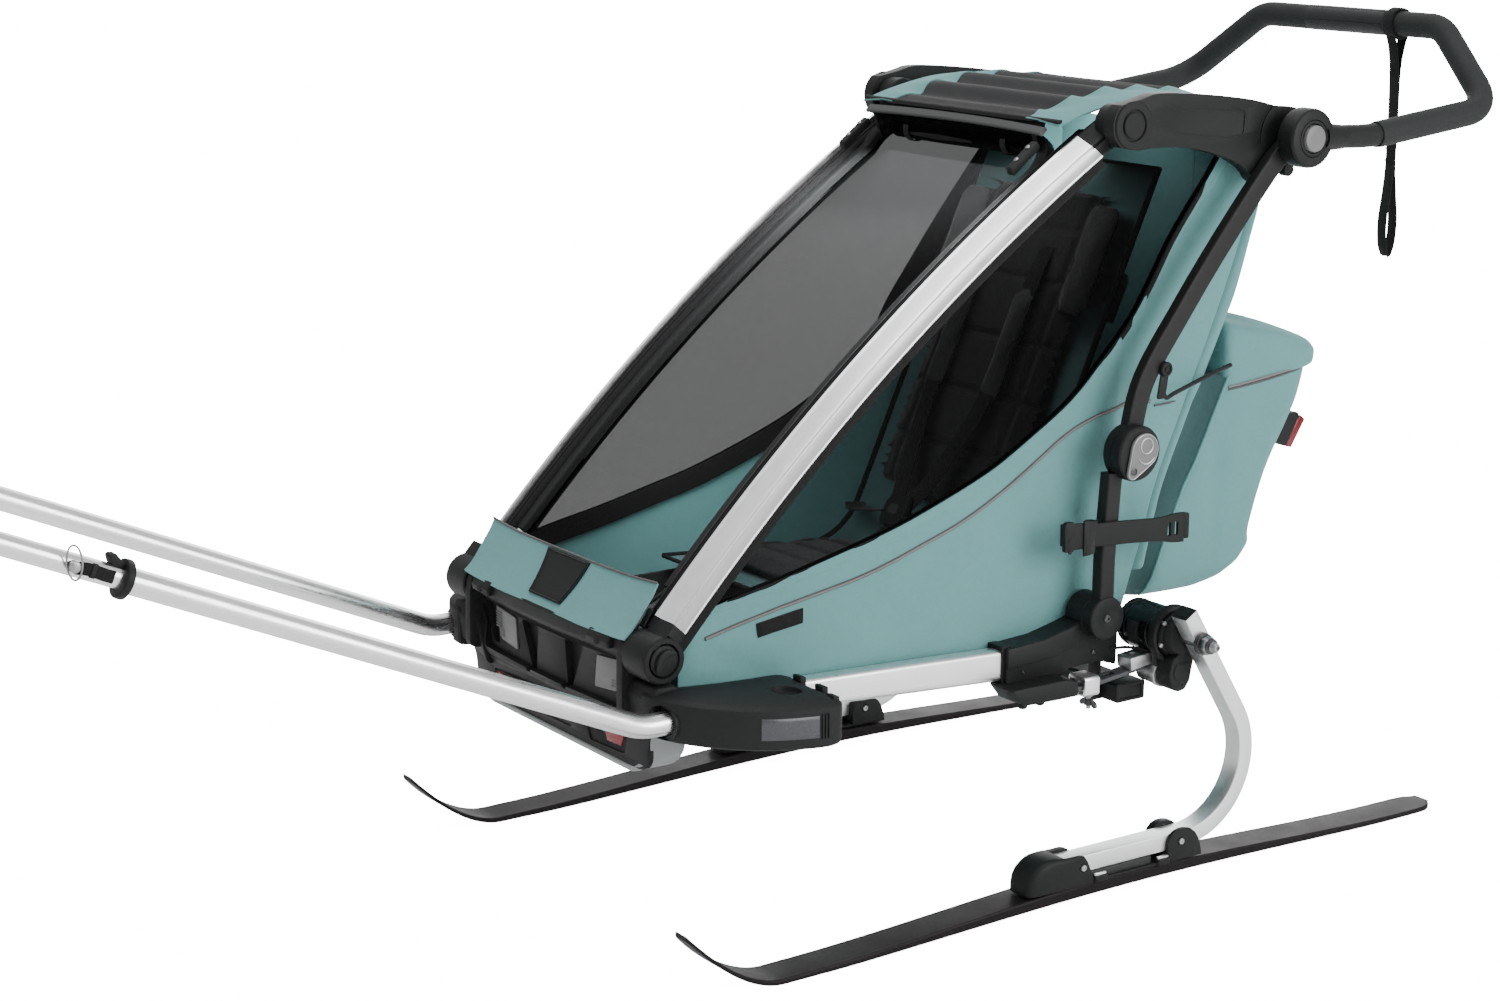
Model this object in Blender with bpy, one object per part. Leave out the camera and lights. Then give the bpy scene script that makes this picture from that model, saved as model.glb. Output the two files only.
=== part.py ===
"""Child bike trailer set up for cross-country skiing: a folding cabin on a leaf-sprung pair of
skis, towed by two pull bars.

Blender 4.5, metres, +Z up, -Y is the way it travels, +X is the child's left hand.
All the design coordinates below are given with z = 0 on the snow and y = 0 where the running
surface of the skis leaves the ground. ORIGIN_Y then moves the whole model along Y, so that the
world origin is on the ground below the middle of the overall length.
"""

import math

import bmesh
import bpy
import numpy as np

for old in list(bpy.data.objects):
    bpy.data.objects.remove(old, do_unlink=True)

# ------------------------------------------------------------------ driving dimensions
ORIGIN_Y = -0.25362         # design y of the world origin
GAP = 0.0003                # running gap between touching pieces

FRONT_PIVOT = (-0.075, 0.336)     # (y, z) of the A-pillar's lower pivot
TOP_PIVOT = (0.530, 0.853)        # (y, z) of the pillar to top bracket pivot
HANDLE_PIVOT = (0.766, 0.828)     # (y, z) of the handlebar's tilt axis
HUB_PIVOT = (0.527, 0.490)        # (y, z) of the fold hub on the upright
FOOT_DISC = (0.496, 0.300)        # (y, z) of the round boss at the foot of the upright
AXLE = (0.576, 0.275)             # (y, z) of the ski axle
SPRING_ROOT = (0.4590, 0.2200)    # (y, z) where the leaf spring is held

PILLAR_IN, PILLAR_OUT = 0.1805, 0.2125
PILLAR_DEPTH, PILLAR_WALL = 0.0230, 0.0028
BRACKET_IN, BRACKET_OUT = 0.2130, 0.2300
STRUT_IN, STRUT_OUT = 0.2322, 0.2460
HUB_IN, HUB_OUT = 0.2463, 0.2620
RAIL_IN, RAIL_OUT = 0.2020, 0.2240

TRACK_HALF = 0.300                # ski centre line
SKI_HALF = 0.0236                 # half the width of a ski
SKI_TIP = (-0.113, 0.069)
SKI_TAIL_Y = 0.975
SKI_CAMBER = 0.0087

BAR_R, BAR_WALL = 0.0127, 0.0016
BAR_X, BAR_BEND_Y, BAR_Z = 0.2285, -0.1136, 0.2753
BAR_RISE = 0.4382                 # metres up for each metre forward
BAR_SPLIT = 0.550                 # forward distance from the bend to the end of the rear tube
BAR_PIN = 0.598                   # forward distance from the bend to the lock pin
BAR_FRONT = 1.455                 # forward distance from the bend to the end fitting

GRIP_R, HANDLE_R = 0.0155, 0.0135


# ------------------------------------------------------------------ small geometry tools
def mesh_object(name, verts, faces):
    me = bpy.data.meshes.new(name)
    me.from_pydata([tuple(float(c) for c in v) for v in verts], [], [tuple(f) for f in faces])
    me.validate()
    bm = bmesh.new()
    bm.from_mesh(me)
    bmesh.ops.recalc_face_normals(bm, faces=bm.faces)
    bm.to_mesh(me)
    bm.free()
    ob = bpy.data.objects.new(name, me)
    bpy.context.scene.collection.objects.link(ob)
    return ob


def rounded(w, h, r, n=1, cu=0.0, cv=0.0):
    """Rounded rectangle of w by h about (cu, cv), counter-clockwise."""
    pts = []
    for su, sv, a0 in ((1, 1, 0), (-1, 1, 90), (-1, -1, 180), (1, -1, 270)):
        for k in range(n + 1):
            a = math.radians(a0 + 90.0 * k / n)
            pts.append((cu + su * (w / 2 - r) + r * math.cos(a), cv + sv * (h / 2 - r) + r * math.sin(a)))
    return pts


def circle(r, n=12, cu=0.0, cv=0.0):
    return [(cu + r * math.cos(2 * math.pi * (k + 0.5) / n), cv + r * math.sin(2 * math.pi * (k + 0.5) / n)) for k in range(n)]


def arc(cu, cv, r, a0, a1, n):
    """Points along an arc in degrees, both ends included."""
    return [(cu + r * math.cos(math.radians(a0 + (a1 - a0) * k / n)), cv + r * math.sin(math.radians(a0 + (a1 - a0) * k / n))) for k in range(n + 1)]


def fillet(points, radii, n=4):
    """A polyline with its inner corners rounded to the given radii."""
    p = [np.array(q, float) for q in points]
    out = [p[0]]
    for i in range(1, len(p) - 1):
        r = radii[i - 1]
        a, b = p[i - 1] - p[i], p[i + 1] - p[i]
        la, lb = np.linalg.norm(a), np.linalg.norm(b)
        a, b = a / la, b / lb
        half = math.acos(max(-1.0, min(1.0, float(a @ b)))) / 2
        cut = r / math.tan(half)
        t0, t1 = p[i] + a * cut, p[i] + b * cut
        mid = (a + b) / np.linalg.norm(a + b)
        centre = p[i] + mid * (r / math.sin(half))
        u, v = t0 - centre, t1 - centre
        whole = math.acos(max(-1.0, min(1.0, float(u @ v) / (r * r))))
        for k in range(n + 1):
            s = k / n
            out.append(centre + (math.sin((1 - s) * whole) * u + math.sin(s * whole) * v) / math.sin(whole))
    out.append(p[-1])
    return out


def smooth_line(points, n):
    """n + 1 points along a Catmull-Rom curve through the given points."""
    p = [np.array(q, float) for q in points]
    p = [2 * p[0] - p[1]] + p + [2 * p[-1] - p[-2]]
    out = []
    for k in range(n + 1):
        t = k / n * (len(p) - 3)
        i = min(int(t), len(p) - 4)
        t -= i
        a, b, c, d = p[i : i + 4]
        out.append(0.5 * ((2 * b) + (c - a) * t + (2 * a - 5 * b + 4 * c - d) * t * t + (3 * b - a - 3 * c + d) * t ** 3))
    return out


def circle_through(p0, p1, p2, n):
    """n + 1 points (y, z) on the circle through three points, from the first to the last."""
    (x1, y1), (x2, y2), (x3, y3) = p0, p1, p2
    d = 2 * (x1 * (y2 - y3) + x2 * (y3 - y1) + x3 * (y1 - y2))
    ux = ((x1**2 + y1**2) * (y2 - y3) + (x2**2 + y2**2) * (y3 - y1) + (x3**2 + y3**2) * (y1 - y2)) / d
    uy = ((x1**2 + y1**2) * (x3 - x2) + (x2**2 + y2**2) * (x1 - x3) + (x3**2 + y3**2) * (x2 - x1)) / d
    r = math.hypot(x1 - ux, y1 - uy)
    a0, a1 = math.atan2(y1 - uy, x1 - ux), math.atan2(y3 - uy, x3 - ux)
    return [(ux + r * math.cos(a0 + (a1 - a0) * k / n), uy + r * math.sin(a0 + (a1 - a0) * k / n)) for k in range(n + 1)]


def sweep(name, path, prof, inner=None, side=(1, 0, 0)):
    """prof = [(a, b)], a along the side direction and b along side x tangent, moved along path.
    With inner, the piece is an open-ended tube."""
    P = [np.array(q, float) for q in path]
    n = len(P)
    seg = [(P[i + 1] - P[i]) / np.linalg.norm(P[i + 1] - P[i]) for i in range(n - 1)]
    T = [seg[0]] + [(seg[i - 1] + seg[i]) / np.linalg.norm(seg[i - 1] + seg[i]) for i in range(1, n - 1)] + [seg[-1]]
    s = np.array(side, float)
    outer_v, inner_v = [], []
    for i in range(n):
        s = s - T[i] * float(s @ T[i])
        s = s / np.linalg.norm(s)
        m = np.cross(s, T[i])
        outer_v += [P[i] + a * s + b * m for a, b in prof]
        if inner:
            inner_v += [P[i] + a * s + b * m for a, b in inner]
    k = len(prof)
    faces = []
    for i in range(n - 1):
        for j in range(k):
            faces.append((i * k + j, i * k + (j + 1) % k, (i + 1) * k + (j + 1) % k, (i + 1) * k + j))
    if not inner:
        faces.append(tuple(range(k))[::-1])
        faces.append(tuple((n - 1) * k + j for j in range(k)))
        return mesh_object(name, outer_v, faces)
    o = n * k
    for i in range(n - 1):
        for j in range(k):
            faces.append((o + i * k + j, o + (i + 1) * k + j, o + (i + 1) * k + (j + 1) % k, o + i * k + (j + 1) % k))
    for j in range(k):
        faces.append((j, o + j, o + (j + 1) % k, (j + 1) % k))
        e = (n - 1) * k
        faces.append((e + j, e + (j + 1) % k, o + e + (j + 1) % k, o + e + j))
    return mesh_object(name, outer_v + inner_v, faces)


def loft(name, loops):
    """Closed solid through loops of equal length, capped at both ends."""
    k, n = len(loops[0]), len(loops)
    faces = []
    for i in range(n - 1):
        for j in range(k):
            faces.append((i * k + j, i * k + (j + 1) % k, (i + 1) * k + (j + 1) % k, (i + 1) * k + j))
    faces.append(tuple(range(k))[::-1])
    faces.append(tuple((n - 1) * k + j for j in range(k)))
    return mesh_object(name, [v for loop in loops for v in loop], faces)


def slab_x(name, outline, x0, x1):
    """Outline in (y, z), extruded from x0 to x1."""
    return loft(name, [[(x0, y, z) for y, z in outline], [(x1, y, z) for y, z in outline]])


def block(name, x0, x1, y0, y1, z0, z1, chamfer=0.0):
    if chamfer <= 0:
        return slab_x(name, [(y0, z0), (y1, z0), (y1, z1), (y0, z1)], x0, x1)
    w, h = y1 - y0, z1 - z0
    return slab_x(name, rounded(w, h, chamfer, 1, (y0 + y1) / 2, (z0 + z1) / 2), x0, x1)


def rod_x(name, y, z, r, x0, x1, n=16):
    return slab_x(name, circle(r, n, y, z), x0, x1)


def turned_x(name, y, z, steps, n=14):
    """A turned piece along X. steps = [(x, r)], from one end to the other."""
    return loft(name, [[(x, y + u, z + v) for u, v in circle(r, n)] for x, r in steps])


def mix(target, tool, operation):
    """Boolean of two closed solids. The tool is used up."""
    tool.hide_render = True
    tool.display_type = "WIRE"
    m = target.modifiers.new("shape", "BOOLEAN")
    m.object, m.operation, m.solver = tool, operation, "EXACT"
    bpy.context.view_layer.update()
    deps = bpy.context.evaluated_depsgraph_get()
    me = bpy.data.meshes.new_from_object(target.evaluated_get(deps))
    target.modifiers.clear()
    target.data = me
    bpy.data.objects.remove(tool, do_unlink=True)
    return target


def fuse(target, *tools):
    for t in tools:
        mix(target, t, "UNION")
    return target


def cut(target, *tools):
    for t in tools:
        mix(target, t, "DIFFERENCE")
    return target


# ------------------------------------------------------------------ bodies, finishes, placing
FINISH = {
    "alloy": ((0.80, 0.81, 0.82), 0.36, 1.0),
    "cast_alloy": ((0.62, 0.63, 0.64), 0.42, 1.0),
    "steel": ((0.45, 0.45, 0.46), 0.30, 1.0),
    "black_plastic": ((0.030, 0.031, 0.033), 0.48, 0.0),
    "grey_bumper": ((0.42, 0.44, 0.45), 0.45, 0.0),
    "teal_fabric": ((0.215, 0.395, 0.395), 0.88, 0.0),
    "dark_fabric": ((0.040, 0.045, 0.050), 0.92, 0.0),
    "window_film": ((0.035, 0.038, 0.040), 0.12, 0.0),
    "grip_foam": ((0.035, 0.037, 0.040), 0.80, 0.0),
    "webbing": ((0.015, 0.015, 0.016), 0.90, 0.0),
    "spring_composite": ((0.050, 0.052, 0.055), 0.45, 0.0),
    "ski_base": ((0.025, 0.022, 0.024), 0.35, 0.0),
    "ring_plate": ((0.36, 0.36, 0.36), 0.38, 0.6),
}

# body: (parent body, pivot in design coordinates)
PIVOTS = {
    "chassis": (None, (0.0, 0.0, 0.0)),
    "front_frame": ("chassis", (0.0,) + FRONT_PIVOT),
    "top_frame": ("front_frame", (0.0,) + TOP_PIVOT),
    "uprights": ("chassis", (0.0,) + HUB_PIVOT),
    "handlebar": ("top_frame", (0.0,) + HANDLE_PIVOT),
    "bag_lid": ("chassis", (0.0, 0.7320, 0.5600)),
}
for tag, sgn in (("left", 1.0), ("right", -1.0)):
    PIVOTS["foot_lock_" + tag] = ("front_frame", (sgn * 0.2138,) + FRONT_PIVOT)
    PIVOTS["fold_lock_" + tag] = ("chassis", (sgn * HUB_OUT,) + HUB_PIVOT)
    PIVOTS["handle_button_" + tag] = ("handlebar", (sgn * 0.2685,) + HANDLE_PIVOT)
    PIVOTS["pull_bar_" + tag] = ("chassis", (sgn * BAR_X, BAR_BEND_Y, BAR_Z))
    PIVOTS["pull_bar_front_" + tag] = ("pull_bar_" + tag, (sgn * BAR_X, BAR_BEND_Y - BAR_SPLIT, BAR_Z + BAR_RISE * BAR_SPLIT))
    PIVOTS["lock_pin_" + tag] = ("pull_bar_front_" + tag, (sgn * BAR_X, BAR_BEND_Y - BAR_PIN, BAR_Z + BAR_RISE * BAR_PIN))
    PIVOTS["suspension_" + tag] = ("chassis", (sgn * 0.242,) + SPRING_ROOT)
    PIVOTS["spring_clamp_" + tag] = ("chassis", (sgn * 0.242, 0.481, 0.2225))
    PIVOTS["ski_set_" + tag] = ("suspension_" + tag, (sgn * 0.2945,) + AXLE)

EMPTIES = {}
for body, (parent, pivot) in PIVOTS.items():
    e = bpy.data.objects.new("pivot_" + body, None)
    bpy.context.scene.collection.objects.link(e)
    if parent is None:
        e.location = (0.0, -ORIGIN_Y, 0.0)
    else:
        pp = PIVOTS[parent][1]
        e.parent = EMPTIES[parent]
        e.location = tuple(a - b for a, b in zip(pivot, pp))
    EMPTIES[body] = e


def place(ob, name, body, finish, sharp=38.0):
    """Names the piece, moves its origin to its body's pivot, and gives it its own finish."""
    ob.name = name
    ob.data.name = name
    pivot = PIVOTS[body][1]
    for v in ob.data.vertices:
        v.co = (v.co[0] - pivot[0], v.co[1] - pivot[1], v.co[2] - pivot[2])
    ob.parent = EMPTIES[body]
    ob.location = (0.0, 0.0, 0.0)
    colour, rough, metal = FINISH[finish]
    mat = bpy.data.materials.new(name + "_finish")
    mat.use_nodes = True
    b = mat.node_tree.nodes["Principled BSDF"]
    b.inputs["Base Color"].default_value = colour + (1.0,)
    b.inputs["Roughness"].default_value = rough
    b.inputs["Metallic"].default_value = metal
    ob.data.materials.clear()
    ob.data.materials.append(mat)
    ob.data.shade_smooth()
    ob.data.set_sharp_from_angle(angle=math.radians(sharp))
    return ob


def mirrored(ob):
    """A copy of the piece reflected in the plane x = 0."""
    me = ob.data.copy()
    for v in me.vertices:
        v.co = (-v.co[0], v.co[1], v.co[2])
    me.flip_normals()
    twin = bpy.data.objects.new(ob.name + "_twin", me)
    bpy.context.scene.collection.objects.link(twin)
    return twin


def pair(ob, name, body, finish, per_side=False, sharp=38.0):
    """Places a left-hand piece and its mirror image as name_left and name_right."""
    twin = mirrored(ob)
    place(ob, name + "_left", body + "_left" if per_side else body, finish, sharp)
    place(twin, name + "_right", body + "_right" if per_side else body, finish, sharp)


# ------------------------------------------------------------------ lower chassis
def rail_section(y, z_mid, h):
    return [((RAIL_IN + RAIL_OUT) / 2 + a, y, z_mid + b) for a, b in rounded(RAIL_OUT - RAIL_IN, h, 0.006)]


def rail_hollow(y, z_mid, h):
    return [((RAIL_IN + RAIL_OUT) / 2 + a, y, z_mid + b) for a, b in rounded(RAIL_OUT - RAIL_IN - 0.005, h - 0.005, 0.004)]


def tube_between(name, out0, out1, in0, in1):
    k = len(out0)
    v = out0 + out1 + in0 + in1
    f = []
    for j in range(k):
        q = (j + 1) % k
        f += [(j, q, k + q, k + j), (2 * k + j, 3 * k + j, 3 * k + q, 2 * k + q), (j, 2 * k + j, 2 * k + q, q), (k + j, k + q, 3 * k + q, 3 * k + j)]
    return mesh_object(name, v, f)


rail = tube_between("rail", rail_section(0.0880, 0.2735, 0.032), rail_section(0.3667, 0.2590, 0.036),
                    rail_hollow(0.0880, 0.2735, 0.032), rail_hollow(0.3667, 0.2590, 0.036))
pair(rail, "side_rail", "chassis", "alloy")

# corner socket: a wing-shaped bumper that takes the stub of the pull bar
plan = [(0.197, -0.094), (0.222, -0.090), (0.250, -0.077), (0.274, -0.058), (0.293, -0.034), (0.306, -0.008), (0.313, 0.022),
        (0.316, 0.052), (0.313, 0.074), (0.298, 0.0877), (0.240, 0.0877), (0.197, 0.0877), (0.194, 0.045), (0.193, 0.000), (0.194, -0.055)]


def wing_loop(inset, z_front, z_rear):
    cx, cy = 0.250, 0.005
    out = []
    for x, y in plan:
        dx, dy = x - cx, y - cy
        d = math.hypot(dx, dy)
        k = (d - inset) / d
        yy = cy + dy * k
        if y > 0.0876:
            yy = 0.0877
        t = (y + 0.094) / 0.182
        out.append((cx + dx * k, yy, z_front + (z_rear - z_front) * t))
    return out


socket = loft("socket", [wing_loop(0.010, 0.2575, 0.2425), wing_loop(0.000, 0.2640, 0.2500), wing_loop(0.001, 0.2990, 0.2870),
                         wing_loop(0.012, 0.3060, 0.2970)])
cut(socket, sweep("bore", [(BAR_X, -0.1400, BAR_Z), (BAR_X, 0.0200, BAR_Z)], circle(BAR_R + 0.0006, 12)))
cut(socket, loft("recess", [[(0.268 + a, 0.040 + b, z) for a, b in circle(0.0165, 14)] for z in (0.2935, 0.3300)]))
fuse(socket, slab_x("ear_web", [(-0.100, 0.262), (-0.052, 0.262), (-0.052, 0.338), (-0.098, 0.338)], 0.1585, 0.1690),
     rod_x("ear", FRONT_PIVOT[0], FRONT_PIVOT[1], 0.0230, 0.1582, 0.1695, 16),
     block("ear_foot", 0.1640, 0.2040, -0.088, -0.060, 0.2660, 0.2800))
pair(socket, "corner_socket", "chassis", "black_plastic")

# rear casting with the lower half of the upright and the outer half of the fold hub
cast = slab_x("cast", [(0.3670, 0.2400), (0.4000, 0.2350), (0.4480, 0.2350), (0.4560, 0.2430), (0.5030, 0.2440), (0.5280, 0.2360), (0.5300, 0.2900),
                       (0.4960, 0.2980), (0.4600, 0.2870), (0.4200, 0.2815), (0.3670, 0.2810)], 0.1980, 0.2320)
strut_low = sweep("strut_low", [(0.2405, 0.4960, 0.2900), (0.2405, 0.4975, 0.3800), (0.2405, 0.5040, 0.4670)],
                  rounded(0.0166, 0.0210, 0.003))
fuse(cast, rod_x("boss", FOOT_DISC[0], FOOT_DISC[1], 0.0250, 0.2050, 0.2510, 20), strut_low,
     turned_x("hub_disc", HUB_PIVOT[0], HUB_PIVOT[1], [(HUB_IN, 0.0285), (HUB_IN + 0.004, 0.0310), (HUB_OUT - 0.003, 0.0310), (HUB_OUT, 0.0280)], 20),
     block("spring_block", 0.2180, 0.2560, 0.3900, 0.4587, 0.2040, 0.2380, 0.004),
     slab_x("lug", [(0.5140, 0.2500), (0.5140, 0.1890), (0.5690, 0.1890), (0.5690, 0.2145), (0.5260, 0.2200), (0.5270, 0.2500)], 0.1985, 0.2080),
     block("bar_cap", 0.2040, 0.2370, 0.5260, 0.5680, 0.1910, 0.2130, 0.003))
pair(cast, "lower_upright", "chassis", "black_plastic")

# grey U-shaped bumper hoop round the front of the floor
hoop_path = fillet([(0.2060, -0.0690, 0.2425), (0.2060, -0.0690, 0.2080), (-0.2060, -0.0690, 0.2080), (-0.2060, -0.0690, 0.2425)], [0.030, 0.030], 5)
place(sweep("hoop", hoop_path, rounded(0.0460, 0.0070, 0.002), side=(0, 1, 0)), "bumper_hoop", "chassis", "grey_bumper")

place(slab_x("panel", [(-0.0900, 0.2125), (-0.1000, 0.2300), (-0.1090, 0.3000), (-0.1070, 0.3440), (-0.0950, 0.3510), (-0.0760, 0.3440), (-0.0660, 0.2800), (-0.0660, 0.2125)],
             -0.1560, 0.1560), "front_panel", "chassis", "black_plastic")

place(sweep("front_tube", [(-0.1579, -0.0530, 0.2850), (0.1579, -0.0530, 0.2850)], circle(0.0110, 12), circle(0.0090, 12), side=(0, 1, 0)),
      "front_cross_tube", "chassis", "alloy")
place(sweep("rear_tube", [(-0.1982, 0.5470, 0.2020), (0.1982, 0.5470, 0.2020)], rounded(0.0400, 0.0210, 0.003), rounded(0.0350, 0.0160, 0.002), side=(0, 1, 0)),
      "rear_cross_tube", "chassis", "alloy")

# footwell tub: an open-topped shell between the front panel and the seat
T0 = dict(x=0.1560, y0=-0.0390, y1=0.2900)
tub_out = [[(sx * (T0["x"] - ins), y, z) for sx, y in ((-1, T0["y0"] + ins), (1, T0["y0"] + ins), (1, yr), (-1, yr))]
           for ins, yr, z in ((0.020, 0.150, 0.2200), (0.006, 0.200, 0.2320), (0.000, T0["y1"], 0.3180))]
tub_in = [[(sx * (T0["x"] - ins - 0.005), y, z) for sx, y in ((-1, T0["y0"] + ins + 0.005), (1, T0["y0"] + ins + 0.005), (1, yr - 0.006), (-1, yr - 0.006))]
          for ins, yr, z in ((0.000, T0["y1"], 0.3180), (0.006, 0.200, 0.2360), (0.020, 0.150, 0.2250))]
loops = tub_out + tub_in
place(loft("tub", loops), "footwell_tub", "chassis", "dark_fabric")

# seat: one padded sling for pan and backrest
seat_path = fillet([(0, 0.1600, 0.3440), (0, 0.4150, 0.3250), (0, 0.6300, 0.7950)], [0.075], 5)
place(sweep("seat", seat_path, rounded(0.3200, 0.0260, 0.010), side=(1, 0, 0)), "seat", "chassis", "dark_fabric")

# side walls of the cabin, under the pillars and inside the rails
arch = circle_through((-0.064, 0.375), (0.225, 0.648), (0.491, 0.837), 10)     # top outer edge of the pillar


def shifted(line, d):
    """The line moved d along its own normal; positive is up and forward."""
    out = []
    for i, (y, z) in enumerate(line):
        y0, z0 = line[max(i - 1, 0)]
        y1, z1 = line[min(i + 1, len(line) - 1)]
        ty, tz = y1 - y0, z1 - z0
        n = math.hypot(ty, tz)
        out.append((y - tz / n * d, z + ty / n * d))
    return out


below = shifted(arch, -PILLAR_DEPTH - 0.0030)
wall = [(-0.0400, 0.2850), (-0.0380, 0.2640), (0.1000, 0.2620), (0.3700, 0.2440), (0.5000, 0.2440), (0.5700, 0.2850), (0.6350, 0.4200), (0.7050, 0.6000),
        (0.7700, 0.8050), (0.7620, 0.8380), (0.6600, 0.8480), (0.5700, 0.8420), (0.5680, 0.8050)] + below[9:0:-1] + [(-0.0180, 0.3830)]
pair(slab_x("wall", wall, 0.1850, 0.1920), "cabin_side", "chassis", "teal_fabric")

rear_path = [(0, 0.7680, 0.8290), (0, 0.7060, 0.6200), (0, 0.6330, 0.4360), (0, 0.5700, 0.3000)]
place(sweep("rear", rear_path, rounded(0.3690, 0.0060, 0.002), side=(1, 0, 0)), "rear_panel", "chassis", "teal_fabric")

# cargo bag: an open-topped bag behind the rear panel, with a hinged lid
BAG = 0.1700
bag_side = [(0.7220, 0.5200), (0.6560, 0.3900), (0.6080, 0.2960), (0.6900, 0.2750), (0.7420, 0.3050), (0.7820, 0.3750), (0.8250, 0.4400), (0.8700, 0.5100), (0.8800, 0.5350)]


def bag_loop(k, x):
    cy, cz = 0.760, 0.420
    return [(x, cy + (y - cy) * k, cz + (z - cz) * k) for y, z in bag_side]


bag = loft("bag", [bag_loop(0.90, -BAG), bag_loop(1.0, -BAG + 0.020), bag_loop(1.04, 0.0), bag_loop(1.0, BAG - 0.020), bag_loop(0.90, BAG)])
hollow = slab_x("hollow", [(0.7420, 0.6200), (0.7280, 0.5000), (0.6700, 0.3850), (0.6300, 0.3120), (0.6880, 0.2930), (0.7280, 0.3180), (0.7650, 0.3800), (0.8100, 0.4480),
                           (0.8560, 0.5150), (0.8900, 0.6200)], -BAG + 0.014, BAG - 0.014)
cut(bag, hollow)
place(bag, "cargo_bag", "chassis", "teal_fabric")

lid = loft("lid", [[(x, y, z + dz) for y, z in ((0.7330, 0.5450), (0.8990, 0.5680), (0.9010, 0.5740), (0.8850, 0.5800), (0.8100, 0.5780), (0.7330, 0.5620))]
                   for x, dz in ((-BAG, 0.0), (-BAG + 0.03, 0.004), (BAG - 0.03, 0.004), (BAG, 0.0))])
place(lid, "bag_lid", "bag_lid", "teal_fabric")

# strap clip on the left upright, for stowing small things
clip = slab_x("clip", [(0.4270, 0.3900), (0.4350, 0.3880), (0.5200, 0.3840), (0.6050, 0.3745), (0.6130, 0.3780), (0.6130, 0.4000), (0.6060, 0.4060),
                       (0.5200, 0.4130), (0.4350, 0.4200), (0.4270, 0.4180)], 0.2492, 0.2540)
fuse(clip, block("hook", 0.2380, 0.2500, 0.4280, 0.4370, 0.3905, 0.4175))
place(clip, "storage_clip", "chassis", "black_plastic")

# ------------------------------------------------------------------ locks on the side
def teardrop(y, z, r, y2, z2, r2, n=12):
    """Outline around two circles: a round plate with a lobe."""
    d = math.hypot(y2 - y, z2 - z)
    a = math.degrees(math.atan2(z2 - z, y2 - y))
    w = math.degrees(math.acos((r - r2) / d))
    return arc(y, z, r, a + w, a + 360 - w, n) + arc(y2, z2, r2, a - w, a + w, 4)


pair(slab_x("lock", teardrop(0.5310, 0.4930, 0.0200, 0.5140, 0.4690, 0.0080), HUB_OUT + GAP, HUB_OUT + 0.0042), "fold_lock", "fold_lock", "ring_plate", True)
pair(slab_x("knob", teardrop(FRONT_PIVOT[0], FRONT_PIVOT[1] + 0.002, 0.0155, FRONT_PIVOT[0] - 0.014, FRONT_PIVOT[1] - 0.012, 0.0050), 0.2138, 0.2225),
     "foot_lock", "foot_lock", "black_plastic", True)

# ------------------------------------------------------------------ front frame
mid = shifted(arch, -PILLAR_DEPTH / 2)
px = (PILLAR_IN + PILLAR_OUT) / 2
pillar = sweep("pillar", [(px, y, z) for y, z in mid], rounded(PILLAR_OUT - PILLAR_IN, PILLAR_DEPTH, 0.005),
               rounded(PILLAR_OUT - PILLAR_IN - 2 * PILLAR_WALL, PILLAR_DEPTH - 2 * PILLAR_WALL, 0.003))
pair(pillar, "pillar", "front_frame", "alloy")


def toward(p, q, d):
    """The point d metres from p on the way to q."""
    n = math.hypot(q[0] - p[0], q[1] - p[1])
    return (p[0] + (q[0] - p[0]) * d / n, p[1] + (q[1] - p[1]) * d / n)


t0 = (mid[1][0] - mid[0][0], mid[1][1] - mid[0][1])
n0 = math.hypot(*t0)
foot_end = (mid[0][0] - t0[0] / n0 * GAP, mid[0][1] - t0[1] / n0 * GAP)
foot_start = (mid[0][0] - t0[0] / n0 * 0.034, mid[0][1] - t0[1] / n0 * 0.034)
foot = rod_x("foot", FRONT_PIVOT[0], FRONT_PIVOT[1], 0.0260, 0.1700, 0.2135, 20)
fuse(foot, sweep("neck", [(px,) + foot_start, (px,) + foot_end], rounded(PILLAR_OUT - PILLAR_IN + 0.001, PILLAR_DEPTH + 0.001, 0.005)))
pair(foot, "pillar_foot", "front_frame", "black_plastic")

t1 = (mid[-1][0] - mid[-2][0], mid[-1][1] - mid[-2][1])
n1 = math.hypot(*t1)
head_start = (mid[-1][0] + t1[0] / n1 * GAP, mid[-1][1] + t1[1] / n1 * GAP)
head_end = (mid[-1][0] + t1[0] / n1 * 0.040, mid[-1][1] + t1[1] / n1 * 0.040)
head = rod_x("head", TOP_PIVOT[0], TOP_PIVOT[1], 0.0215, 0.1890, PILLAR_OUT, 18)
fuse(head, sweep("neck", [(px,) + head_start, (px,) + head_end], rounded(PILLAR_OUT - PILLAR_IN - 0.0008, PILLAR_DEPTH + 0.001, 0.005)))
pair(head, "pillar_head", "front_frame", "black_plastic")

HEADER = (0.4700, 0.8400)
place(sweep("header", [(-PILLAR_IN + 0.0005, HEADER[0], HEADER[1]), (PILLAR_IN - 0.0005, HEADER[0], HEADER[1])], circle(0.0100, 12), circle(0.0082, 12), side=(0, 1, 0)),
      "header_bar", "front_frame", "black_plastic")

film = shifted(arch, -0.0060)[0:10]
film_path = [(0.0, -0.0930, 0.3600), (0.0, -0.0780, 0.3790)] + [(0.0, y, z) for y, z in film[1:]]
film_path[-1] = (0.0, HEADER[0] - 0.0220, HEADER[1] - 0.0080)
place(sweep("film", film_path, rounded(0.3560, 0.0040, 0.001), side=(1, 0, 0)), "front_window", "front_frame", "window_film")

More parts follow.
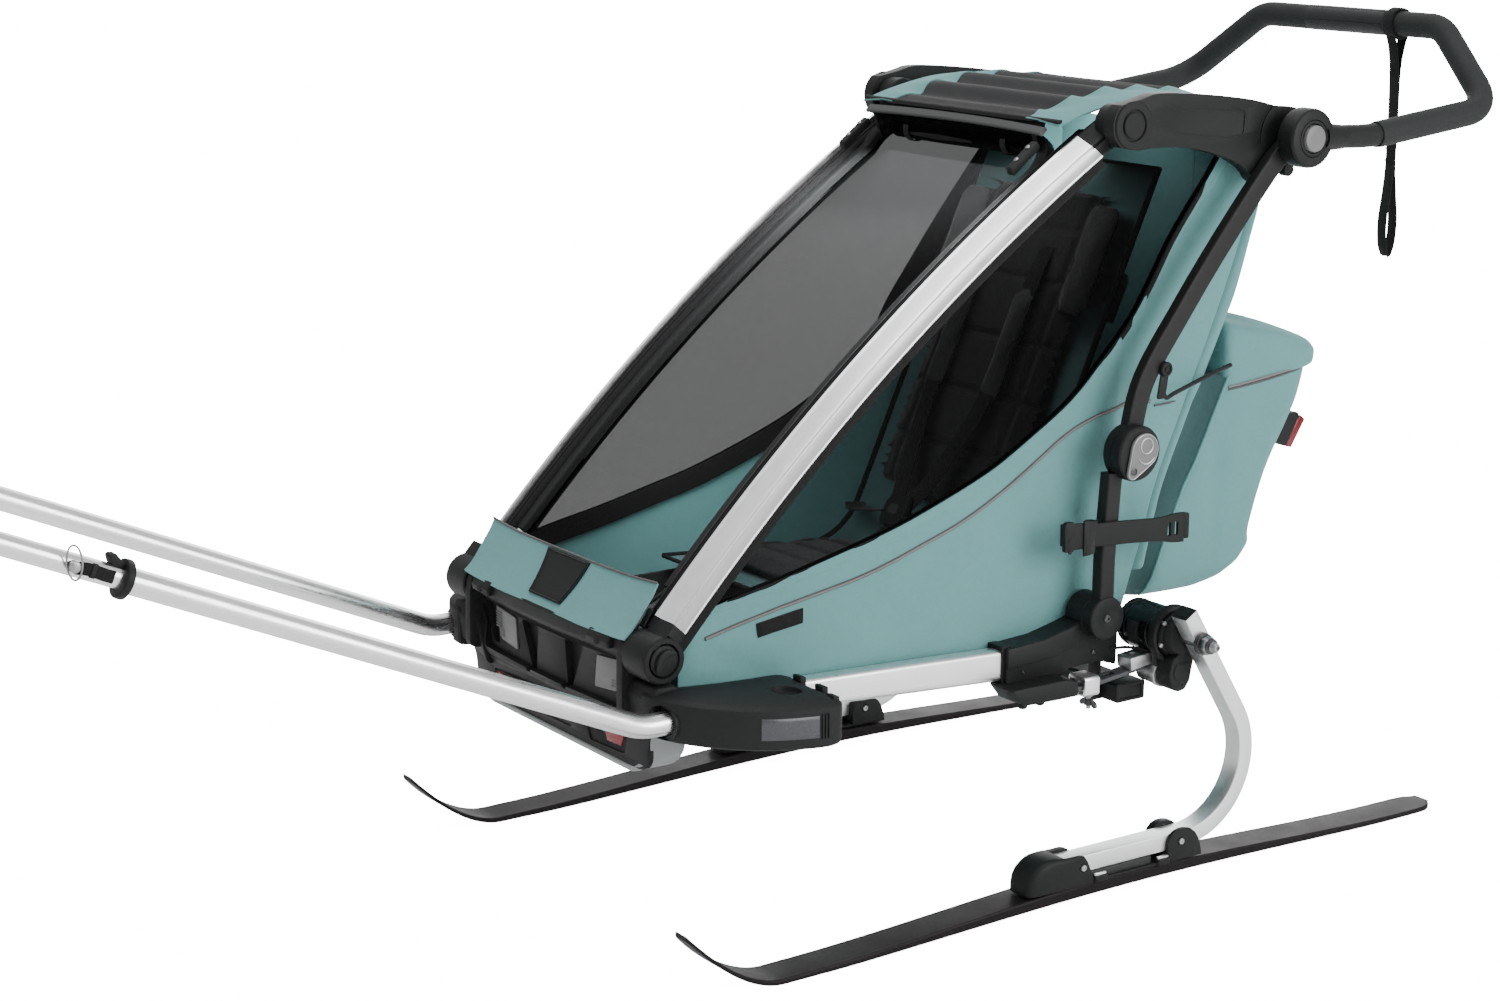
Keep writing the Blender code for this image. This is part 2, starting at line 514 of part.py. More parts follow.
# ------------------------------------------------------------------ top frame
by, bz = TOP_PIVOT
hy, hz = HANDLE_PIVOT
bracket = arc(by, bz, 0.0290, 235, 128, 5) + [(0.567, 0.8850), (0.6270, 0.8800), (0.7000, 0.8720)] + arc(hy, hz, 0.0330, 95, -60, 7) + \
    [(0.7420, 0.7870), (0.7140, 0.7800), (0.7000, 0.7980), (0.6600, 0.8110), (0.6220, 0.8210), (0.5750, 0.8260)]
top = slab_x("top", bracket, BRACKET_IN, BRACKET_OUT)
fuse(top, rod_x("cap", by, bz, 0.0200, BRACKET_OUT - 0.002, BRACKET_OUT + 0.0015, 18))
pair(top, "top_bracket", "top_frame", "black_plastic")

roof_path = smooth_line([(0, 0.5000, 0.8660), (0, 0.5900, 0.8820), (0, 0.6900, 0.8740), (0, 0.7640, 0.8480)], 5)
place(sweep("roof", roof_path, rounded(0.3590, 0.0060, 0.002), side=(1, 0, 0)), "roof", "top_frame", "teal_fabric")

# ------------------------------------------------------------------ upper half of the uprights
su = (STRUT_IN + STRUT_OUT) / 2
curve = smooth_line([(0.5290, 0.5000), (0.5490, 0.5680), (0.6020, 0.6420), (0.6590, 0.7140), (0.7250, 0.7900), (0.7580, 0.8200)], 8)
upper = sweep("upper", [(su, p[0], p[1]) for p in curve], rounded(STRUT_OUT - STRUT_IN, 0.0240, 0.003))
fuse(upper, rod_x("eye", HUB_PIVOT[0], HUB_PIVOT[1], 0.0195, STRUT_IN + 0.0005, STRUT_OUT - 0.0003, 16))
fuse(upper, rod_x("top_eye", HANDLE_PIVOT[0] - 0.004, HANDLE_PIVOT[1] - 0.003, 0.0170, STRUT_IN + 0.0008, STRUT_OUT - 0.0005, 14))
pair(upper, "upper_upright", "uprights", "black_plastic")

# ------------------------------------------------------------------ handlebar
half = [(0.2606, 0.7800, 0.8280), (0.2602, 0.8700, 0.8240), (0.2640, 1.0620, 0.8460), (0.1540, 1.0940, 0.9340)]
full = half + [(-x, y, z) for x, y, z in half[::-1]]
bends = [0.30, 0.050, 0.050, 0.050, 0.050, 0.30]
bar_path = fillet(full, bends, 3)
handle = sweep("handle", bar_path, circle(HANDLE_R, 10), side=(0, 0, 1))
for s in (1, -1):
    barrel = turned_x("barrel", hy, hz, [(s * 0.2463, 0.0325), (s * 0.2490, 0.0340), (s * 0.2685, 0.0340), (s * 0.2720, 0.0310)], 20)
    fuse(handle, barrel)
    cut(handle, rod_x("pocket", hy, hz, 0.0170, s * 0.2645, s * 0.2800, 16))
place(handle, "handlebar", "handlebar", "black_plastic")
GRIP_START_Y = 0.8720
first_in = next(i for i, p in enumerate(bar_path) if p[1] > GRIP_START_Y)
a_pt, b_pt = bar_path[first_in - 1], bar_path[first_in]
seam = a_pt + (b_pt - a_pt) * (GRIP_START_Y - a_pt[1]) / (b_pt[1] - a_pt[1])
left_in = [p for p in bar_path[first_in:] if p[1] > GRIP_START_Y]
grip_path = [seam] + left_in + [seam * np.array((-1.0, 1.0, 1.0))]
grip = sweep("grip", grip_path, circle(GRIP_R, 10), circle(HANDLE_R + 0.0004, 10), side=(0, 0, 1))
place(grip, "handle_grip", "handlebar", "grip_foam")
pair(turned_x("button", hy, hz, [(0.2685, 0.0155), (0.2745, 0.0155), (0.2755, 0.0145)], 16), "handle_button", "handle_button", "ring_plate", True)

# wrist strap: webbing looped over the crosspiece and hanging free
cross_y, cross_z = 1.0940, 0.9340
strap = tube_between("strap", [(0.0730, cross_y + a, cross_z + b) for a, b in circle(GRIP_R + 0.0035, 12)], [(0.0890, cross_y + a, cross_z + b) for a, b in circle(GRIP_R + 0.0035, 12)],
                     [(0.0730, cross_y + a, cross_z + b) for a, b in circle(GRIP_R + 0.0013, 12)], [(0.0890, cross_y + a, cross_z + b) for a, b in circle(GRIP_R + 0.0013, 12)])
tail = sweep("tail", [(0.0810, cross_y, cross_z - 0.0176), (0.0810, cross_y, 0.7300), (0.0810, cross_y, 0.6400)], rounded(0.0150, 0.0036, 0.001), side=(1, 0, 0))
fuse(strap, tail)
place(strap, "wrist_strap", "handlebar", "webbing")


# ------------------------------------------------------------------ pull bars
def bar_point(t):
    return np.array((BAR_X, BAR_BEND_Y - t, BAR_Z + BAR_RISE * t))


rear_line = fillet([(BAR_X, 0.0120, BAR_Z), (BAR_X, BAR_BEND_Y, BAR_Z), tuple(bar_point(BAR_SPLIT))], [0.070], 4)
tube = sweep("tube", rear_line, circle(BAR_R, 12), circle(BAR_R - BAR_WALL, 12))
fwd = bar_point(1.0) - bar_point(0.0)
fwd = fwd / np.linalg.norm(fwd)
collar_end = bar_point(BAR_SPLIT) + fwd * 0.0010
collar = sweep("collar", [tuple(collar_end - fwd * 0.0060), tuple(collar_end)], circle(0.0190, 14), circle(BAR_R - 0.0007, 14))
fuse(tube, collar)
pair(tube, "pull_bar", "pull_bar", "alloy", True)

FR = BAR_R - BAR_WALL - 0.0004
front = sweep("front", [tuple(bar_point(BAR_SPLIT - 0.140)), tuple(bar_point(BAR_SPLIT + 0.10)), tuple(bar_point(BAR_FRONT))], circle(FR, 12), circle(FR - 0.0018, 12))
pin_at = bar_point(BAR_PIN)
cut(front, rod_x("pin_hole", pin_at[1], pin_at[2], 0.0036, BAR_X - 0.03, BAR_X + 0.03, 10))
end0, end1 = bar_point(BAR_FRONT), bar_point(BAR_FRONT) + fwd * 0.012
fit = sweep("fit", [tuple(bar_point(BAR_FRONT - 0.030)), tuple(end1)], circle(0.0155, 12))
eye_y, eye_z = float(end1[1]) - 0.024, float(end1[2]) + 0.010
tongue = slab_x("tongue", arc(eye_y, eye_z, 0.0160, 90, 270, 8) + [(float(end1[1]) + 0.006, float(end1[2]) - 0.0110), (float(end1[1]) + 0.006, float(end1[2]) + 0.0150)], BAR_X - 0.0060, BAR_X + 0.0060)
fuse(fit, tongue)
cut(fit, rod_x("eye", eye_y, eye_z, 0.0065, BAR_X - 0.02, BAR_X + 0.02, 12))
fuse(front, fit)
pair(front, "pull_bar_front", "pull_bar_front", "alloy", True)

pin = turned_x("pin", float(pin_at[1]), float(pin_at[2]), [(BAR_X - 0.0180, 0.0020), (BAR_X - 0.0160, 0.0030), (BAR_X + 0.0150, 0.0030), (BAR_X + 0.0152, 0.0055), (BAR_X + 0.0190, 0.0055), (BAR_X + 0.0205, 0.0035)], 10)
up = np.cross(np.array((1.0, 0, 0)), fwd)
ring_c = pin_at - fwd * 0.0030
ring = sweep("ring", [tuple(ring_c + 0.0168 * (math.cos(math.radians(a)) * np.array((1.0, 0, 0)) + math.sin(math.radians(a)) * up)) for a in range(-90, 91, 15)], circle(0.0011, 6), side=tuple(fwd))
fuse(pin, ring)
pair(pin, "lock_pin", "lock_pin", "steel", True)

# ------------------------------------------------------------------ suspension
lx = 0.2420
leaf = sweep("leaf", [(lx, 0.4590 + GAP, 0.2205), (lx, 0.5250, 0.2245), (lx, 0.5960, 0.2290)], rounded(0.0200, 0.0050, 0.0012))
pair(leaf, "leaf_spring", "chassis", "spring_composite")

clamp_o = rounded(0.0290, 0.0300, 0.004, 1, lx, 0.2265)
clamp_i = rounded(0.0220, 0.0150, 0.001, 1, lx, 0.2245)
clamp = tube_between("clamp", [(a, 0.4700, b) for a, b in clamp_o], [(a, 0.4920, b) for a, b in clamp_o], [(a, 0.4700, b) for a, b in clamp_i], [(a, 0.4920, b) for a, b in clamp_i])
wing = loft("wing_nut", [[(lx + 0.008 + a, 0.4810 + b, z) for a, b in circle(0.0042, 10)] for z in (0.1980, 0.2140)])
fuse(clamp, wing, block("wings", lx - 0.004, lx + 0.020, 0.4795, 0.4825, 0.1960, 0.2045))
pair(clamp, "spring_clamp", "spring_clamp", "cast_alloy", True)

ay, az = AXLE
hub = turned_x("hub", ay, az, [(0.2050, 0.0250), (0.2070, 0.0270), (0.2640, 0.0270), (0.2660, 0.0340), (0.2780, 0.0340), (0.2800, 0.0290), (0.2930, 0.0290)], 20)
fuse(hub, slab_x("pad", [(0.5310, 0.2283), (0.5840, 0.2318), (0.5840, 0.2590), (0.5820, 0.2610), (0.5330, 0.2610), (0.5310, 0.2590)], 0.2325, 0.2570),
     slab_x("caliper", [(0.5480, 0.2620), (0.5440, 0.2300), (0.5560, 0.2160), (0.5820, 0.2160), (0.5980, 0.2320), (0.6020, 0.2600), (0.5760, 0.2780)], 0.2680, 0.2925))
cut(hub, rod_x("bore", ay, az, 0.0070, 0.1950, 0.3050, 14))
pair(hub, "hub_brake", "suspension", "black_plastic", True)

axle = turned_x("axle", ay, az, [(0.2150, 0.0052), (0.2180, 0.0064), (0.3198, 0.0064), (0.3198 + GAP, 0.0115), (0.3300, 0.0115), (0.3302, 0.0090), (0.3440, 0.0090), (0.3442, 0.0060), (0.3640, 0.0060), (0.3650, 0.0050)], 14)
pair(axle, "axle", "ski_set", "steel", True)

ARM_R, ARM_CY, ARM_Z = 0.0900, 0.5630, 0.0450
head_dir = math.radians(-58.0)
arm_c = (ARM_CY, ARM_Z + ARM_R)
first = (arm_c[0] - ARM_R * math.sin(head_dir), arm_c[1] + ARM_R * math.cos(head_dir))
start = (first[0] - 0.1500 * math.cos(head_dir), first[1] - 0.1500 * math.sin(head_dir))
ang0 = math.degrees(math.atan2(first[1] - arm_c[1], first[0] - arm_c[0]))
arm_line = [start] + arc(arm_c[0], arm_c[1], ARM_R, ang0, -90, 9) + [(0.4160, ARM_Z)]
ax0, ax1 = 0.2945, 0.3195
arm = sweep("arm", [((ax0 + ax1) / 2, y, z) for y, z in arm_line], rounded(ax1 - ax0, 0.0200, 0.002), rounded(ax1 - ax0 - 0.005, 0.0150, 0.001))
cut(arm, rod_x("bore", ay, az, 0.0070, 0.28, 0.34, 14))
pair(arm, "ski_arm", "ski_set", "alloy", True)


# ------------------------------------------------------------------ skis
def ski_under(y):
    if y < 0:
        return SKI_TIP[1] * (y / SKI_TIP[0]) ** 1.8
    if y <= 0.0600 or 0.9000 <= y <= 0.9550:
        return 0.0
    if y > 0.9550:
        return 0.5 * (y - 0.9550)
    return SKI_CAMBER * math.sin(math.pi * (y - 0.0600) / 0.8400) ** 1.5


def ski_thick(y):
    return 0.0050 + 0.0085 * math.exp(-((y - 0.45) / 0.30) ** 2)


ski_loops = []
for y, half_w in ((-0.1130, 0.0100), (-0.1080, 0.0170), (-0.0950, 0.0205), (-0.0700, 0.0225), (-0.0400, 0.0234), (0.0, SKI_HALF), (0.0600, SKI_HALF), (0.1100, SKI_HALF),
                  (0.1700, 0.0232), (0.2800, 0.0230), (0.4000, 0.0228), (0.5200, 0.0228), (0.6400, 0.0230), (0.7600, 0.0232), (0.8400, SKI_HALF), (0.9000, SKI_HALF), (0.9550, SKI_HALF), (0.9750, 0.0200)):
    b, t = ski_under(y), ski_under(y) + ski_thick(y)
    ski_loops.append([(TRACK_HALF - half_w, y, b), (TRACK_HALF + half_w, y, b), (TRACK_HALF + half_w, y, t - 0.0018), (TRACK_HALF + half_w - 0.0030, y, t), (TRACK_HALF - half_w + 0.0030, y, t), (TRACK_HALF - half_w, y, t - 0.0018)])
pair(loft("ski", ski_loops), "ski", "ski_set", "ski_base", True)

SHOE_Z = 0.0226
shoe = block("plate", 0.2830, 0.3200, 0.3360, 0.6100, SHOE_Z, 0.0342)
fuse(shoe, slab_x("front_cradle", [(0.3200, SHOE_Z), (0.3300, 0.0420), (0.3560, 0.0560), (0.3980, 0.0630), (0.4420, 0.0600), (0.4560, 0.0300), (0.4560, SHOE_Z)], 0.2835, 0.3245),
     slab_x("rear_cradle", [(0.5360, SHOE_Z), (0.5420, 0.0480), (0.5520, 0.0600), (0.5800, 0.0630), (0.5920, 0.0560), (0.6000, 0.0340), (0.6140, 0.0320), (0.6140, SHOE_Z)], 0.2835, 0.3245))
cut(shoe, block("channel", ax0 - 0.0003, ax1 + 0.0003, 0.4154, 0.6300, 0.0347, 0.0900))
pair(shoe, "ski_shoe", "ski_set", "black_plastic", True)
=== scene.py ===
"""The looks of a folding child trailer on skis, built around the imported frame.

Design coordinates below are metres with z = 0 on the snow and y = 0 where the skis' running surface
leaves the ground; OY moves them into the frame. +X is the child's left, -Y is forward.
"""
import math

import bmesh
import bpy
import numpy as np
from mathutils import Matrix, Vector, noise


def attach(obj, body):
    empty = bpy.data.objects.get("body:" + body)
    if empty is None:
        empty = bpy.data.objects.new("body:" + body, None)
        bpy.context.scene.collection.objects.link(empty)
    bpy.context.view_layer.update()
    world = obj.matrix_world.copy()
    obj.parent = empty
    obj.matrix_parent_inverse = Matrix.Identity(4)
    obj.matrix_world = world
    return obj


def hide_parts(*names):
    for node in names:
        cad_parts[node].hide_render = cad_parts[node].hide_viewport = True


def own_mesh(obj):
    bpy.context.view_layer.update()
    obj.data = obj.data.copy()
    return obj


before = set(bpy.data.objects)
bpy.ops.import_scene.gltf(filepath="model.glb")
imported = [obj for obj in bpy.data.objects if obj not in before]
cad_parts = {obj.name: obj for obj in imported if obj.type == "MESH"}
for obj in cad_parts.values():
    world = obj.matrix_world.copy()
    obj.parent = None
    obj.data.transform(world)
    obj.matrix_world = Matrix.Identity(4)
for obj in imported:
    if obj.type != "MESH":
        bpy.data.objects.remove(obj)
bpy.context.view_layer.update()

OY = 0.25362
A = (-0.075, 0.336)
B = (0.530, 0.853)
C = (0.766, 0.828)
HUB = (0.527, 0.490)
DISC = (0.496, 0.300)
AXLE = (0.576, 0.275)
scene = bpy.context.scene


# ================================================================== geometry tools
def smooth(ob, angle=35.0):
    ob.data.shade_smooth()
    ob.data.set_sharp_from_angle(angle=math.radians(angle))
    return ob


def mesh_object(name, verts, faces, recalc=True):
    me = bpy.data.meshes.new(name)
    me.from_pydata([(float(v[0]), float(v[1]), float(v[2])) for v in verts], [], [tuple(f) for f in faces])
    me.validate()
    if recalc:
        bm = bmesh.new()
        bm.from_mesh(me)
        bmesh.ops.recalc_face_normals(bm, faces=bm.faces)
        bm.to_mesh(me)
        bm.free()
    ob = bpy.data.objects.new(name, me)
    scene.collection.objects.link(ob)
    return ob


def rounded(w, h, r, n=4, cu=0.0, cv=0.0):
    pts = []
    for su, sv, a0 in ((1, 1, 0), (-1, 1, 90), (-1, -1, 180), (1, -1, 270)):
        for k in range(n + 1):
            a = math.radians(a0 + 90.0 * k / n)
            pts.append((cu + su * (w / 2 - r) + r * math.cos(a), cv + sv * (h / 2 - r) + r * math.sin(a)))
    return pts


def circle(r, n=32, cu=0.0, cv=0.0):
    return [(cu + r * math.cos(2 * math.pi * k / n), cv + r * math.sin(2 * math.pi * k / n)) for k in range(n)]


def arc(cu, cv, r, a0, a1, n):
    return [(cu + r * math.cos(math.radians(a0 + (a1 - a0) * k / n)), cv + r * math.sin(math.radians(a0 + (a1 - a0) * k / n))) for k in range(n + 1)]


def round_poly(points, radii, n=4):
    """Closed outline with rounded corners. radii is one number or one for each corner."""
    k = len(points)
    if isinstance(radii, (int, float)):
        radii = [radii] * k
    out = []
    for i in range(k):
        p, a, b = np.array(points[i], float), np.array(points[i - 1], float), np.array(points[(i + 1) % k], float)
        r = radii[i]
        u, v = a - p, b - p
        lu, lv = np.linalg.norm(u), np.linalg.norm(v)
        u, v = u / lu, v / lv
        half = math.acos(max(-0.99999, min(0.99999, float(u @ v)))) / 2
        if r <= 0 or half > math.pi / 2 - 0.03:
            out.append(tuple(p))
            continue
        cut = min(r / math.tan(half), 0.49 * lu, 0.49 * lv)
        t0, t1 = p + u * cut, p + v * cut
        for s in range(n + 1):
            t = s / n
            q = (1 - t) ** 2 * t0 + 2 * t * (1 - t) * p + t * t * t1
            out.append(tuple(q))
    return out


def fillet(points, radii, n=10):
    p = [np.array(q, float) for q in points]
    out = [p[0]]
    for i in range(1, len(p) - 1):
        r = radii[i - 1]
        a, b = p[i - 1] - p[i], p[i + 1] - p[i]
        a, b = a / np.linalg.norm(a), b / np.linalg.norm(b)
        half = math.acos(max(-1.0, min(1.0, float(a @ b)))) / 2
        t0, t1 = p[i] + a * r / math.tan(half), p[i] + b * r / math.tan(half)
        mid = (a + b) / np.linalg.norm(a + b)
        centre = p[i] + mid * (r / math.sin(half))
        u, v = t0 - centre, t1 - centre
        whole = math.acos(max(-1.0, min(1.0, float(u @ v) / (r * r))))
        for k in range(n + 1):
            s = k / n
            out.append(centre + (math.sin((1 - s) * whole) * u + math.sin(s * whole) * v) / math.sin(whole))
    out.append(p[-1])
    return out


def spline(points, n, closed=False):
    """n + 1 points, evenly spaced along a Catmull-Rom curve through the points."""
    p = [np.array(q, float) for q in points]
    ext = [p[-1]] + p + [p[0], p[1]] if closed else [2 * p[0] - p[1]] + p + [2 * p[-1] - p[-2]]
    segs = len(ext) - 3
    fine = []
    for k in range(segs * 24 + 1):
        t = k / 24
        i = min(int(t), segs - 1)
        t -= i
        a, b, c, d = ext[i : i + 4]
        fine.append(0.5 * ((2 * b) + (c - a) * t + (2 * a - 5 * b + 4 * c - d) * t * t + (3 * b - a - 3 * c + d) * t ** 3))
    return evenly(fine, n, closed)


def evenly(line, n, closed=False):
    f = np.array(line)
    d = np.concatenate([[0], np.cumsum(np.linalg.norm(np.diff(f, axis=0), axis=1))])
    want = np.linspace(0, d[-1], n + 1)
    out = [np.array([np.interp(s, d, f[:, k]) for k in range(f.shape[1])]) for s in want]
    return out[:-1] if closed else out


def at(line, t):
    """The point at share t of the length of an open line."""
    f = np.array(line)
    d = np.concatenate([[0], np.cumsum(np.linalg.norm(np.diff(f, axis=0), axis=1))])
    return np.array([np.interp(t * d[-1], d, f[:, k]) for k in range(f.shape[1])])


def frames(path, side):
    P = [np.array(q, float) for q in path]
    n = len(P)
    seg = [(P[i + 1] - P[i]) / np.linalg.norm(P[i + 1] - P[i]) for i in range(n - 1)]
    T = [seg[0]] + [(seg[i - 1] + seg[i]) / np.linalg.norm(seg[i - 1] + seg[i]) for i in range(1, n - 1)] + [seg[-1]]
    s = np.array(side, float)
    out = []
    for i in range(n):
        s = s - T[i] * float(s @ T[i])
        s = s / np.linalg.norm(s)
        out.append((P[i], s.copy(), np.cross(s, T[i]), T[i]))
    return out


def sweep(name, path, prof, side=(1, 0, 0), inner=None, scale=None, caps=True, round_end=0.0):
    """prof = [(a, b)], a along side and b along side x tangent. scale(t) shrinks the profile along the way."""
    F = frames(path, side)
    n, k = len(F), len(prof)
    L = np.concatenate([[0], np.cumsum([np.linalg.norm(F[i + 1][0] - F[i][0]) for i in range(n - 1)])])
    rings = []
    for i, (P, s, m, T) in enumerate(F):
        g = scale(L[i] / L[-1]) if scale else 1.0
        g = g if isinstance(g, tuple) else (g, g)
        rings.append([P + a * g[0] * s + b * g[1] * m for a, b in prof])
    if round_end > 0:
        for end, sgn in ((0, -1), (-1, 1)):
            P, s, m, T = F[end]
            g = scale(0.0 if end == 0 else 1.0) if scale else 1.0
            g = g if isinstance(g, tuple) else (g, g)
            extra = []
            for a0 in (20, 40, 60, 75, 85):
                sh = math.cos(math.radians(a0))
                extra.append([P + a * g[0] * sh * s + b * g[1] * sh * m + T * sgn * round_end * math.sin(math.radians(a0)) for a, b in prof])
            rings = extra[::-1] + rings if end == 0 else rings + extra
    verts = [v for r in rings for v in r]
    n = len(rings)
    faces = []
    for i in range(n - 1):
        for j in range(k):
            q = (j + 1) % k
            faces.append((i * k + j, i * k + q, (i + 1) * k + q, (i + 1) * k + j))
    if inner is None:
        if caps:
            faces.append(tuple(range(k))[::-1])
            faces.append(tuple((n - 1) * k + j for j in range(k)))
    else:
        o = len(verts)
        for i, (P, s, m, T) in enumerate(F):
            verts += [P + a * s + b * m for a, b in inner]
        for i in range(n - 1):
            for j in range(k):
                q = (j + 1) % k
                faces.append((o + i * k + j, o + (i + 1) * k + j, o + (i + 1) * k + q, o + i * k + q))
        e = (n - 1) * k
        for j in range(k):
            q = (j + 1) % k
            faces.append((j, o + j, o + q, q))
            faces.append((e + j, e + q, o + e + q, o + e + j))
    return mesh_object(name, verts, faces)


def loft(name, loops, caps=True):
    k, n = len(loops[0]), len(loops)
    faces = []
    for i in range(n - 1):
        for j in range(k):
            q = (j + 1) % k
            faces.append((i * k + j, i * k + q, (i + 1) * k + q, (i + 1) * k + j))
    if caps:
        faces.append(tuple(range(k))[::-1])
        faces.append(tuple((n - 1) * k + j for j in range(k)))
    return mesh_object(name, [v for loop in loops for v in loop], faces)


def grid(name, rows, thick=0.0, flip=False):
    """A sheet through rows of points; with thick, a closed sheet of that thickness."""
    n, k = len(rows), len(rows[0])
    faces = []
    for i in range(n - 1):
        for j in range(k - 1):
            f = (i * k + j, i * k + j + 1, (i + 1) * k + j + 1, (i + 1) * k + j)
            faces.append(f[::-1] if flip else f)
    ob = mesh_object(name, [v for r in rows for v in r], faces, recalc=False)
    if thick:
        m = ob.modifiers.new("thick", "SOLIDIFY")
        m.thickness, m.offset, m.use_even_offset = thick, -1.0, False
        bake(ob)
    return ob


def slab_x(name, outline, x0, x1):
    return loft(name, [[(x0, y, z) for y, z in outline], [(x1, y, z) for y, z in outline]])


def slab_z(name, outline, z0, z1):
    return loft(name, [[(x, y, z0) for x, y in outline], [(x, y, z1) for x, y in outline]])


def slab_y(name, outline, y0, y1):
    return loft(name, [[(x, y0, z) for x, z in outline], [(x, y1, z) for x, z in outline]])


def block(name, x0, x1, y0, y1, z0, z1):
    return slab_x(name, [(y0, z0), (y1, z0), (y1, z1), (y0, z1)], x0, x1)


def turned(name, centre, axis, steps, n=40):
    """A turned piece: steps = [(distance along the axis, radius)]. axis is x, y or z, or a vector."""
    ax = {"x": (1, 0, 0), "y": (0, 1, 0), "z": (0, 0, 1)}.get(axis, axis) if isinstance(axis, str) else axis
    ax = np.array(ax, float) / np.linalg.norm(ax)
    ref = np.array((0, 0, 1.0)) if abs(ax[2]) < 0.9 else np.array((0, 1.0, 0))
    u = np.cross(ax, ref)
    u /= np.linalg.norm(u)
    w = np.cross(ax, u)
    c = np.array(centre, float)
    return loft(name, [[c + ax * d + r * (math.cos(2 * math.pi * k / n) * u + math.sin(2 * math.pi * k / n) * w) for k in range(n)] for d, r in steps])


def bake(ob):
    bpy.context.view_layer.update()
    me = bpy.data.meshes.new_from_object(ob.evaluated_get(bpy.context.evaluated_depsgraph_get()))
    ob.modifiers.clear()
    ob.data = me
    return ob


def mix(target, tool, operation):
    m = target.modifiers.new("cut", "BOOLEAN")
    m.object, m.operation, m.solver = tool, operation, "EXACT"
    bake(target)
    bpy.data.objects.remove(tool, do_unlink=True)
    return target


def fuse(target, *tools):
    for t in tools:
        mix(target, t, "UNION")
    return target


def cut(target, *tools):
    for t in tools:
        mix(target, t, "DIFFERENCE")
    return target


def bevel(ob, width=0.001, segments=2, angle=32.0):
    m = ob.modifiers.new("bevel", "BEVEL")
    m.width, m.segments, m.limit_method, m.angle_limit = width, segments, "ANGLE", math.radians(angle)
    m.use_clamp_overlap, m.miter_outer = True, "MITER_ARC"
    return bake(ob)


def join(name, *obs):
    """One object of several separate bodies, each keeping its own materials."""
    bm = bmesh.new()
    mats = []
    for o in obs:
        base = len(mats)
        mats += list(o.data.materials)
        start = len(bm.faces)
        bm.from_mesh(o.data)
        bm.faces.ensure_lookup_table()
        for f in bm.faces[start:]:
            f.material_index += base
    me = bpy.data.meshes.new(name)
    bm.to_mesh(me)
    bm.free()
    for m in mats:
        me.materials.append(m)
    ob = bpy.data.objects.new(name, me)
    scene.collection.objects.link(ob)
    for o in obs:
        bpy.data.objects.remove(o, do_unlink=True)
    return ob


def dress(ob, material, angle=35.0):
    ob.data.materials.clear()
    ob.data.materials.append(material)
    smooth(ob, angle)
    return ob


def moved(ob, vec=(0, 0, 0), rot=None, about=(0, 0, 0)):
    M = Matrix.Translation(Vector(vec))
    if rot is not None:
        ang, ax = rot
        M = M @ Matrix.Translation(Vector(about)) @ Matrix.Rotation(math.radians(ang), 4, Vector(ax)) @ Matrix.Translation(-Vector(about))
    ob.data.transform(M)
    return ob


def twin(ob):
    me = ob.data.copy()
    me.transform(Matrix.Scale(-1, 4, Vector((1, 0, 0))))
    me.flip_normals()
    t = bpy.data.objects.new(ob.name + "_t", me)
    scene.collection.objects.link(t)
    return t


def put(ob, name, body, nodes=(), squash=None):
    """Moves a finished piece into the frame, names it, and lets it ride."""
    ob.data.transform(Matrix.Translation(Vector((0, OY, 0))))
    ob.name = name
    ob.data.name = name
    if nodes:
        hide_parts(*([nodes] if isinstance(nodes, str) else nodes))
    if squash:
        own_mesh(ob)
    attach(ob, body)
    return ob


def pair(ob, name, body, nodes=(), per_side=False, squash=None):
    """Left piece and its mirror image. nodes and body get _left and _right where per_side says so."""
    nodes = [nodes] if isinstance(nodes, str) else list(nodes)
    t = twin(ob)
    out = []
    for o, tag in ((ob, "_left"), (t, "_right")):
        out.append(put(o, name + tag, body + tag if per_side else body, [n + tag for n in nodes], squash))
    return out


# ================================================================== materials
def shader(name):
    m = bpy.data.materials.new(name)
    m.use_nodes = True
    nt = m.node_tree
    return m, nt, nt.nodes["Principled BSDF"]


def noise_tex(nt, co, scale, detail=3.0, rough=0.55):
    n = nt.nodes.new("ShaderNodeTexNoise")
    n.inputs["Scale"].default_value = scale
    n.inputs["Detail"].default_value = detail
    n.inputs["Roughness"].default_value = rough
    nt.links.new(co, n.inputs["Vector"])
    return n.outputs["Fac"]


def ramp(nt, fac, lo, hi, a=0.35, b=0.65):
    r = nt.nodes.new("ShaderNodeMapRange")
    r.inputs["From Min"].default_value = a
    r.inputs["From Max"].default_value = b
    r.inputs["To Min"].default_value = lo
    r.inputs["To Max"].default_value = hi
    nt.links.new(fac, r.inputs["Value"])
    return r.outputs["Result"]


def tint(nt, fac, c0, c1):
    m = nt.nodes.new("ShaderNodeMix")
    m.data_type = "RGBA"
    m.inputs["A"].default_value = tuple(c0) + (1.0,)
    m.inputs["B"].default_value = tuple(c1) + (1.0,)
    nt.links.new(fac, m.inputs["Factor"])
    return m.outputs["Result"]


def calc(nt, op, a, b=None):
    m = nt.nodes.new("ShaderNodeMath")
    m.operation = op
    for i, v in ((0, a), (1, b)):
        if v is None:
            continue
        if isinstance(v, (int, float)):
            m.inputs[i].default_value = v
        else:
            nt.links.new(v, m.inputs[i])
    return m.outputs[0]


def bump(nt, b, height, strength, distance):
    n = nt.nodes.new("ShaderNodeBump")
    n.inputs["Strength"].default_value = strength
    n.inputs["Distance"].default_value = distance
    nt.links.new(height, n.inputs["Height"])
    nt.links.new(n.outputs["Normal"], b.inputs["Normal"])


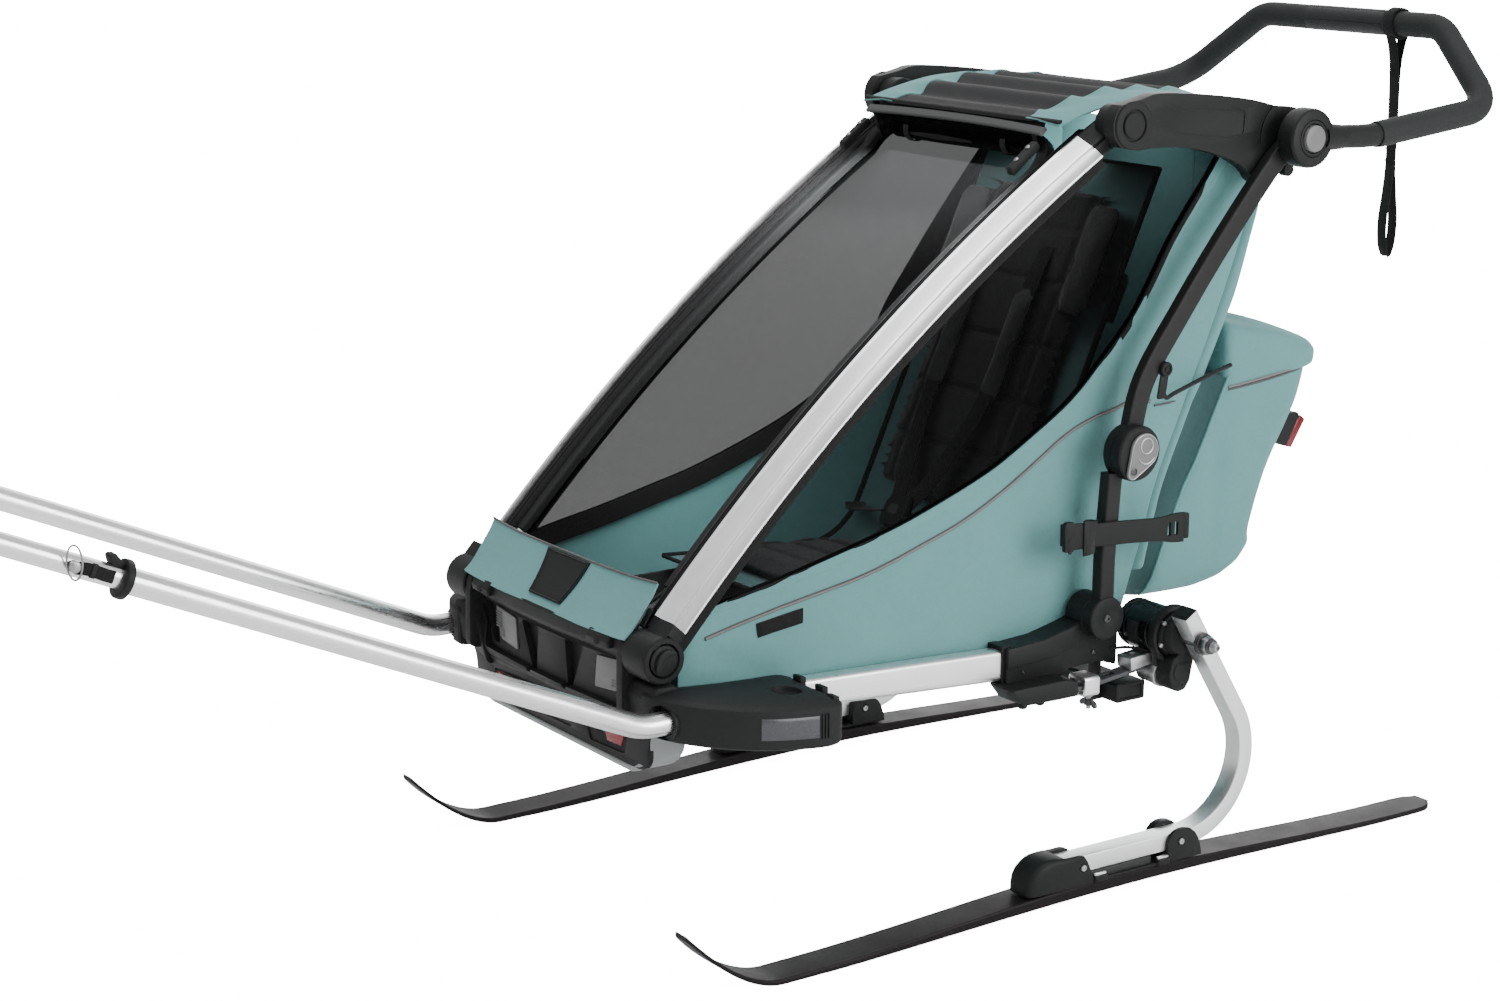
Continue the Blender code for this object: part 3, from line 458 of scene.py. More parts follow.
def coords(nt, kind="Object"):
    return nt.nodes.new("ShaderNodeTexCoord").outputs[kind]


def scaled(c, k):
    return tuple(min(1.0, x * k) for x in c)


def plastic(name, base, rough=0.46, grain=1500.0, depth=0.00006, spec=0.5, wear=0.0):
    """Moulded plastic: fine spark-eroded grain, slow variation of tone and gloss."""
    m, nt, b = shader(name)
    co = coords(nt)
    slow, fine = noise_tex(nt, co, 14.0, 4.0), noise_tex(nt, co, grain, 2.0)
    nt.links.new(tint(nt, slow, scaled(base, 0.88), scaled(base, 1.14)), b.inputs["Base Color"])
    nt.links.new(calc(nt, "ADD", ramp(nt, slow, rough - 0.04, rough + 0.05), ramp(nt, fine, -0.03, 0.03)), b.inputs["Roughness"])
    b.inputs["Specular IOR Level"].default_value = spec
    bump(nt, b, fine, 0.35, depth)
    return m


def metal(name, base, rough=0.34, brush=(1.0, 1.0, 1.0), depth=0.00003, metallic=1.0):
    """Satin anodised or brushed metal; brush stretches the grain along an axis."""
    m, nt, b = shader(name)
    co = coords(nt)
    mp = nt.nodes.new("ShaderNodeMapping")
    mp.inputs["Scale"].default_value = brush
    nt.links.new(co, mp.inputs["Vector"])
    fine, slow = noise_tex(nt, mp.outputs["Vector"], 900.0, 2.0), noise_tex(nt, co, 9.0, 3.0)
    nt.links.new(tint(nt, slow, scaled(base, 0.96), scaled(base, 1.04)), b.inputs["Base Color"])
    nt.links.new(calc(nt, "ADD", ramp(nt, slow, rough - 0.03, rough + 0.03), ramp(nt, fine, -0.05, 0.05)), b.inputs["Roughness"])
    b.inputs["Metallic"].default_value = metallic
    bump(nt, b, fine, 0.25, depth)
    return m


def cloth(name, base, rough=0.86, thread=0.0011, depth=0.00018, sheen=0.25, tone=0.10, slub=0.0):
    """Plain weave: two crossed sets of threads on every orientation, with slow tone variation."""
    m, nt, b = shader(name)
    co = coords(nt)
    k = 2 * math.pi / thread / 2
    sep = nt.nodes.new("ShaderNodeSeparateXYZ")
    nt.links.new(co, sep.inputs[0])
    x, y, z = sep.outputs
    u = calc(nt, "MULTIPLY", calc(nt, "ADD", calc(nt, "ADD", x, y), calc(nt, "MULTIPLY", z, 0.35)), k)
    v = calc(nt, "MULTIPLY", calc(nt, "ADD", calc(nt, "SUBTRACT", z, calc(nt, "MULTIPLY", x, 0.2)), calc(nt, "MULTIPLY", y, -0.35)), k)
    su, sv = calc(nt, "SINE", u), calc(nt, "SINE", v)
    w = calc(nt, "MULTIPLY", su, sv)
    slow, mid = noise_tex(nt, co, 5.0, 3.0), noise_tex(nt, co, 260.0, 2.0)
    t = calc(nt, "ADD", ramp(nt, slow, 0.25, 0.75, 0.3, 0.7), calc(nt, "MULTIPLY", w, 0.16))
    t = calc(nt, "ADD", t, ramp(nt, mid, -0.12 - slub, 0.12 + slub))
    nt.links.new(tint(nt, t, scaled(base, 1.0 - tone), scaled(base, 1.0 + tone)), b.inputs["Base Color"])
    nt.links.new(ramp(nt, mid, rough - 0.05, rough + 0.04), b.inputs["Roughness"])
    b.inputs["Sheen Weight"].default_value = sheen
    b.inputs["Sheen Roughness"].default_value = 0.45
    b.inputs["Specular IOR Level"].default_value = 0.25
    bump(nt, b, calc(nt, "ADD", w, calc(nt, "MULTIPLY", mid, 0.8)), 0.45, depth)
    return m


def film(name, base=(0.0022, 0.0023, 0.0024), clear=0.146, share=0.44, rough=0.30):
    """Tinted clear film: a smoke tint with a thin dark gloss that varies slowly."""
    m, nt, b = shader(name)
    co = coords(nt)
    slow = noise_tex(nt, co, 3.0, 2.0)
    nt.links.new(tint(nt, slow, scaled(base, 0.85), scaled(base, 1.2)), b.inputs["Base Color"])
    nt.links.new(ramp(nt, slow, rough - 0.02, rough + 0.05), b.inputs["Roughness"])
    b.inputs["Specular IOR Level"].default_value = 0.04
    see = nt.nodes.new("ShaderNodeBsdfTransparent")
    nt.links.new(tint(nt, slow, (clear, clear, clear), (clear * 0.985, clear, clear * 1.005)), see.inputs["Color"])
    both = nt.nodes.new("ShaderNodeMixShader")
    both.inputs["Fac"].default_value = share
    nt.links.new(see.outputs[0], both.inputs[1])
    nt.links.new(b.outputs[0], both.inputs[2])
    out = [n for n in nt.nodes if n.type == "OUTPUT_MATERIAL"][0]
    nt.links.new(both.outputs[0], out.inputs["Surface"])
    return m


def mesh_net(name, base=(0.012, 0.012, 0.013), pitch=0.0042, open_share=0.5):
    """Knitted net: round holes on a diamond lattice, cut by transparency."""
    m, nt, b = shader(name)
    co = coords(nt)
    sep = nt.nodes.new("ShaderNodeSeparateXYZ")
    nt.links.new(co, sep.inputs[0])
    x, y, z = sep.outputs
    k = 2 * math.pi / pitch
    along = calc(nt, "ADD", y, calc(nt, "MULTIPLY", x, 1.0))
    u = calc(nt, "SINE", calc(nt, "MULTIPLY", calc(nt, "ADD", along, z), k / 2))
    v = calc(nt, "SINE", calc(nt, "MULTIPLY", calc(nt, "SUBTRACT", along, z), k / 2))
    w = calc(nt, "ABSOLUTE", calc(nt, "MULTIPLY", u, v))
    hole = calc(nt, "GREATER_THAN", w, open_share)
    nt.links.new(calc(nt, "SUBTRACT", 1.0, hole), b.inputs["Alpha"])
    nt.links.new(tint(nt, noise_tex(nt, co, 200.0), scaled(base, 0.7), scaled(base, 1.6)), b.inputs["Base Color"])
    b.inputs["Roughness"].default_value = 0.8
    return m


BLACK = plastic("black_moulding", (0.0105, 0.0112, 0.0116), 0.50, spec=0.22)
BLACK_SOFT = plastic("black_soft_moulding", (0.0130, 0.0138, 0.0142), 0.60, 900.0, 0.00008, 0.22)
BLACK_BROWN = plastic("warm_black_bar", (0.0130, 0.0126, 0.0126), 0.48, spec=0.24)
BLACK_GLOSS = plastic("gloss_black", (0.0050, 0.0056, 0.0060), 0.18, 400.0, 0.00001, 0.34)
GREY_DARK = plastic("dark_grey_moulding", (0.028, 0.030, 0.031), 0.48, spec=0.26)
HEADER_GREY = plastic("header_grey", (0.062, 0.065, 0.066), 0.44, spec=0.3)
GREY_MID = plastic("ring_grey", (0.17, 0.17, 0.17), 0.40)
GREY_HOOP = plastic("hoop_grey", (0.27, 0.285, 0.29), 0.42)
REFLECT_DARK = plastic("reflector_dark", (0.052, 0.055, 0.063), 0.28)
REFLECT_GREY = plastic("reflector_grey", (0.105, 0.106, 0.110), 0.35, 300.0)
RED = plastic("red_lens", (0.20, 0.008, 0.016), 0.16, 350.0)
RUBBER = plastic("handle_rubber", (0.0230, 0.0250, 0.0256), 0.66, 700.0, 0.00012, 0.22)
RUBBER_SMOOTH = plastic("handle_panel", (0.0230, 0.0238, 0.0260), 0.50, 300.0, 0.00008, 0.24)
ALLOY = metal("satin_alloy", (0.93, 0.935, 0.94), 0.34, (1.0, 0.05, 0.05))
ALLOY_TUBE = metal("tube_alloy", (0.92, 0.928, 0.935), 0.27, (1.0, 0.04, 0.04))
ALLOY_ARM = metal("arm_alloy", (0.93, 0.94, 0.94), 0.40, (1.0, 0.6, 0.05))
ALLOY_CAST = metal("cast_alloy", (0.58, 0.585, 0.59), 0.42)
STEEL = metal("turned_steel", (0.36, 0.36, 0.365), 0.32)
SCREW = metal("dark_screw", (0.10, 0.10, 0.105), 0.35)
TEAL = cloth("teal_cloth", (0.138, 0.318, 0.320), sheen=0.08)
TEAL_IN = cloth("teal_lining", (0.072, 0.160, 0.165), 0.92, sheen=0.1)
TEAL_DARK = cloth("teal_gusset", (0.060, 0.128, 0.130), 0.92)
CHARCOAL = cloth("charcoal_cloth", (0.0200, 0.0210, 0.0225), 0.92, 0.0016, 0.0003, 0.12)
TAPE = cloth("black_tape", (0.0080, 0.0080, 0.0085), 0.82, 0.0014, 0.0003, 0.05)
WEBBING = cloth("black_webbing", (0.0095, 0.0095, 0.0095), 0.88, 0.0022, 0.0004, 0.08)
PIPING = cloth("reflective_piping", (0.20, 0.20, 0.20), 0.42, 0.0012, 0.0001, 0.1)
PIPING_DARK = cloth("dark_piping", (0.085, 0.082, 0.083), 0.6, 0.0012, 0.0001, 0.1)
FILM_FRONT = film("front_film", clear=0.238)
# the side windows use the front film made less clear: the tint is the film's own, and the extra darkness over the front
# film is painted shade
SHADED_SIDE_FILM = film("side_film", clear=0.0880)
NET = mesh_net("pocket_net")
LEAF = plastic("leaf_spring_fibre", (0.050, 0.055, 0.060), 0.42, 300.0)
SKI_TOP = plastic("ski_top_sheet", (0.0120, 0.0095, 0.0103), 0.46, 500.0, 0.00003, 0.14)
SKI_SIDE = plastic("ski_side_wall", (0.0085, 0.0060, 0.0068), 0.46, 500.0, spec=0.16)

# ================================================================== stage
CAM = (2.60475, -1.59193 + OY, 1.18080)
cam_data = bpy.data.cameras.new("camera")
cam_data.sensor_width = 36.0
cam_data.lens = 68.67
cam_data.clip_end = 60.0
cam = bpy.data.objects.new("camera", cam_data)
az, el, roll = math.radians(55.827), math.radians(13.397), math.radians(0.02)
right = Vector((math.cos(az), math.sin(az), 0.0))
look = Vector((-math.sin(az) * math.cos(el), math.cos(az) * math.cos(el), -math.sin(el)))
up = right.cross(look)
cam.matrix_world = Matrix.Translation(Vector(CAM)) @ Matrix((right, up, -look)).transposed().to_4x4() @ Matrix.Rotation(roll, 4, "Z")
scene.collection.objects.link(cam)
scene.camera = cam

world = bpy.data.worlds.new("studio")
world.use_nodes = True
wnt = world.node_tree
wbg = wnt.nodes["Background"]
wbg.inputs[1].default_value = 1.0
wco = wnt.nodes.new("ShaderNodeTexCoord")
wsep = wnt.nodes.new("ShaderNodeSeparateXYZ")
wnt.links.new(wco.outputs["Generated"], wsep.inputs[0])
wrange = wnt.nodes.new("ShaderNodeMapRange")
wrange.inputs["From Min"].default_value = -0.05
wrange.inputs["From Max"].default_value = 0.75
wrange.inputs["To Min"].default_value = 0.34
wrange.inputs["To Max"].default_value = 0.80
wnt.links.new(wsep.outputs["Z"], wrange.inputs["Value"])
wcomb = wnt.nodes.new("ShaderNodeCombineXYZ")
for i_ in range(3):
    wnt.links.new(wrange.outputs["Result"], wcomb.inputs[i_])
wnt.links.new(wcomb.outputs[0], wbg.inputs[0])
bright = wnt.nodes.new("ShaderNodeBackground")
bright.inputs[0].default_value = (1.0, 1.0, 1.0, 1.0)
bright.inputs[1].default_value = 17.0
ways, wmix = wnt.nodes.new("ShaderNodeLightPath"), wnt.nodes.new("ShaderNodeMixShader")
wnt.links.new(ways.outputs["Is Camera Ray"], wmix.inputs[0])
wnt.links.new(wbg.outputs[0], wmix.inputs[1])
wnt.links.new(bright.outputs[0], wmix.inputs[2])
wnt.links.new(wmix.outputs[0], wnt.nodes["World Output"].inputs["Surface"])
scene.world = world

floor = mesh_object("floor", [(-40, -40, 0), (40, -40, 0), (40, 40, 0), (-40, 40, 0)], [(0, 1, 2, 3)])
floor_mat, fnt, fb = shader("floor_white")
fb.inputs["Base Color"].default_value = (0.93, 0.93, 0.93, 1)
fb.inputs["Roughness"].default_value = 0.9
fb.inputs["Specular IOR Level"].default_value = 0.1
paper_glow = fnt.nodes.new("ShaderNodeEmission")
paper_glow.inputs["Strength"].default_value = 14.0
paper_diff = fnt.nodes.new("ShaderNodeBsdfDiffuse")
paper_diff.inputs["Color"].default_value = (4.6, 4.6, 4.6, 1)
paper = fnt.nodes.new("ShaderNodeAddShader")
fnt.links.new(paper_glow.outputs[0], paper.inputs[0])
fnt.links.new(paper_diff.outputs[0], paper.inputs[1])
fways, fmix = fnt.nodes.new("ShaderNodeLightPath"), fnt.nodes.new("ShaderNodeMixShader")
fnt.links.new(fways.outputs["Is Camera Ray"], fmix.inputs[0])
fnt.links.new(fb.outputs[0], fmix.inputs[1])
fnt.links.new(paper.outputs[0], fmix.inputs[2])
fnt.links.new(fmix.outputs[0], fnt.nodes["Material Output"].inputs["Surface"])
floor.data.materials.append(floor_mat)


def area(name, loc, target, size, power, size_y=None):
    L = bpy.data.lights.new(name, "AREA")
    L.shape = "RECTANGLE"
    L.size, L.size_y, L.energy = size, size_y or size, power
    o = bpy.data.objects.new(name, L)
    d = Vector(target) - Vector(loc)
    o.matrix_world = Matrix.Translation(Vector(loc)) @ d.to_track_quat("-Z", "Y").to_matrix().to_4x4()
    scene.collection.objects.link(o)
    return o


area("key", (3.7, 2.0, 1.6), (0.0, 0.5, 0.4), 2.4, 118.0)
area("top", (-0.6, 0.4, 4.4), (0.0, 0.5, 0.4), 3.0, 92.0)
area("front", (0.2, -4.4, 2.0), (0.0, 0.3, 0.4), 2.2, 25.0)
area("behind", (-3.4, 4.2, 2.2), (0.0, 0.4, 0.5), 3.6, 120.0)


# ================================================================== shared curves
def circle_through(p0, p1, p2, n):
    (x1, y1), (x2, y2), (x3, y3) = p0, p1, p2
    d = 2 * (x1 * (y2 - y3) + x2 * (y3 - y1) + x3 * (y1 - y2))
    ux = ((x1**2 + y1**2) * (y2 - y3) + (x2**2 + y2**2) * (y3 - y1) + (x3**2 + y3**2) * (y1 - y2)) / d
    uy = ((x1**2 + y1**2) * (x3 - x2) + (x2**2 + y2**2) * (x1 - x3) + (x3**2 + y3**2) * (x2 - x1)) / d
    r = math.hypot(x1 - ux, y1 - uy)
    a0, a1 = math.atan2(y1 - uy, x1 - ux), math.atan2(y3 - uy, x3 - ux)
    return [(ux + r * math.cos(a0 + (a1 - a0) * k / n), uy + r * math.sin(a0 + (a1 - a0) * k / n)) for k in range(n + 1)]


ARCH = circle_through((-0.064, 0.375), (0.225, 0.648), (0.491, 0.837), 40)      # the pillar's top outer edge


def shifted(line, d):
    out = []
    for i, (y, z) in enumerate(line):
        y0, z0 = line[max(i - 1, 0)]
        y1, z1 = line[min(i + 1, len(line) - 1)]
        n = math.hypot(y1 - y0, z1 - z0)
        out.append((y - (z1 - z0) / n * d, z + (y1 - y0) / n * d))
    return out


def extended(line, start, end):
    """The line continued straight at both ends."""
    p = [np.array(q, float) for q in line]
    a = (p[0] - p[1]) / np.linalg.norm(p[0] - p[1])
    b = (p[-1] - p[-2]) / np.linalg.norm(p[-1] - p[-2])
    out = [tuple(q) for q in p]
    if start > 0:
        out = [tuple(p[0] + a * start)] + out
    if end > 0:
        out = out + [tuple(p[-1] + b * end)]
    return out


def yz(line, x):
    return [(x, q[0], q[1]) for q in line]


MID = shifted(ARCH, -0.0115)
PX = 0.1965
# ================================================================== aluminium pillars
prof = [(0.0160, -0.0095), (0.0158, -0.0078), (0.0148, -0.0066), (0.0084, 0.0000), (0.0078, 0.0002), (0.0070, -0.0004), (0.0064, -0.0004), (0.0060, 0.0006), (0.0062, 0.0018), (0.0054, 0.0030), (0.0044, 0.0032), (0.0020, 0.0046)]
prof += [(-0.0040, 0.0088), (-0.0100, 0.0130), (-0.0124, 0.0147), (-0.0142, 0.0150), (-0.0156, 0.0144), (-0.0160, 0.0130)]
prof += [(-0.0160, -0.0085), (-0.0150, -0.0107), (-0.0130, -0.0115), (0.0130, -0.0115), (0.0151, -0.0110)]
pillar = dress(sweep("pillar", yz(MID, PX), prof), ALLOY, 30)
pair(pillar, "pillar_extrusion", "front_frame", "pillar")

# zipper tape and its two ridges along the inner side of each pillar
tape_prof = [(0.0000, 0.0040), (0.0000, 0.0085), (-0.0040, 0.0100), (-0.0052, 0.0086), (-0.0066, 0.0086), (-0.0080, 0.0102), (-0.0100, 0.0102), (-0.0112, 0.0086),
             (-0.0126, 0.0086), (-0.0140, 0.0100), (-0.0168, 0.0092), (-0.0200, 0.0060), (-0.0200, 0.0040)]
tape = dress(sweep("tape", yz(extended(MID, 0.012, 0.018), 0.1806), tape_prof), TAPE, 50)
pair(tape, "zipper_tape", "front_frame")

# the side window's black edge, along the lower outer edge of each pillar
edge_prof = [(0.0010, -0.0118), (0.0010, -0.0225), (0.0000, -0.0240), (-0.0020, -0.0240), (-0.0050, -0.0232), (-0.0050, -0.0118)]
edge = dress(sweep("edge", yz(extended(MID, 0.016, 0.0), 0.2080), edge_prof), TAPE, 50)
pair(edge, "side_window_edge", "front_frame")

# inner frame tube: up one pillar, across the top, down the other
inner = shifted(ARCH, -0.0145)
tube_line = [(0.1560, q[0], q[1]) for q in inner[2:38]]
top_pt = (0.1560, 0.4800, 0.8270)
corner = fillet([tube_line[-1], top_pt, (0.0, 0.4800, 0.8400)], [0.030], 8)[1:-1]
path = tube_line + [tuple(p) for p in corner]
path = path + [(-x, y, z) for x, y, z in path[::-1]]
path = [tuple(p) for p in evenly(path, 150)]
hoop_tube = dress(sweep("frame_tube", path, rounded(0.0170, 0.0150, 0.0026, 4), side=(0, 0.8, -0.6)), BLACK_SOFT, 40)
put(hoop_tube, "front_frame_tube", "front_frame", "header_bar")

# ================================================================== cabin sides
W_KEYS = [(-0.0177, 0.3752), (0.0327, 0.3859), (0.0969, 0.3981), (0.1624, 0.4129), (0.2294, 0.4290), (0.2976, 0.4512), (0.3672, 0.4784), (0.4236, 0.5090), (0.4808, 0.5447),
          (0.5237, 0.5837), (0.5668, 0.6276), (0.5953, 0.6687), (0.6236, 0.7145), (0.6524, 0.7523), (0.6750, 0.7800), (0.6960, 0.8080), (0.7150, 0.8330)]
E_KEYS = [(-0.0460, 0.3520), (-0.0420, 0.2720), (0.0300, 0.2625), (0.1100, 0.2605), (0.1900, 0.2560), (0.2700, 0.2515), (0.3500, 0.2470), (0.4300, 0.2445), (0.5000, 0.2445),
          (0.5480, 0.2620), (0.5820, 0.3450), (0.6090, 0.4320), (0.6466, 0.5134), (0.6800, 0.5870), (0.7120, 0.6640), (0.7400, 0.7400), (0.7560, 0.8120)]
PIPE = [(-0.0178, 0.3481), (0.0327, 0.3575), (0.0840, 0.3670), (0.1429, 0.3768), (0.2029, 0.3880), (0.2639, 0.4061), (0.3261, 0.4269), (0.3821, 0.4536),
        (0.4388, 0.4865), (0.4675, 0.5037), (0.5038, 0.5190), (0.5632, 0.5331), (0.6014, 0.5310), (0.6477, 0.5280)]
SQ = (0.27, 0.42)
SQB = (0.30, 0.80)                                                    # meant as where the soft cabin crumples to and how much of it is left; put only gives pieces passed these their own mesh


def keyed(keys, per):
    """Points on a Catmull-Rom curve, the same number between each pair of keys."""
    p = [np.array(q, float) for q in keys]
    ext = [2 * p[0] - p[1]] + p + [2 * p[-1] - p[-2]]
    out = []
    for i in range(len(p) - 1):
        a, b, c, d = ext[i : i + 4]
        for k in range(per):
            t = k / per
            out.append(0.5 * ((2 * b) + (c - a) * t + (2 * a - 5 * b + 4 * c - d) * t * t + (3 * b - a - 3 * c + d) * t ** 3))
    return out + [p[-1]]


def step(x, a, b):
    t = min(1.0, max(0.0, (x - a) / (b - a)))
    return t * t * (3 - 2 * t)


def panel_x(y, z, s, t):
    """How far out the side fabric stands, s across from the window to the hem, t along."""
    lower = 1.0 - step(t, 0.52, 0.68)
    x = 0.1930 + 0.0068 * math.sin(math.pi * min(1.0, s * 0.92 + 0.04)) * (0.35 + 0.65 * lower) + 0.0020 * s
    x += 0.0011 * noise.noise(Vector((y * 9.0, z * 9.0, 3.1))) + 0.0006 * noise.noise(Vector((y * 31.0, z * 12.0, 7.7)))
    pull = math.exp(-((y - 0.545) / 0.028) ** 2) * step(z, 0.30, 0.36) * (1 - step(z, 0.62, 0.72))
    x += 0.0022 * pull * math.sin((y - 0.50) * 120.0 + z * 6.0)
    x += 0.0009 * math.exp(-((y - 0.02) / 0.05) ** 2) * math.sin(z * 150.0 + y * 60.0) * step(s, 0.1, 0.4)
    return min(x, 0.2008)


PER = 9
Wc, Ec = keyed(W_KEYS, PER), keyed(E_KEYS, PER)
S_ROWS = [0.0, 0.008, 0.03, 0.055, 0.07, 0.085, 0.10, 0.13] + [0.13 + 0.87 * k / 30 for k in range(1, 31)]
rows = []
for s in S_ROWS:
    r = []
    for i, (w, e) in enumerate(zip(Wc, Ec)):
        t = i / (len(Wc) - 1)
        q = w * (1 - s) + e * s
        x = panel_x(q[0], q[1], s, t)
        d = s * float(np.linalg.norm(e - w))
        x += 0.0010 * (1 - step(d, 0.011, 0.0135)) - 0.0008 * math.exp(-((d - 0.0128) / 0.0012) ** 2)
        r.append((x, q[0], q[1]))
    rows.append(r)
panel = grid("side_panel", rows, 0.0016)
m = panel.modifiers.new("sub", "SUBSURF")
m.levels = m.render_levels = 1
bake(panel)
dress(panel, TEAL, 60)


def on_panel(y, z, lift=0.0):
    """x of the side fabric at (y, z)."""
    best = min(range(len(Wc)), key=lambda i: abs(float(np.cross(Ec[i] - Wc[i], np.array((y, z)) - Wc[i])) / float(np.linalg.norm(Ec[i] - Wc[i]))) +
               (0.0 if -0.05 < float((np.array((y, z)) - Wc[i]) @ (Ec[i] - Wc[i])) / float((Ec[i] - Wc[i]) @ (Ec[i] - Wc[i])) < 1.05 else 1.0))
    w, e = Wc[best], Ec[best]
    s = float((np.array((y, z)) - w) @ (e - w)) / float((e - w) @ (e - w))
    return panel_x(y, z, s, best / (len(Wc) - 1)) + lift


# corner pleats: two long soft folds down the rear edge
sil = [(0.6000, 0.3300), (0.6115, 0.3908), (0.6297, 0.4351), (0.6595, 0.5007), (0.6847, 0.5350), (0.7018, 0.5673), (0.7247, 0.6148), (0.7400, 0.6469), (0.7570, 0.7036), (0.7626, 0.7363), (0.7650, 0.7900), (0.7600, 0.8260)]
fold = [(0.5790, 0.3300), (0.5940, 0.3908), (0.6080, 0.4351), (0.6380, 0.5007), (0.6530, 0.5350), (0.6660, 0.5673), (0.6900, 0.6148), (0.7040, 0.6469), (0.7270, 0.7036), (0.7390, 0.7363), (0.7500, 0.7900), (0.7530, 0.8260)]
silc, foldc = keyed(sil, 8), keyed(fold, 8)
loops = []
for k, (a, f) in enumerate(zip(silc, foldc)):
    t = k / (len(silc) - 1)
    d = a - f
    n = float(np.linalg.norm(d))
    d = d / n
    wob = 0.0012 * noise.noise(Vector((0.3, t * 7.0, 1.0)))
    lobe = []
    # section from the seam at the panel, over the groove, round the fold and in behind
    for u, x in ((-0.0160, 0.1956), (-0.0120, 0.1972 + wob), (-0.0070, 0.1966), (-0.0030, 0.1925), (0.0, 0.1880), (0.0030, 0.1902), (0.0075, 0.1955 + wob), (0.0130, 0.1975 + wob),
                 (max(0.0165, n * 0.55), 0.1962), (max(0.0205, n * 0.78), 0.1915), (max(0.0235, n * 0.94), 0.1835), (max(0.0245, n), 0.1740), (max(0.0235, n * 0.96), 0.1650), (max(0.0200, n * 0.86), 0.1600),
                 (0.0120, 0.1640), (0.0060, 0.1720), (0.0, 0.1790), (-0.0080, 0.1840), (-0.0160, 0.1880)):
        q = f + d * u
        lobe.append((x, q[0], q[1]))
    loops.append(lobe)
pleat = loft("pleat", loops)
m = pleat.modifiers.new("sub", "SUBSURF")
m.levels = m.render_levels = 1
bake(pleat)
dress(pleat, TEAL, 70)

# piping along the side, a flat reflective cord with a dark line each side
pipe_line = [(on_panel(y, z, 0.0026), y, z) for y, z in keyed(PIPE, 8)]
pipe_line = [p for p in pipe_line if p[1] < 0.600] 
pipe = dress(sweep("pipe", pipe_line, rounded(0.0022, 0.0026, 0.0010, 2), side=(0, 0, 1)), PIPING, 60)
pipe_dark = dress(sweep("pipe_dark", [(x - 0.0007, y, z) for x, y, z in pipe_line], rounded(0.0046, 0.0018, 0.0008, 2), side=(0, 0, 1)), PIPING_DARK, 60)
short = [(0.1993 - 0.0055 * abs(k - 4) / 4 * (k > 4), 0.6030 + 0.0055 * k, 0.5254 + 0.0002 * k) for k in range(9)]
pipe2 = dress(sweep("pipe2", short, rounded(0.0022, 0.0024, 0.0010, 2), side=(0, 0, 1)), PIPING_DARK, 60)
# stitching beside the window
stitch = []
for off in (0.0085, 0.0150):
    line = []
    for i in range(4, len(Wc) - 12):
        w, e = Wc[i], Ec[i]
        u = (e - w) / float(np.linalg.norm(e - w))
        t = (Wc[i + 1] - Wc[i - 1])
        nrm = np.array((t[1], -t[0])) / float(np.linalg.norm(t))
        q = w + nrm * off
        line.append((on_panel(q[0], q[1], 0.0009 if off < 0.012 else 0.0002), q[0], q[1]))
    stitch.append(dress(sweep("stitch", line, rounded(0.0008, 0.0010, 0.0003, 1), side=(0, 0, 1)), TEAL_IN, 60))
side = join("side", panel, pleat, pipe, pipe_dark, pipe2, *stitch)
pair(side, "cabin_side_fabric", "chassis", "cabin_side", squash=SQ)

# side window film and the black binding on its edge
bind_line = [(0.1946, q[0], q[1]) for q in Wc]
bind_line = bind_line[: len(bind_line) - 4]
binding = dress(sweep("binding", bind_line, rounded(0.0060, 0.0030, 0.0010, 2, -0.0026, 0.0), side=(0, 0, 1)), TAPE, 50)
P_KEYS = [(-0.0640, 0.3620)] + [tuple(q) for q in evenly(shifted(ARCH, -0.0180), 12)] + [(0.5300, 0.8430), (0.6000, 0.8400), (0.6800, 0.8380), (0.7150, 0.8333)]
Pc = evenly(keyed(P_KEYS, 8), len(Wc) - 1)
rows = []
for k in range(15):
    s = k / 14
    rows.append([(0.1922 - 0.0035 * math.sin(math.pi * s) + 0.0012 * noise.noise(Vector((w[0] * 6, w[1] * 6, s * 3))), w[0] * (1 - s) + p[0] * s, w[1] * (1 - s) + p[1] * s) for w, p in zip(Wc, Pc)])
# side film: its extra darkness over the front film is painted shade
film_s = dress(grid("film_s", rows), SHADED_SIDE_FILM, 60)
bind_in = dress(sweep("binding_in", [(0.1872, y, z) for _, y, z in bind_line], rounded(0.0016, 0.0240, 0.0006, 2, 0.0, -0.0110), side=(1, 0, 0)), TAPE, 50)
window = join("window", film_s, binding, bind_in)
pair(window, "side_window_film", "chassis", squash=SQ)

# ================================================================== front window, band, zips, header
FILM_D = -0.0150
lower_end = [(-0.0930, 0.3560), (-0.0800, 0.3690)]
fline = [tuple(q) for q in evenly(lower_end + shifted(ARCH, FILM_D)[2:39] + [(0.4560, 0.8395), (0.4690, 0.8500)], 48)]
rows = []
for k, (y, z) in enumerate(fline):
    t = k / 48
    row = []
    for i in range(25):
        u = -1 + 2 * i / 24
        d = 0.0022 * math.sin(math.pi * t) * (1 - u * u) - 0.0016 * noise.noise(Vector((u * 1.3, t * 3.0, 0.4)))
        row.append((0.1490 * u, y + 0.7 * d, z - 0.7 * d))
    rows.append(row)
film_f = dress(grid("film_f", rows), FILM_FRONT, 60)
edges = []
for sx in (1, -1):
    edges.append(dress(sweep("seam", [(sx * 0.1475, y + 0.0008, z - 0.0008) for y, z in fline], rounded(0.0060, 0.0026, 0.0010, 2)), TAPE, 50))
top_hem = dress(sweep("hem", [(x, fline[-1][0], fline[-1][1]) for x in (-0.1490, -0.05, 0.05, 0.1490)], rounded(0.0120, 0.0030, 0.0012, 2), side=(0, 1, 1)), TAPE, 50)
front_win = join("front_win", film_f, top_hem, *edges)
put(front_win, "front_window_film", "front_frame", "front_window")

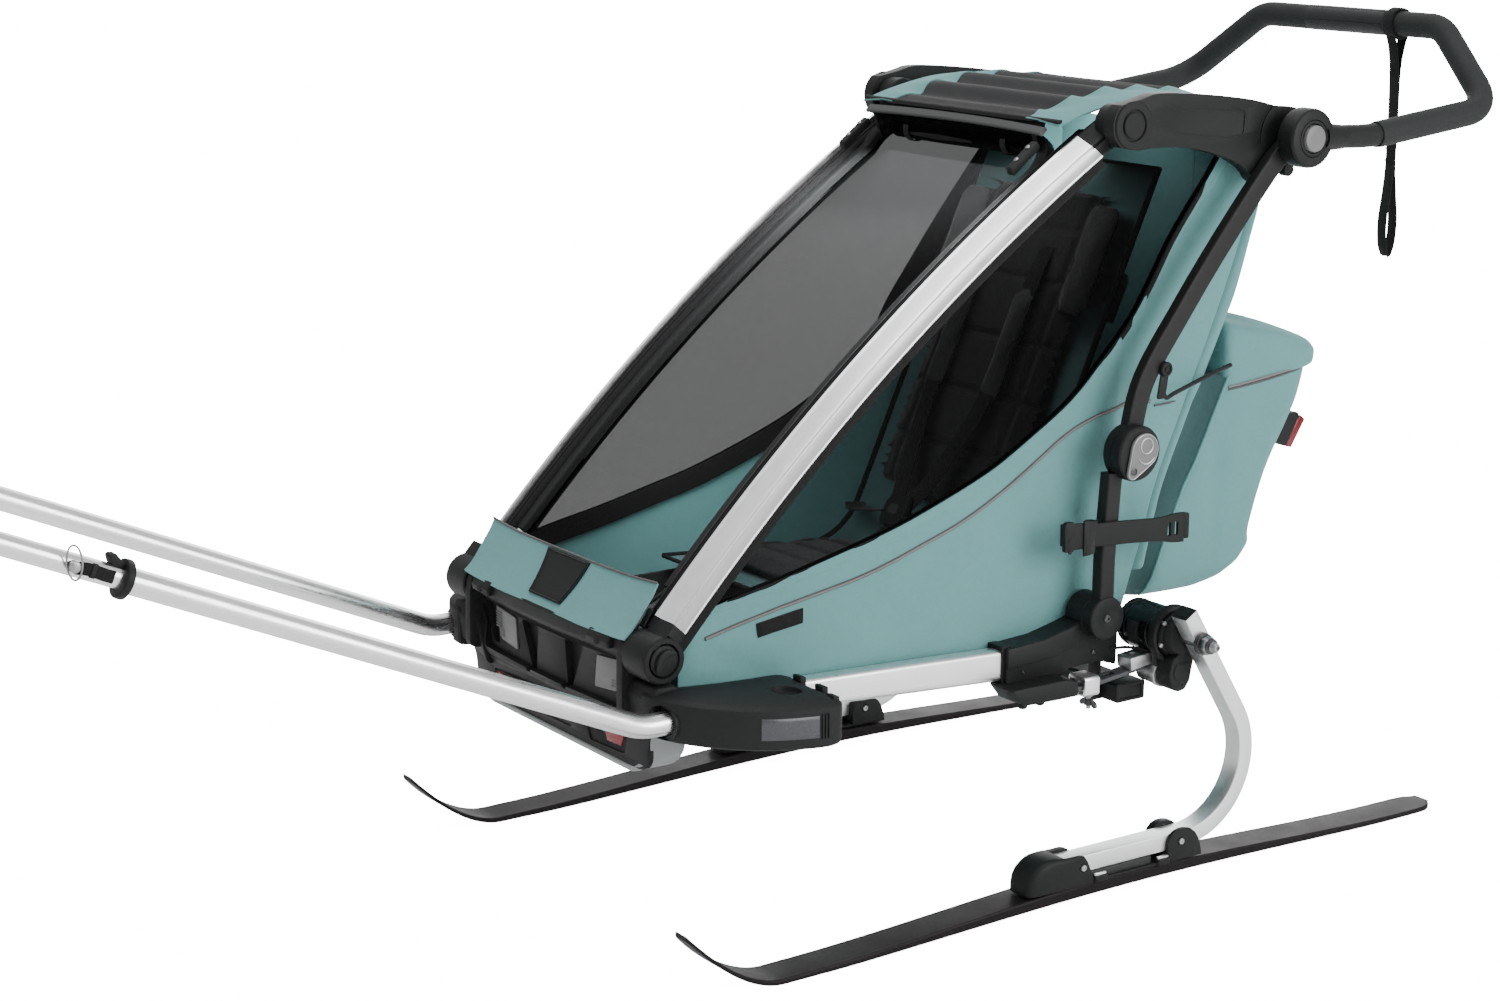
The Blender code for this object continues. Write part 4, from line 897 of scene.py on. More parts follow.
# teal band across the foot of the window, with a blank dark patch
band_pts = [(-0.1010, 0.3500), (-0.0915, 0.3590), (-0.0790, 0.3740), (-0.0680, 0.3900), (-0.0600, 0.4045)]
bline = [tuple(q) for q in spline(band_pts, 14)]
rows = []
for k, (y, z) in enumerate(bline):
    t = k / 14
    row = []
    for i in range(41):
        u = -1 + 2 * i / 40
        sag = 0.0022 * (1 - u * u) * t + 0.0007 * noise.noise(Vector((u * 4.0, t * 2.0, 5.0))) + 0.0010 * math.exp(-((abs(u) - 0.96) / 0.05) ** 2) * math.sin(t * 9.0)
        x = 0.1730 * u * (1 - 0.010 * (1 - t))
        row.append((x, y + 0.75 * sag - 0.0008 + 0.0030 * u ** 4, z - 0.65 * sag + 0.0034 * u ** 4))
    rows.append(row)
band = grid("band", rows, 0.0022)
band = dress(band, TEAL, 60)
band_hem = dress(sweep("band_hem", [(p[0], p[1] - 0.0005, p[2] + 0.0006) for p in rows[-1]], rounded(0.0026, 0.0026, 0.0010, 2), side=(0, 1, 0)), PIPING_DARK, 60)
# patch: a trapezoid that follows the band
prow = []
for k in range(7):
    t = 0.16 + 0.80 * k / 6
    half = 0.0330 + 0.0110 * k / 6
    y, z = at(bline, t)
    prow.append([(half * (-1 + i / 4), y - 0.0022 + 0.0016 * t, z + 0.0018 - 0.0015 * t) for i in range(9)])
patch = grid("patch", prow, 0.0018)
bevel(patch, 0.0006, 2, 60)
dress(patch, BLACK_SOFT, 50)
border = [prow[0][i] for i in range(9)] + [prow[k][8] for k in range(1, 7)] + [prow[6][i] for i in range(7, -1, -1)] + [prow[k][0] for k in range(5, 0, -1)]
cx = np.mean(np.array(border), axis=0)
ring_pts = [tuple(cx + (np.array(p) - cx) * 0.93 + np.array((0, -0.0007, 0.0007))) for p in border]
ridge = dress(sweep("ridge", ring_pts + [ring_pts[0], ring_pts[1]], rounded(0.0009, 0.0009, 0.0003, 1), side=(0, 1, 1)), GREY_DARK, 60)
put(join("band_all", band, band_hem, patch, ridge), "front_window_band", "front_frame")

# zip sliders with pulls at the lower end of each tape
sliders = []
for sx in (1, -1):
    y, z = MID[0]
    body = slab_x("slider", round_poly([(y - 0.020, z - 0.004), (y - 0.008, z + 0.014), (y - 0.003, z + 0.010), (y - 0.015, z - 0.008)], 0.0015), sx * 0.1690 - 0.0045, sx * 0.1690 + 0.0045)
    sliders.append(dress(bevel(body, 0.0008), SCREW))
    y0, z0 = y - 0.0165, z + 0.0010
    end = (sx * 0.1640, y0 - 0.0130, z0 - 0.0520)
    sliders.append(dress(sweep("cord", spline([(sx * 0.1690, y0, z0), (sx * 0.1700, y0 - 0.0080, z0 - 0.0040), (sx * 0.1690, y0 - 0.0125, z0 - 0.0180), (sx * 0.1655, y0 - 0.0130, z0 - 0.0360), end], 16), circle(0.0011, 8)), TAPE))
    sliders.append(dress(sweep("tab", [(sx * 0.1660, y0 - 0.0135, z0 - 0.0240), end, (end[0], end[1], end[2] - 0.0060)], rounded(0.0050, 0.0028, 0.0012, 3), side=(1, 0, 0), round_end=0.0015), BLACK_SOFT))
put(join("sliders", *sliders), "window_zip_pulls", "front_frame")

# rolled sunshade under the header, and the header's two small brackets
roll = dress(turned("roll", (-0.1250, 0.4740, 0.8250), "x", [(0, 0.0090), (0.0015, 0.0110), (0.0040, 0.0118), (0.0900, 0.0125), (0.1700, 0.0120), (0.2460, 0.0118), (0.2485, 0.0110), (0.2500, 0.0090)], 28), TAPE, 50)
spiral = [(0.1256, 0.4740 + (0.0020 + 0.0075 * k / 40) * math.cos(k * 0.42), 0.8250 + (0.0020 + 0.0075 * k / 40) * math.sin(k * 0.42)) for k in range(41)]
curl = dress(sweep("curl", spiral, rounded(0.0010, 0.0008, 0.0003, 1)), GREY_DARK)
loops_ = []
for sx in (-0.09, 0.09):
    ring_ = [(sx, 0.4740 + 0.0150 * math.cos(a), 0.8260 + 0.0150 * math.sin(a)) for a in np.linspace(0, 2 * math.pi, 33)]
    loops_.append(dress(sweep("loop", ring_ + [ring_[1]], rounded(0.0100, 0.0010, 0.0004, 1)), WEBBING))
put(join("shade", roll, curl, *loops_), "rolled_sunshade", "front_frame")
lugs = []
LUG = (0.4365, 0.8150)
for sx in (1, -1):
    lug = slab_x("lug", round_poly([(LUG[0] - 0.0190, LUG[1] - 0.0180), (LUG[0] + 0.0190, LUG[1] + 0.0120), (LUG[0] + 0.0140, LUG[1] + 0.0200), (LUG[0] - 0.0230, LUG[1] - 0.0080)], 0.003), sx * 0.1570 - 0.0050, sx * 0.1570 + 0.0050)
    lugs.append(dress(bevel(lug, 0.0012), BLACK_SOFT))
    for f in (0.28, 0.72):
        p = np.array((LUG[0] - 0.0210 + 0.0360 * f, LUG[1] - 0.0090 + 0.0290 * f))
        lugs.append(dress(turned("screw", (sx * 0.1570, p[0] - 0.0006, p[1] + 0.0008), (0, -0.62, 0.78), [(0, 0.0030), (0.0014, 0.0030), (0.0020, 0.0022), (0.0021, 0.0012), (0.0008, 0.0010)], 18), STEEL))
# flat bar under the roof's front edge
bar_h = sweep("header_flat", [(x, 0.4620 - 0.004 * (x / 0.17) ** 2, 0.8470 - 0.0030 * (x / 0.17) ** 2) for x in np.linspace(-0.1620, 0.1620, 17)], rounded(0.0110, 0.0050, 0.0020, 4), side=(0, 0.72, 0.69))
lugs.append(dress(bar_h, HEADER_GREY, 40))
put(join("lugs", *lugs), "header_lugs", "front_frame")

# ================================================================== roof: ribbed dark centre between two teal strips
ROOF = [(0.4640, 0.8560), (0.5000, 0.8668), (0.5450, 0.8765), (0.5900, 0.8815), (0.6400, 0.8800), (0.6900, 0.8740), (0.7300, 0.8620), (0.7640, 0.8480), (0.7760, 0.8400)]
rline = [tuple(q) for q in spline(ROOF, 96)]
Lr = 0.3200


def roof_wave(t, u):
    """Folds across the roof, fading towards the sides."""
    a = 0.0046 * (1 - step(abs(u), 0.62, 0.90)) * step(t, 0.03, 0.12) * (1 - step(t, 0.90, 0.99))
    return a * math.sin(t * 2 * math.pi * 6.2)


def roof_grid(name, us, lift, thick):
    rows = []
    for k, (y, z) in enumerate(rline):
        t = k / 96
        row = []
        for i, u in enumerate(us(t)):
            w = roof_wave(t, u) - 0.0040 * max(0.0, abs(u) - 0.80) / 0.20 * abs(u) + 0.0007 * noise.noise(Vector((u * 5.0, t * 8.0, 2.0)))
            row.append((0.1815 * u, y, z + w + lift))
        rows.append(row)
    return grid(name, rows, thick)


centre = dress(roof_grid("centre", lambda t: [-0.74 + 1.48 * i / 24 for i in range(25)], -0.0010, 0.0020), CHARCOAL, 70)
strips = []
for sgn in (1, -1):
    def span(t, sgn=sgn):
        e = 0.665 + 0.030 * math.sin(t * 2 * math.pi * 6.2 + 0.6) - 0.05 * step(t, 0.2, 0.9)
        out = [e + (1.0 - e) * i / 12 for i in range(13)]
        return [-v for v in out[::-1]] if sgn < 0 else out
    strips.append(dress(roof_grid("strip", span, 0.0006, 0.0020), TEAL, 70))
hem = dress(sweep("hem", [(x, rline[1][0], rline[1][1] - 0.0008) for x in np.linspace(-0.1800, 0.1800, 15)], rounded(0.0060, 0.0034, 0.0014, 2), side=(0, 1, 0.4)), TAPE, 50)
put(join("roof", centre, hem, *strips), "roof_cover", "top_frame", "roof")

# ================================================================== rear panel
rows = []
sa, fa = keyed(sil, 5), keyed(fold, 5)
for k in range(len(sa)):
    t = k / (len(sa) - 1)
    row = []
    for i in range(33):
        u = -1 + 2 * i / 32
        q = sa[k] * 0.80 + fa[k] * 0.20
        d = 0.0080 * (1 - u ** 4) * math.sin(math.pi * min(1.0, t * 1.1)) + 0.0030 * noise.noise(Vector((u * 2.2, t * 4.0, 9.0))) - 0.0020 * math.exp(-((abs(u) - 0.52) / 0.03) ** 2)
        row.append((0.1640 * u, q[0] + d, q[1] - 0.3 * d))
    rows.append(row)
back = grid("back", rows, 0.0020)
m = back.modifiers.new("sub", "SUBSURF")
m.levels = m.render_levels = 1
bake(back)
dress(back, TEAL, 70)
seams = []
for sx in (1, -1):
    line = [tuple(r[16 + sx * 8]) for r in rows]
    seams.append(dress(sweep("seam", [(x, y + 0.0010, z) for x, y, z in line], rounded(0.0016, 0.0016, 0.0006, 1)), TEAL_DARK, 60))
put(join("back", back, *seams), "rear_panel_fabric", "chassis", "rear_panel", squash=SQ)

# ================================================================== cargo bag and lid
BAG_L = [(0.5420, 0.7420, 0.8880, 0.1735), (0.5300, 0.7350, 0.8860, 0.1740), (0.5000, 0.7200, 0.8760, 0.1742), (0.4700, 0.7061, 0.8600, 0.1738), (0.4400, 0.6910, 0.8430, 0.1732),
         (0.4147, 0.6755, 0.8310, 0.1728), (0.3850, 0.6630, 0.8200, 0.1722), (0.3550, 0.6510, 0.8110, 0.1712), (0.3300, 0.6425, 0.8060, 0.1700), (0.3100, 0.6370, 0.7920, 0.1670),
         (0.2950, 0.6340, 0.7710, 0.1600), (0.2850, 0.6340, 0.7450, 0.1480), (0.2790, 0.6380, 0.7200, 0.1250)]


def bag_loop_at(z, y0, y1, hw, push):
    """One level of the bag, from the left front corner round the back to the right front corner."""
    r = 0.045 if z > 0.33 else 0.036
    y1 = y1 + push
    pts = []
    for k in range(9):
        f = k / 8
        y = y0 + (y1 - r - y0) * f
        pts.append((hw + 0.0030 * math.sin(math.pi * f) * (1 if z > 0.30 else 0), y))
    for k in range(1, 10):
        a = math.pi / 2 * k / 9
        pts.append((hw - r + r * math.cos(a), y1 - r + r * math.sin(a)))
    for k in range(1, 12):
        f = k / 12
        x = (hw - r) * (1 - 2 * f)
        pts.append((x, y1 + 0.0075 * math.sin(math.pi * f)))
    right = [(-x, y) for x, y in pts[:18]][::-1]
    return pts + right


levels = []
for k in range(len(BAG_L) - 1):
    for j in range(3):
        f = j / 3
        levels.append([a * (1 - f) + b * f for a, b in zip(BAG_L[k], BAG_L[k + 1])])
levels.append(list(BAG_L[-1]))
rows = []
for z, y0, y1, hw in levels:
    row = []
    for x, y in bag_loop_at(z, y0, y1, hw, 0.0):
        n = noise.noise(Vector((x * 7.0, y * 7.0, z * 6.0)))
        m_ = noise.noise(Vector((x * 16.0 + 4, y * 16.0, z * 7.0)))
        tuck = math.exp(-((y - 0.724 - 0.02 * (z - 0.4)) / 0.010) ** 2) * math.exp(-((z - 0.410) / 0.085) ** 2) if abs(x) > 0.16 else 0.0
        s_ = 1 if x > 0 else -1
        side_on = step(abs(x), 0.13, 0.17)
        row.append((x + s_ * side_on * (0.0036 * n + 0.0012 * m_ - 0.0042 * tuck), y + (1 - side_on) * (0.0050 * n + 0.0015 * m_), z + 0.0012 * m_))
    rows.append(row)
bag = grid("bag", rows, 0.0024)
floor_rows = []
for f in (0.0, 0.18, 0.4, 0.7, 0.97):
    cxy = np.array((0.0, 0.672))
    floor_rows.append([tuple(np.array((p[0] * (1 - f), cxy[1] + (p[1] - cxy[1]) * (1 - f * 0.9), p[2] - 0.0035 * (1 - (1 - f) ** 2)))) for p in rows[-1]])
bag_floor = grid("bag_floor", floor_rows, 0.0024)
bag = join("bag", bag, bag_floor)
bm = bmesh.new()
bm.from_mesh(bag.data)
bmesh.ops.remove_doubles(bm, verts=bm.verts, dist=0.0002)
bmesh.ops.recalc_face_normals(bm, faces=bm.faces)
bm.to_mesh(bag.data)
bm.free()
m = bag.modifiers.new("sub", "SUBSURF")
m.levels = m.render_levels = 1
bake(bag)
dress(bag, TEAL, 80)
# rolled seam down each front edge of the bag's side, and the sheet in darker teal that joins it to the cabin
extra = []
for sx in (1, -1):
    line = [(sx * (hw + 0.0005), y0, z) for z, y0, y1, hw in levels[:-3]]
    extra.append(dress(sweep("bag_seam", line, circle(0.0022, 10), round_end=0.001), TEAL, 60))
    rows_g = []
    for k, (z, y0, y1, hw) in enumerate(levels[:-2]):
        # the cabin's rear corner at this height
        cy = float(np.interp(z, [q[1] for q in sil], [q[0] for q in sil])) - 0.014
        row = []
        for i in range(9):
            f = i / 8
            x = 0.1640 + (hw - 0.1640) * f - 0.0200 * math.sin(math.pi * f) - 0.004 * math.sin(3 * math.pi * f) * noise.noise(Vector((z * 9, 1.0, 2.0)))
            row.append((sx * x, cy + (y0 - cy) * f, z))
        rows_g.append(row)
    extra.append(dress(grid("gusset", rows_g, 0.0016), TEAL_DARK, 70))
# inner back of the bag, so that it is closed towards the cabin
rows_b = []
for z, y0, y1, hw in levels[::3]:
    cy = float(np.interp(z, [q[1] for q in sil], [q[0] for q in sil])) - 0.004
    rows_b.append([(x, cy + 0.012 * (1 - (x / 0.165) ** 2), z) for x in np.linspace(-0.160, 0.160, 13)])
extra.append(dress(grid("bag_back", rows_b, 0.0016), TEAL_DARK, 70))
# the hem round the top: a dark line with the piping above it
hem_pts = []
for x, y in bag_loop_at(0.5380, 0.7400, 0.8870, 0.1738, 0.0):
    hem_pts.append((x * 1.010, y + (0.0018 if abs(x) < 0.16 else 0.0), 0.5232 + (y - 0.7370) * 0.1080 + 0.0015))
extra.append(dress(sweep("bag_hem", hem_pts, rounded(0.0030, 0.0030, 0.0012, 3), side=(0, 0, 1)), PIPING_DARK, 60))
extra.append(dress(sweep("bag_hem2", [(x, y, z + 0.0034) for x, y, z in hem_pts], rounded(0.0024, 0.0032, 0.0010, 3), side=(0, 0, 1)), PIPING, 60))
put(join("bag", bag, *extra), "cargo_bag_fabric", "chassis", "cargo_bag", squash=SQB)


def lid_top(x, y):
    z = float(np.interp(y, [0.733, 0.772, 0.807, 0.850, 0.880, 0.897], [0.6200, 0.6085, 0.6000, 0.5885, 0.5800, 0.5735]))
    z -= 0.0120 * (abs(x) / 0.175) ** 3
    z += 0.0050 * noise.noise(Vector((x * 9.0, y * 9.0, 0.2))) - 0.0060 * math.exp(-(((x - 0.100) / 0.035) ** 2 + ((y - 0.780) / 0.022) ** 2)) - 0.0060 * math.exp(-(((x + 0.100) / 0.035) ** 2 + ((y - 0.780) / 0.022) ** 2))
    z += 0.0040 * math.exp(-(((abs(x) - 0.125) / 0.020) ** 2 + ((y - 0.812) / 0.018) ** 2))
    return z


def lid_ring(inset, r):
    return round_poly([(-0.1785 + inset, 0.7340 + inset), (0.1785 - inset, 0.7340 + inset), (0.1785 - inset, 0.8985 - inset), (-0.1785 + inset, 0.8985 - inset)], [0.006, 0.006, r, r], 9)


def dense(ring, n=84):
    c = list(ring) + [ring[0]]
    return [tuple(q) for q in evenly(c, n)][:-1]


rings = []
base_ring = lid_ring(0.0, 0.040)
for inset, kind in ((0.0024, "hem0"), (0.0010, "hem1"), (0.0004, "mid"), (0.0000, "mid2"), (0.0012, "edge"), (0.0050, "edge2"), (0.0120, "top"), (0.0260, "top"), (0.0420, "top"), (0.0580, "top"), (0.0720, "top")):
    ring = dense(lid_ring(inset, max(0.004, 0.040 - inset * 0.45)))
    # one start corner for all rings
    i0 = min(range(len(ring)), key=lambda i: (ring[i][0] + 1) ** 2 + (ring[i][1] - 0.0) ** 2)
    ring = ring[i0:] + ring[:i0]
    out = []
    for x, y in ring:
        hz = 0.5250 + (y - 0.7370) * 0.1080
        tz = lid_top(x, y)
        z = {"hem0": hz, "hem1": hz + 0.0030, "mid": hz + 0.30 * (tz - hz), "mid2": hz + 0.65 * (tz - hz), "edge": tz - 0.0080, "edge2": tz - 0.0020, "top": tz}[kind]
        b = 0.0022 * noise.noise(Vector((x * 14, y * 14, z * 25))) if kind.startswith("mid") else 0.0
        d = math.hypot(x, y - 0.815) or 1.0
        out.append((x + b * x / d, y + b * (y - 0.815) / d, z))
    rings.append(out)
lid = loft("lid", rings, caps=False)
bm = bmesh.new()
bm.from_mesh(lid.data)
edge = [e for e in bm.edges if e.is_boundary and (e.verts[0].co.z + e.verts[1].co.z) / 2 > 0.56]
bmesh.ops.contextual_create(bm, geom=edge)
bm.to_mesh(bm_me := bpy.data.meshes.new("lid_mesh"))
bm.free()
lid.data = bm_me
m = lid.modifiers.new("thick", "SOLIDIFY")
m.thickness, m.offset = 0.0022, -1.0
m = lid.modifiers.new("sub", "SUBSURF")
m.levels = m.render_levels = 1
bake(lid)
dress(lid, TEAL, 80)
put(lid, "bag_lid_fabric", "bag_lid", "bag_lid", squash=SQB)

# ================================================================== side rails and rear casting
def rail_loop(y, grow=0.0):
    t = (y - 0.0880) / 0.2787
    zm, h = 0.2735 + (0.2590 - 0.2735) * t, 0.032 + 0.004 * t
    w = 0.0220
    r = 0.0050
    out = []
    for a, b in rounded(w + grow, h + grow, r, 4):
        out.append((0.2130 + a, y, zm + b))
    # a fine line along the outer face, near the foot
    i = min(range(len(out)), key=lambda k: (out[k][0] - 0.2240) ** 2 + (out[k][2] - (zm - h / 2 + r)) ** 2)
    zl = zm - h / 2 + r + 0.0025
    extra = [(0.2240, y, zl + 0.0010), (0.2233, y, zl + 0.0004), (0.2233, y, zl - 0.0004), (0.2240, y, zl - 0.0010)]
    j = (i + 1) % len(out)
    nxt = out[j]
    seq = extra if nxt[2] < out[i][2] else extra[::-1]
    return out[: i + 1] + seq + out[i + 1 :]


rail = loft("rail", [rail_loop(0.0880 + 0.2787 * k / 10) for k in range(11)])
pair(dress(rail, ALLOY, 30), "side_rail_extrusion", "chassis", "side_rail")

cast = slab_x("cast", round_poly([(0.3670, 0.2400), (0.4000, 0.2350), (0.4480, 0.2350), (0.4560, 0.2430), (0.5030, 0.2440), (0.5280, 0.2360), (0.5300, 0.2940),
                                  (0.4960, 0.3020), (0.4600, 0.2915), (0.4200, 0.2830), (0.3670, 0.2800)], [0.002, 0.01, 0.01, 0.006, 0.006, 0.002, 0.002, 0.01, 0.03, 0.03, 0.002]), 0.1980, 0.2300)
ridge = slab_x("ridge", round_poly([(0.3670, 0.2560), (0.4300, 0.2600), (0.4700, 0.2700), (0.4960, 0.3020), (0.4600, 0.2915), (0.4200, 0.2830), (0.3670, 0.2800)], [0, 0.03, 0.03, 0.004, 0.03, 0.03, 0]), 0.2280, 0.2322)
fuse(cast, bevel(ridge, 0.0018, 2))
sleeve = slab_x("sleeve", [(0.3635, 0.2385), (0.3760, 0.2375), (0.3760, 0.2815), (0.3635, 0.2820)], 0.2000, 0.2258)
fuse(cast, sleeve)
bevel(cast, 0.0016, 3)
dress(cast, BLACK, 40)
disc = dress(turned("disc", (0.2050, DISC[0], DISC[1]), "x", [(0, 0.0235), (0.0015, 0.0250), (0.0290, 0.0250), (0.0295, 0.0243), (0.0305, 0.0243), (0.0310, 0.0250), (0.0435, 0.0250), (0.0452, 0.0240), (0.0460, 0.0222), (0.0455, 0.0080), (0.0448, 0.0062)], 56), BLACK, 30)
screw = dress(turned("screw", (0.2488, DISC[0], DISC[1]), "x", [(0, 0.0048), (0.0018, 0.0048), (0.0026, 0.0038), (0.0027, 0.0020), (0.0014, 0.0016)], 24), SCREW, 30)
strut_prof = round_poly([(-0.0083, -0.0105), (0.0083, -0.0105), (0.0083, 0.0105), (-0.0083, 0.0105)], 0.0030, 4)
low = dress(sweep("low", spline([(0.2405, 0.4960, 0.3060), (0.2405, 0.4965, 0.3400), (0.2405, 0.4975, 0.3800), (0.2405, 0.5040, 0.4670)], 20), strut_prof), BLACK_BROWN, 40)
# hub housing: a deep round cup with a lobe where the release plate sits
hy_, hz_ = HUB


def lobed(grow, x):
    pts = []
    for k in range(64):
        a = 2 * math.pi * k / 64
        # mostly round, swelling towards the plate's lobe at the lower front
        d = math.cos(a - math.radians(238.0))
        pts.append((x, hy_ + (0.0310 + grow + 0.0022 * max(0.0, d) ** 3) * math.cos(a), hz_ + (0.0310 + grow + 0.0022 * max(0.0, d) ** 3) * math.sin(a)))
    return pts


housing = loft("housing", [lobed(-0.0060, 0.2300), lobed(-0.0020, 0.2325), lobed(0.0000, 0.2360), lobed(0.0000, 0.2458), lobed(-0.0008, 0.2461), lobed(-0.0008, 0.2466), lobed(0.0000, 0.2469),
                           lobed(0.0000, 0.2580), lobed(-0.0010, 0.2604), lobed(-0.0028, 0.2617), lobed(-0.0060, 0.2620)])
dress(housing, BLACK, 28)
block_low = slab_x("spring_block", round_poly([(0.3540, 0.2400), (0.3690, 0.2215), (0.3740, 0.2195), (0.4480, 0.2195), (0.4500, 0.2215), (0.4500, 0.2352), (0.4300, 0.2400)], 0.002), 0.2140, 0.2570)
bevel(block_low, 0.0014, 2)
dress(block_low, BLACK, 40)
feet = []
for y in (0.4010, 0.4260):
    feet.append(dress(turned("bolt", (0.2480, y - 0.0250, 0.2200), (0, 0, -1), [(0, 0.0055), (0.0040, 0.0055), (0.0055, 0.0040), (0.0058, 0.0020)], 20), BLACK))
lug = slab_x("lug", round_poly([(0.5140, 0.2500), (0.5140, 0.1890), (0.5690, 0.1890), (0.5690, 0.2145), (0.5260, 0.2200), (0.5270, 0.2500)], 0.002), 0.1985, 0.2080)
dress(bevel(lug, 0.0010), BLACK)
bar_cap = slab_x("bar_cap", round_poly([(0.5250, 0.1905), (0.5680, 0.1905), (0.5680, 0.2130), (0.5250, 0.2130)], 0.003), 0.2040, 0.2370)
hollow = block("hollow", 0.2350, 0.2400, 0.5300, 0.5630, 0.1945, 0.2090)
cut(bar_cap, hollow)
dress(bevel(bar_cap, 0.0010), BLACK)
small = []
for (y, z), r in (((0.4985, 0.2720), 0.0020), ((0.4935, 0.2560), 0.0028), ((0.3900, 0.2500), 0.0022)):
    small.append(dress(turned("screw", (0.2296, y, z), "x", [(0, r), (0.0016, r), (0.0022, r * 0.7), (0.0014, r * 0.4)], 18), SCREW, 30))
lower = join("lower", cast, disc, screw, low, housing, block_low, lug, bar_cap, *feet, *small)
pair(lower, "lower_upright_moulding", "chassis", "lower_upright")

# ================================================================== corner sockets (wing mouldings)
PLAN = [(0.1985, -0.0940), (0.222, -0.0905), (0.250, -0.0770), (0.274, -0.0580), (0.293, -0.0340), (0.306, -0.0080), (0.313, 0.0220), (0.316, 0.0520), (0.3135, 0.0740), (0.3060, 0.0845), (0.2960, 0.0877),
        (0.240, 0.0877), (0.2000, 0.0877), (0.1945, 0.045), (0.1930, 0.000), (0.1940, -0.0550), (0.1955, -0.0880)]
plan_line = [tuple(q) for q in spline(PLAN, 132, closed=True)]
WC = (0.2500, 0.0050)


def wing_level(inset, z0, z1, dome=0.0):
    """One level of the wing: z0 at the front tip, z1 at the rear."""
    out = []
    for x, y in plan_line:
        dx, dy = x - WC[0], y - WC[1]
        d = math.hypot(dx, dy)
        k = max(0.02, (d - inset) / d)
        xx, yy = WC[0] + dx * k, WC[1] + dy * k
        xx, yy = max(0.1930 + inset * 0.3, xx), min(0.0877, max(-0.0940, yy))
        t = (yy + 0.094) / 0.182
        out.append((xx, yy, z0 + (z1 - z0) * t + dome))
    return out


socket = loft("socket", [wing_level(0.0130, 0.2560, 0.2425), wing_level(0.0060, 0.2566, 0.2430), wing_level(0.0018, 0.2590, 0.2452), wing_level(0.0002, 0.2640, 0.2500), wing_level(0.0000, 0.2860, 0.2730),
                         wing_level(0.0000, 0.2965, 0.2845), wing_level(0.0004, 0.2990, 0.2868), wing_level(0.0022, 0.3006, 0.2886), wing_level(0.0060, 0.3022, 0.2908), wing_level(0.0140, 0.3038, 0.2936),
                         wing_level(0.0260, 0.3052, 0.2956), wing_level(0.0450, 0.3060, 0.2968), wing_level(0.0750, 0.3060, 0.2970)])
cut(socket, turned("recess", (0.2680, 0.0400, 0.2925), "z", [(0, 0.0160), (0.0020, 0.0168), (0.0400, 0.0185)], 40))
cut(socket, slab_z("slot", [(0.2680 + a, 0.0400 + b) for a, b in rounded(0.0140, 0.0060, 0.0029, 4)], 0.2850, 0.3000))
cut(socket, sweep("bore", [(0.2285, -0.1400, 0.2753), (0.2285, 0.0200, 0.2753)], circle(0.0150, 40)))
cut(socket, sweep("bore2", [(0.2285, -0.1400, 0.2753), (0.2285, -0.0700, 0.2753)], circle(0.0190, 40)))
# neck that rises from the wing to the pillar's disc
neck = loft("neck", [[(x, y, z) for y, z in round_poly([(-0.1000, 0.2640), (-0.0480, 0.2640), (-0.0500, 0.3400), (-0.0990, 0.3400)], 0.010, 5)] for x in (0.1582, 0.1690)])
ear = turned("ear", (0.1582, A[0], A[1]), "x", [(0, 0.0222), (0.0008, 0.0230), (0.0105, 0.0230), (0.0113, 0.0222)], 48)
fuse(neck, ear)
shoulder = slab_x("shoulder", round_poly([(-0.0900, 0.2640), (-0.0560, 0.2640), (-0.0540, 0.3000), (-0.0640, 0.3085), (-0.0860, 0.3085), (-0.0930, 0.2950)], 0.006, 4), 0.1640, 0.2160)
bevel(shoulder, 0.003, 3)
bevel(neck, 0.0015, 2)
bevel(socket, 0.0010, 2, 45)
dress(socket, BLACK_SOFT, 26)
dress(neck, BLACK_SOFT, 35)
dress(shoulder, BLACK_SOFT, 35)
collar = dress(sweep("collar", [(0.2285, -0.0820, 0.2753), (0.2285, -0.0700, 0.2753)], circle(0.0188, 40), inner=circle(0.0136, 40)), BLACK, 35)
# reflective strip on the outer face, with three ribs behind it
outer_i = [i for i, (x, y) in enumerate(plan_line) if x > 0.285 and -0.052 < y < 0.066]
outer_i.sort(key=lambda i: plan_line[i][1])


def face_pt(i, zf, out):
    x, y = plan_line[i]
    dx, dy = x - WC[0], y - WC[1]
    d = math.hypot(dx, dy)
    t = (y + 0.094) / 0.182
    zlo, zhi = 0.2640 + (0.2500 - 0.2640) * t, 0.2965 + (0.2845 - 0.2965) * t
    return (x + dx / d * out, y + dy / d * out, zlo + (zhi - zlo) * zf)


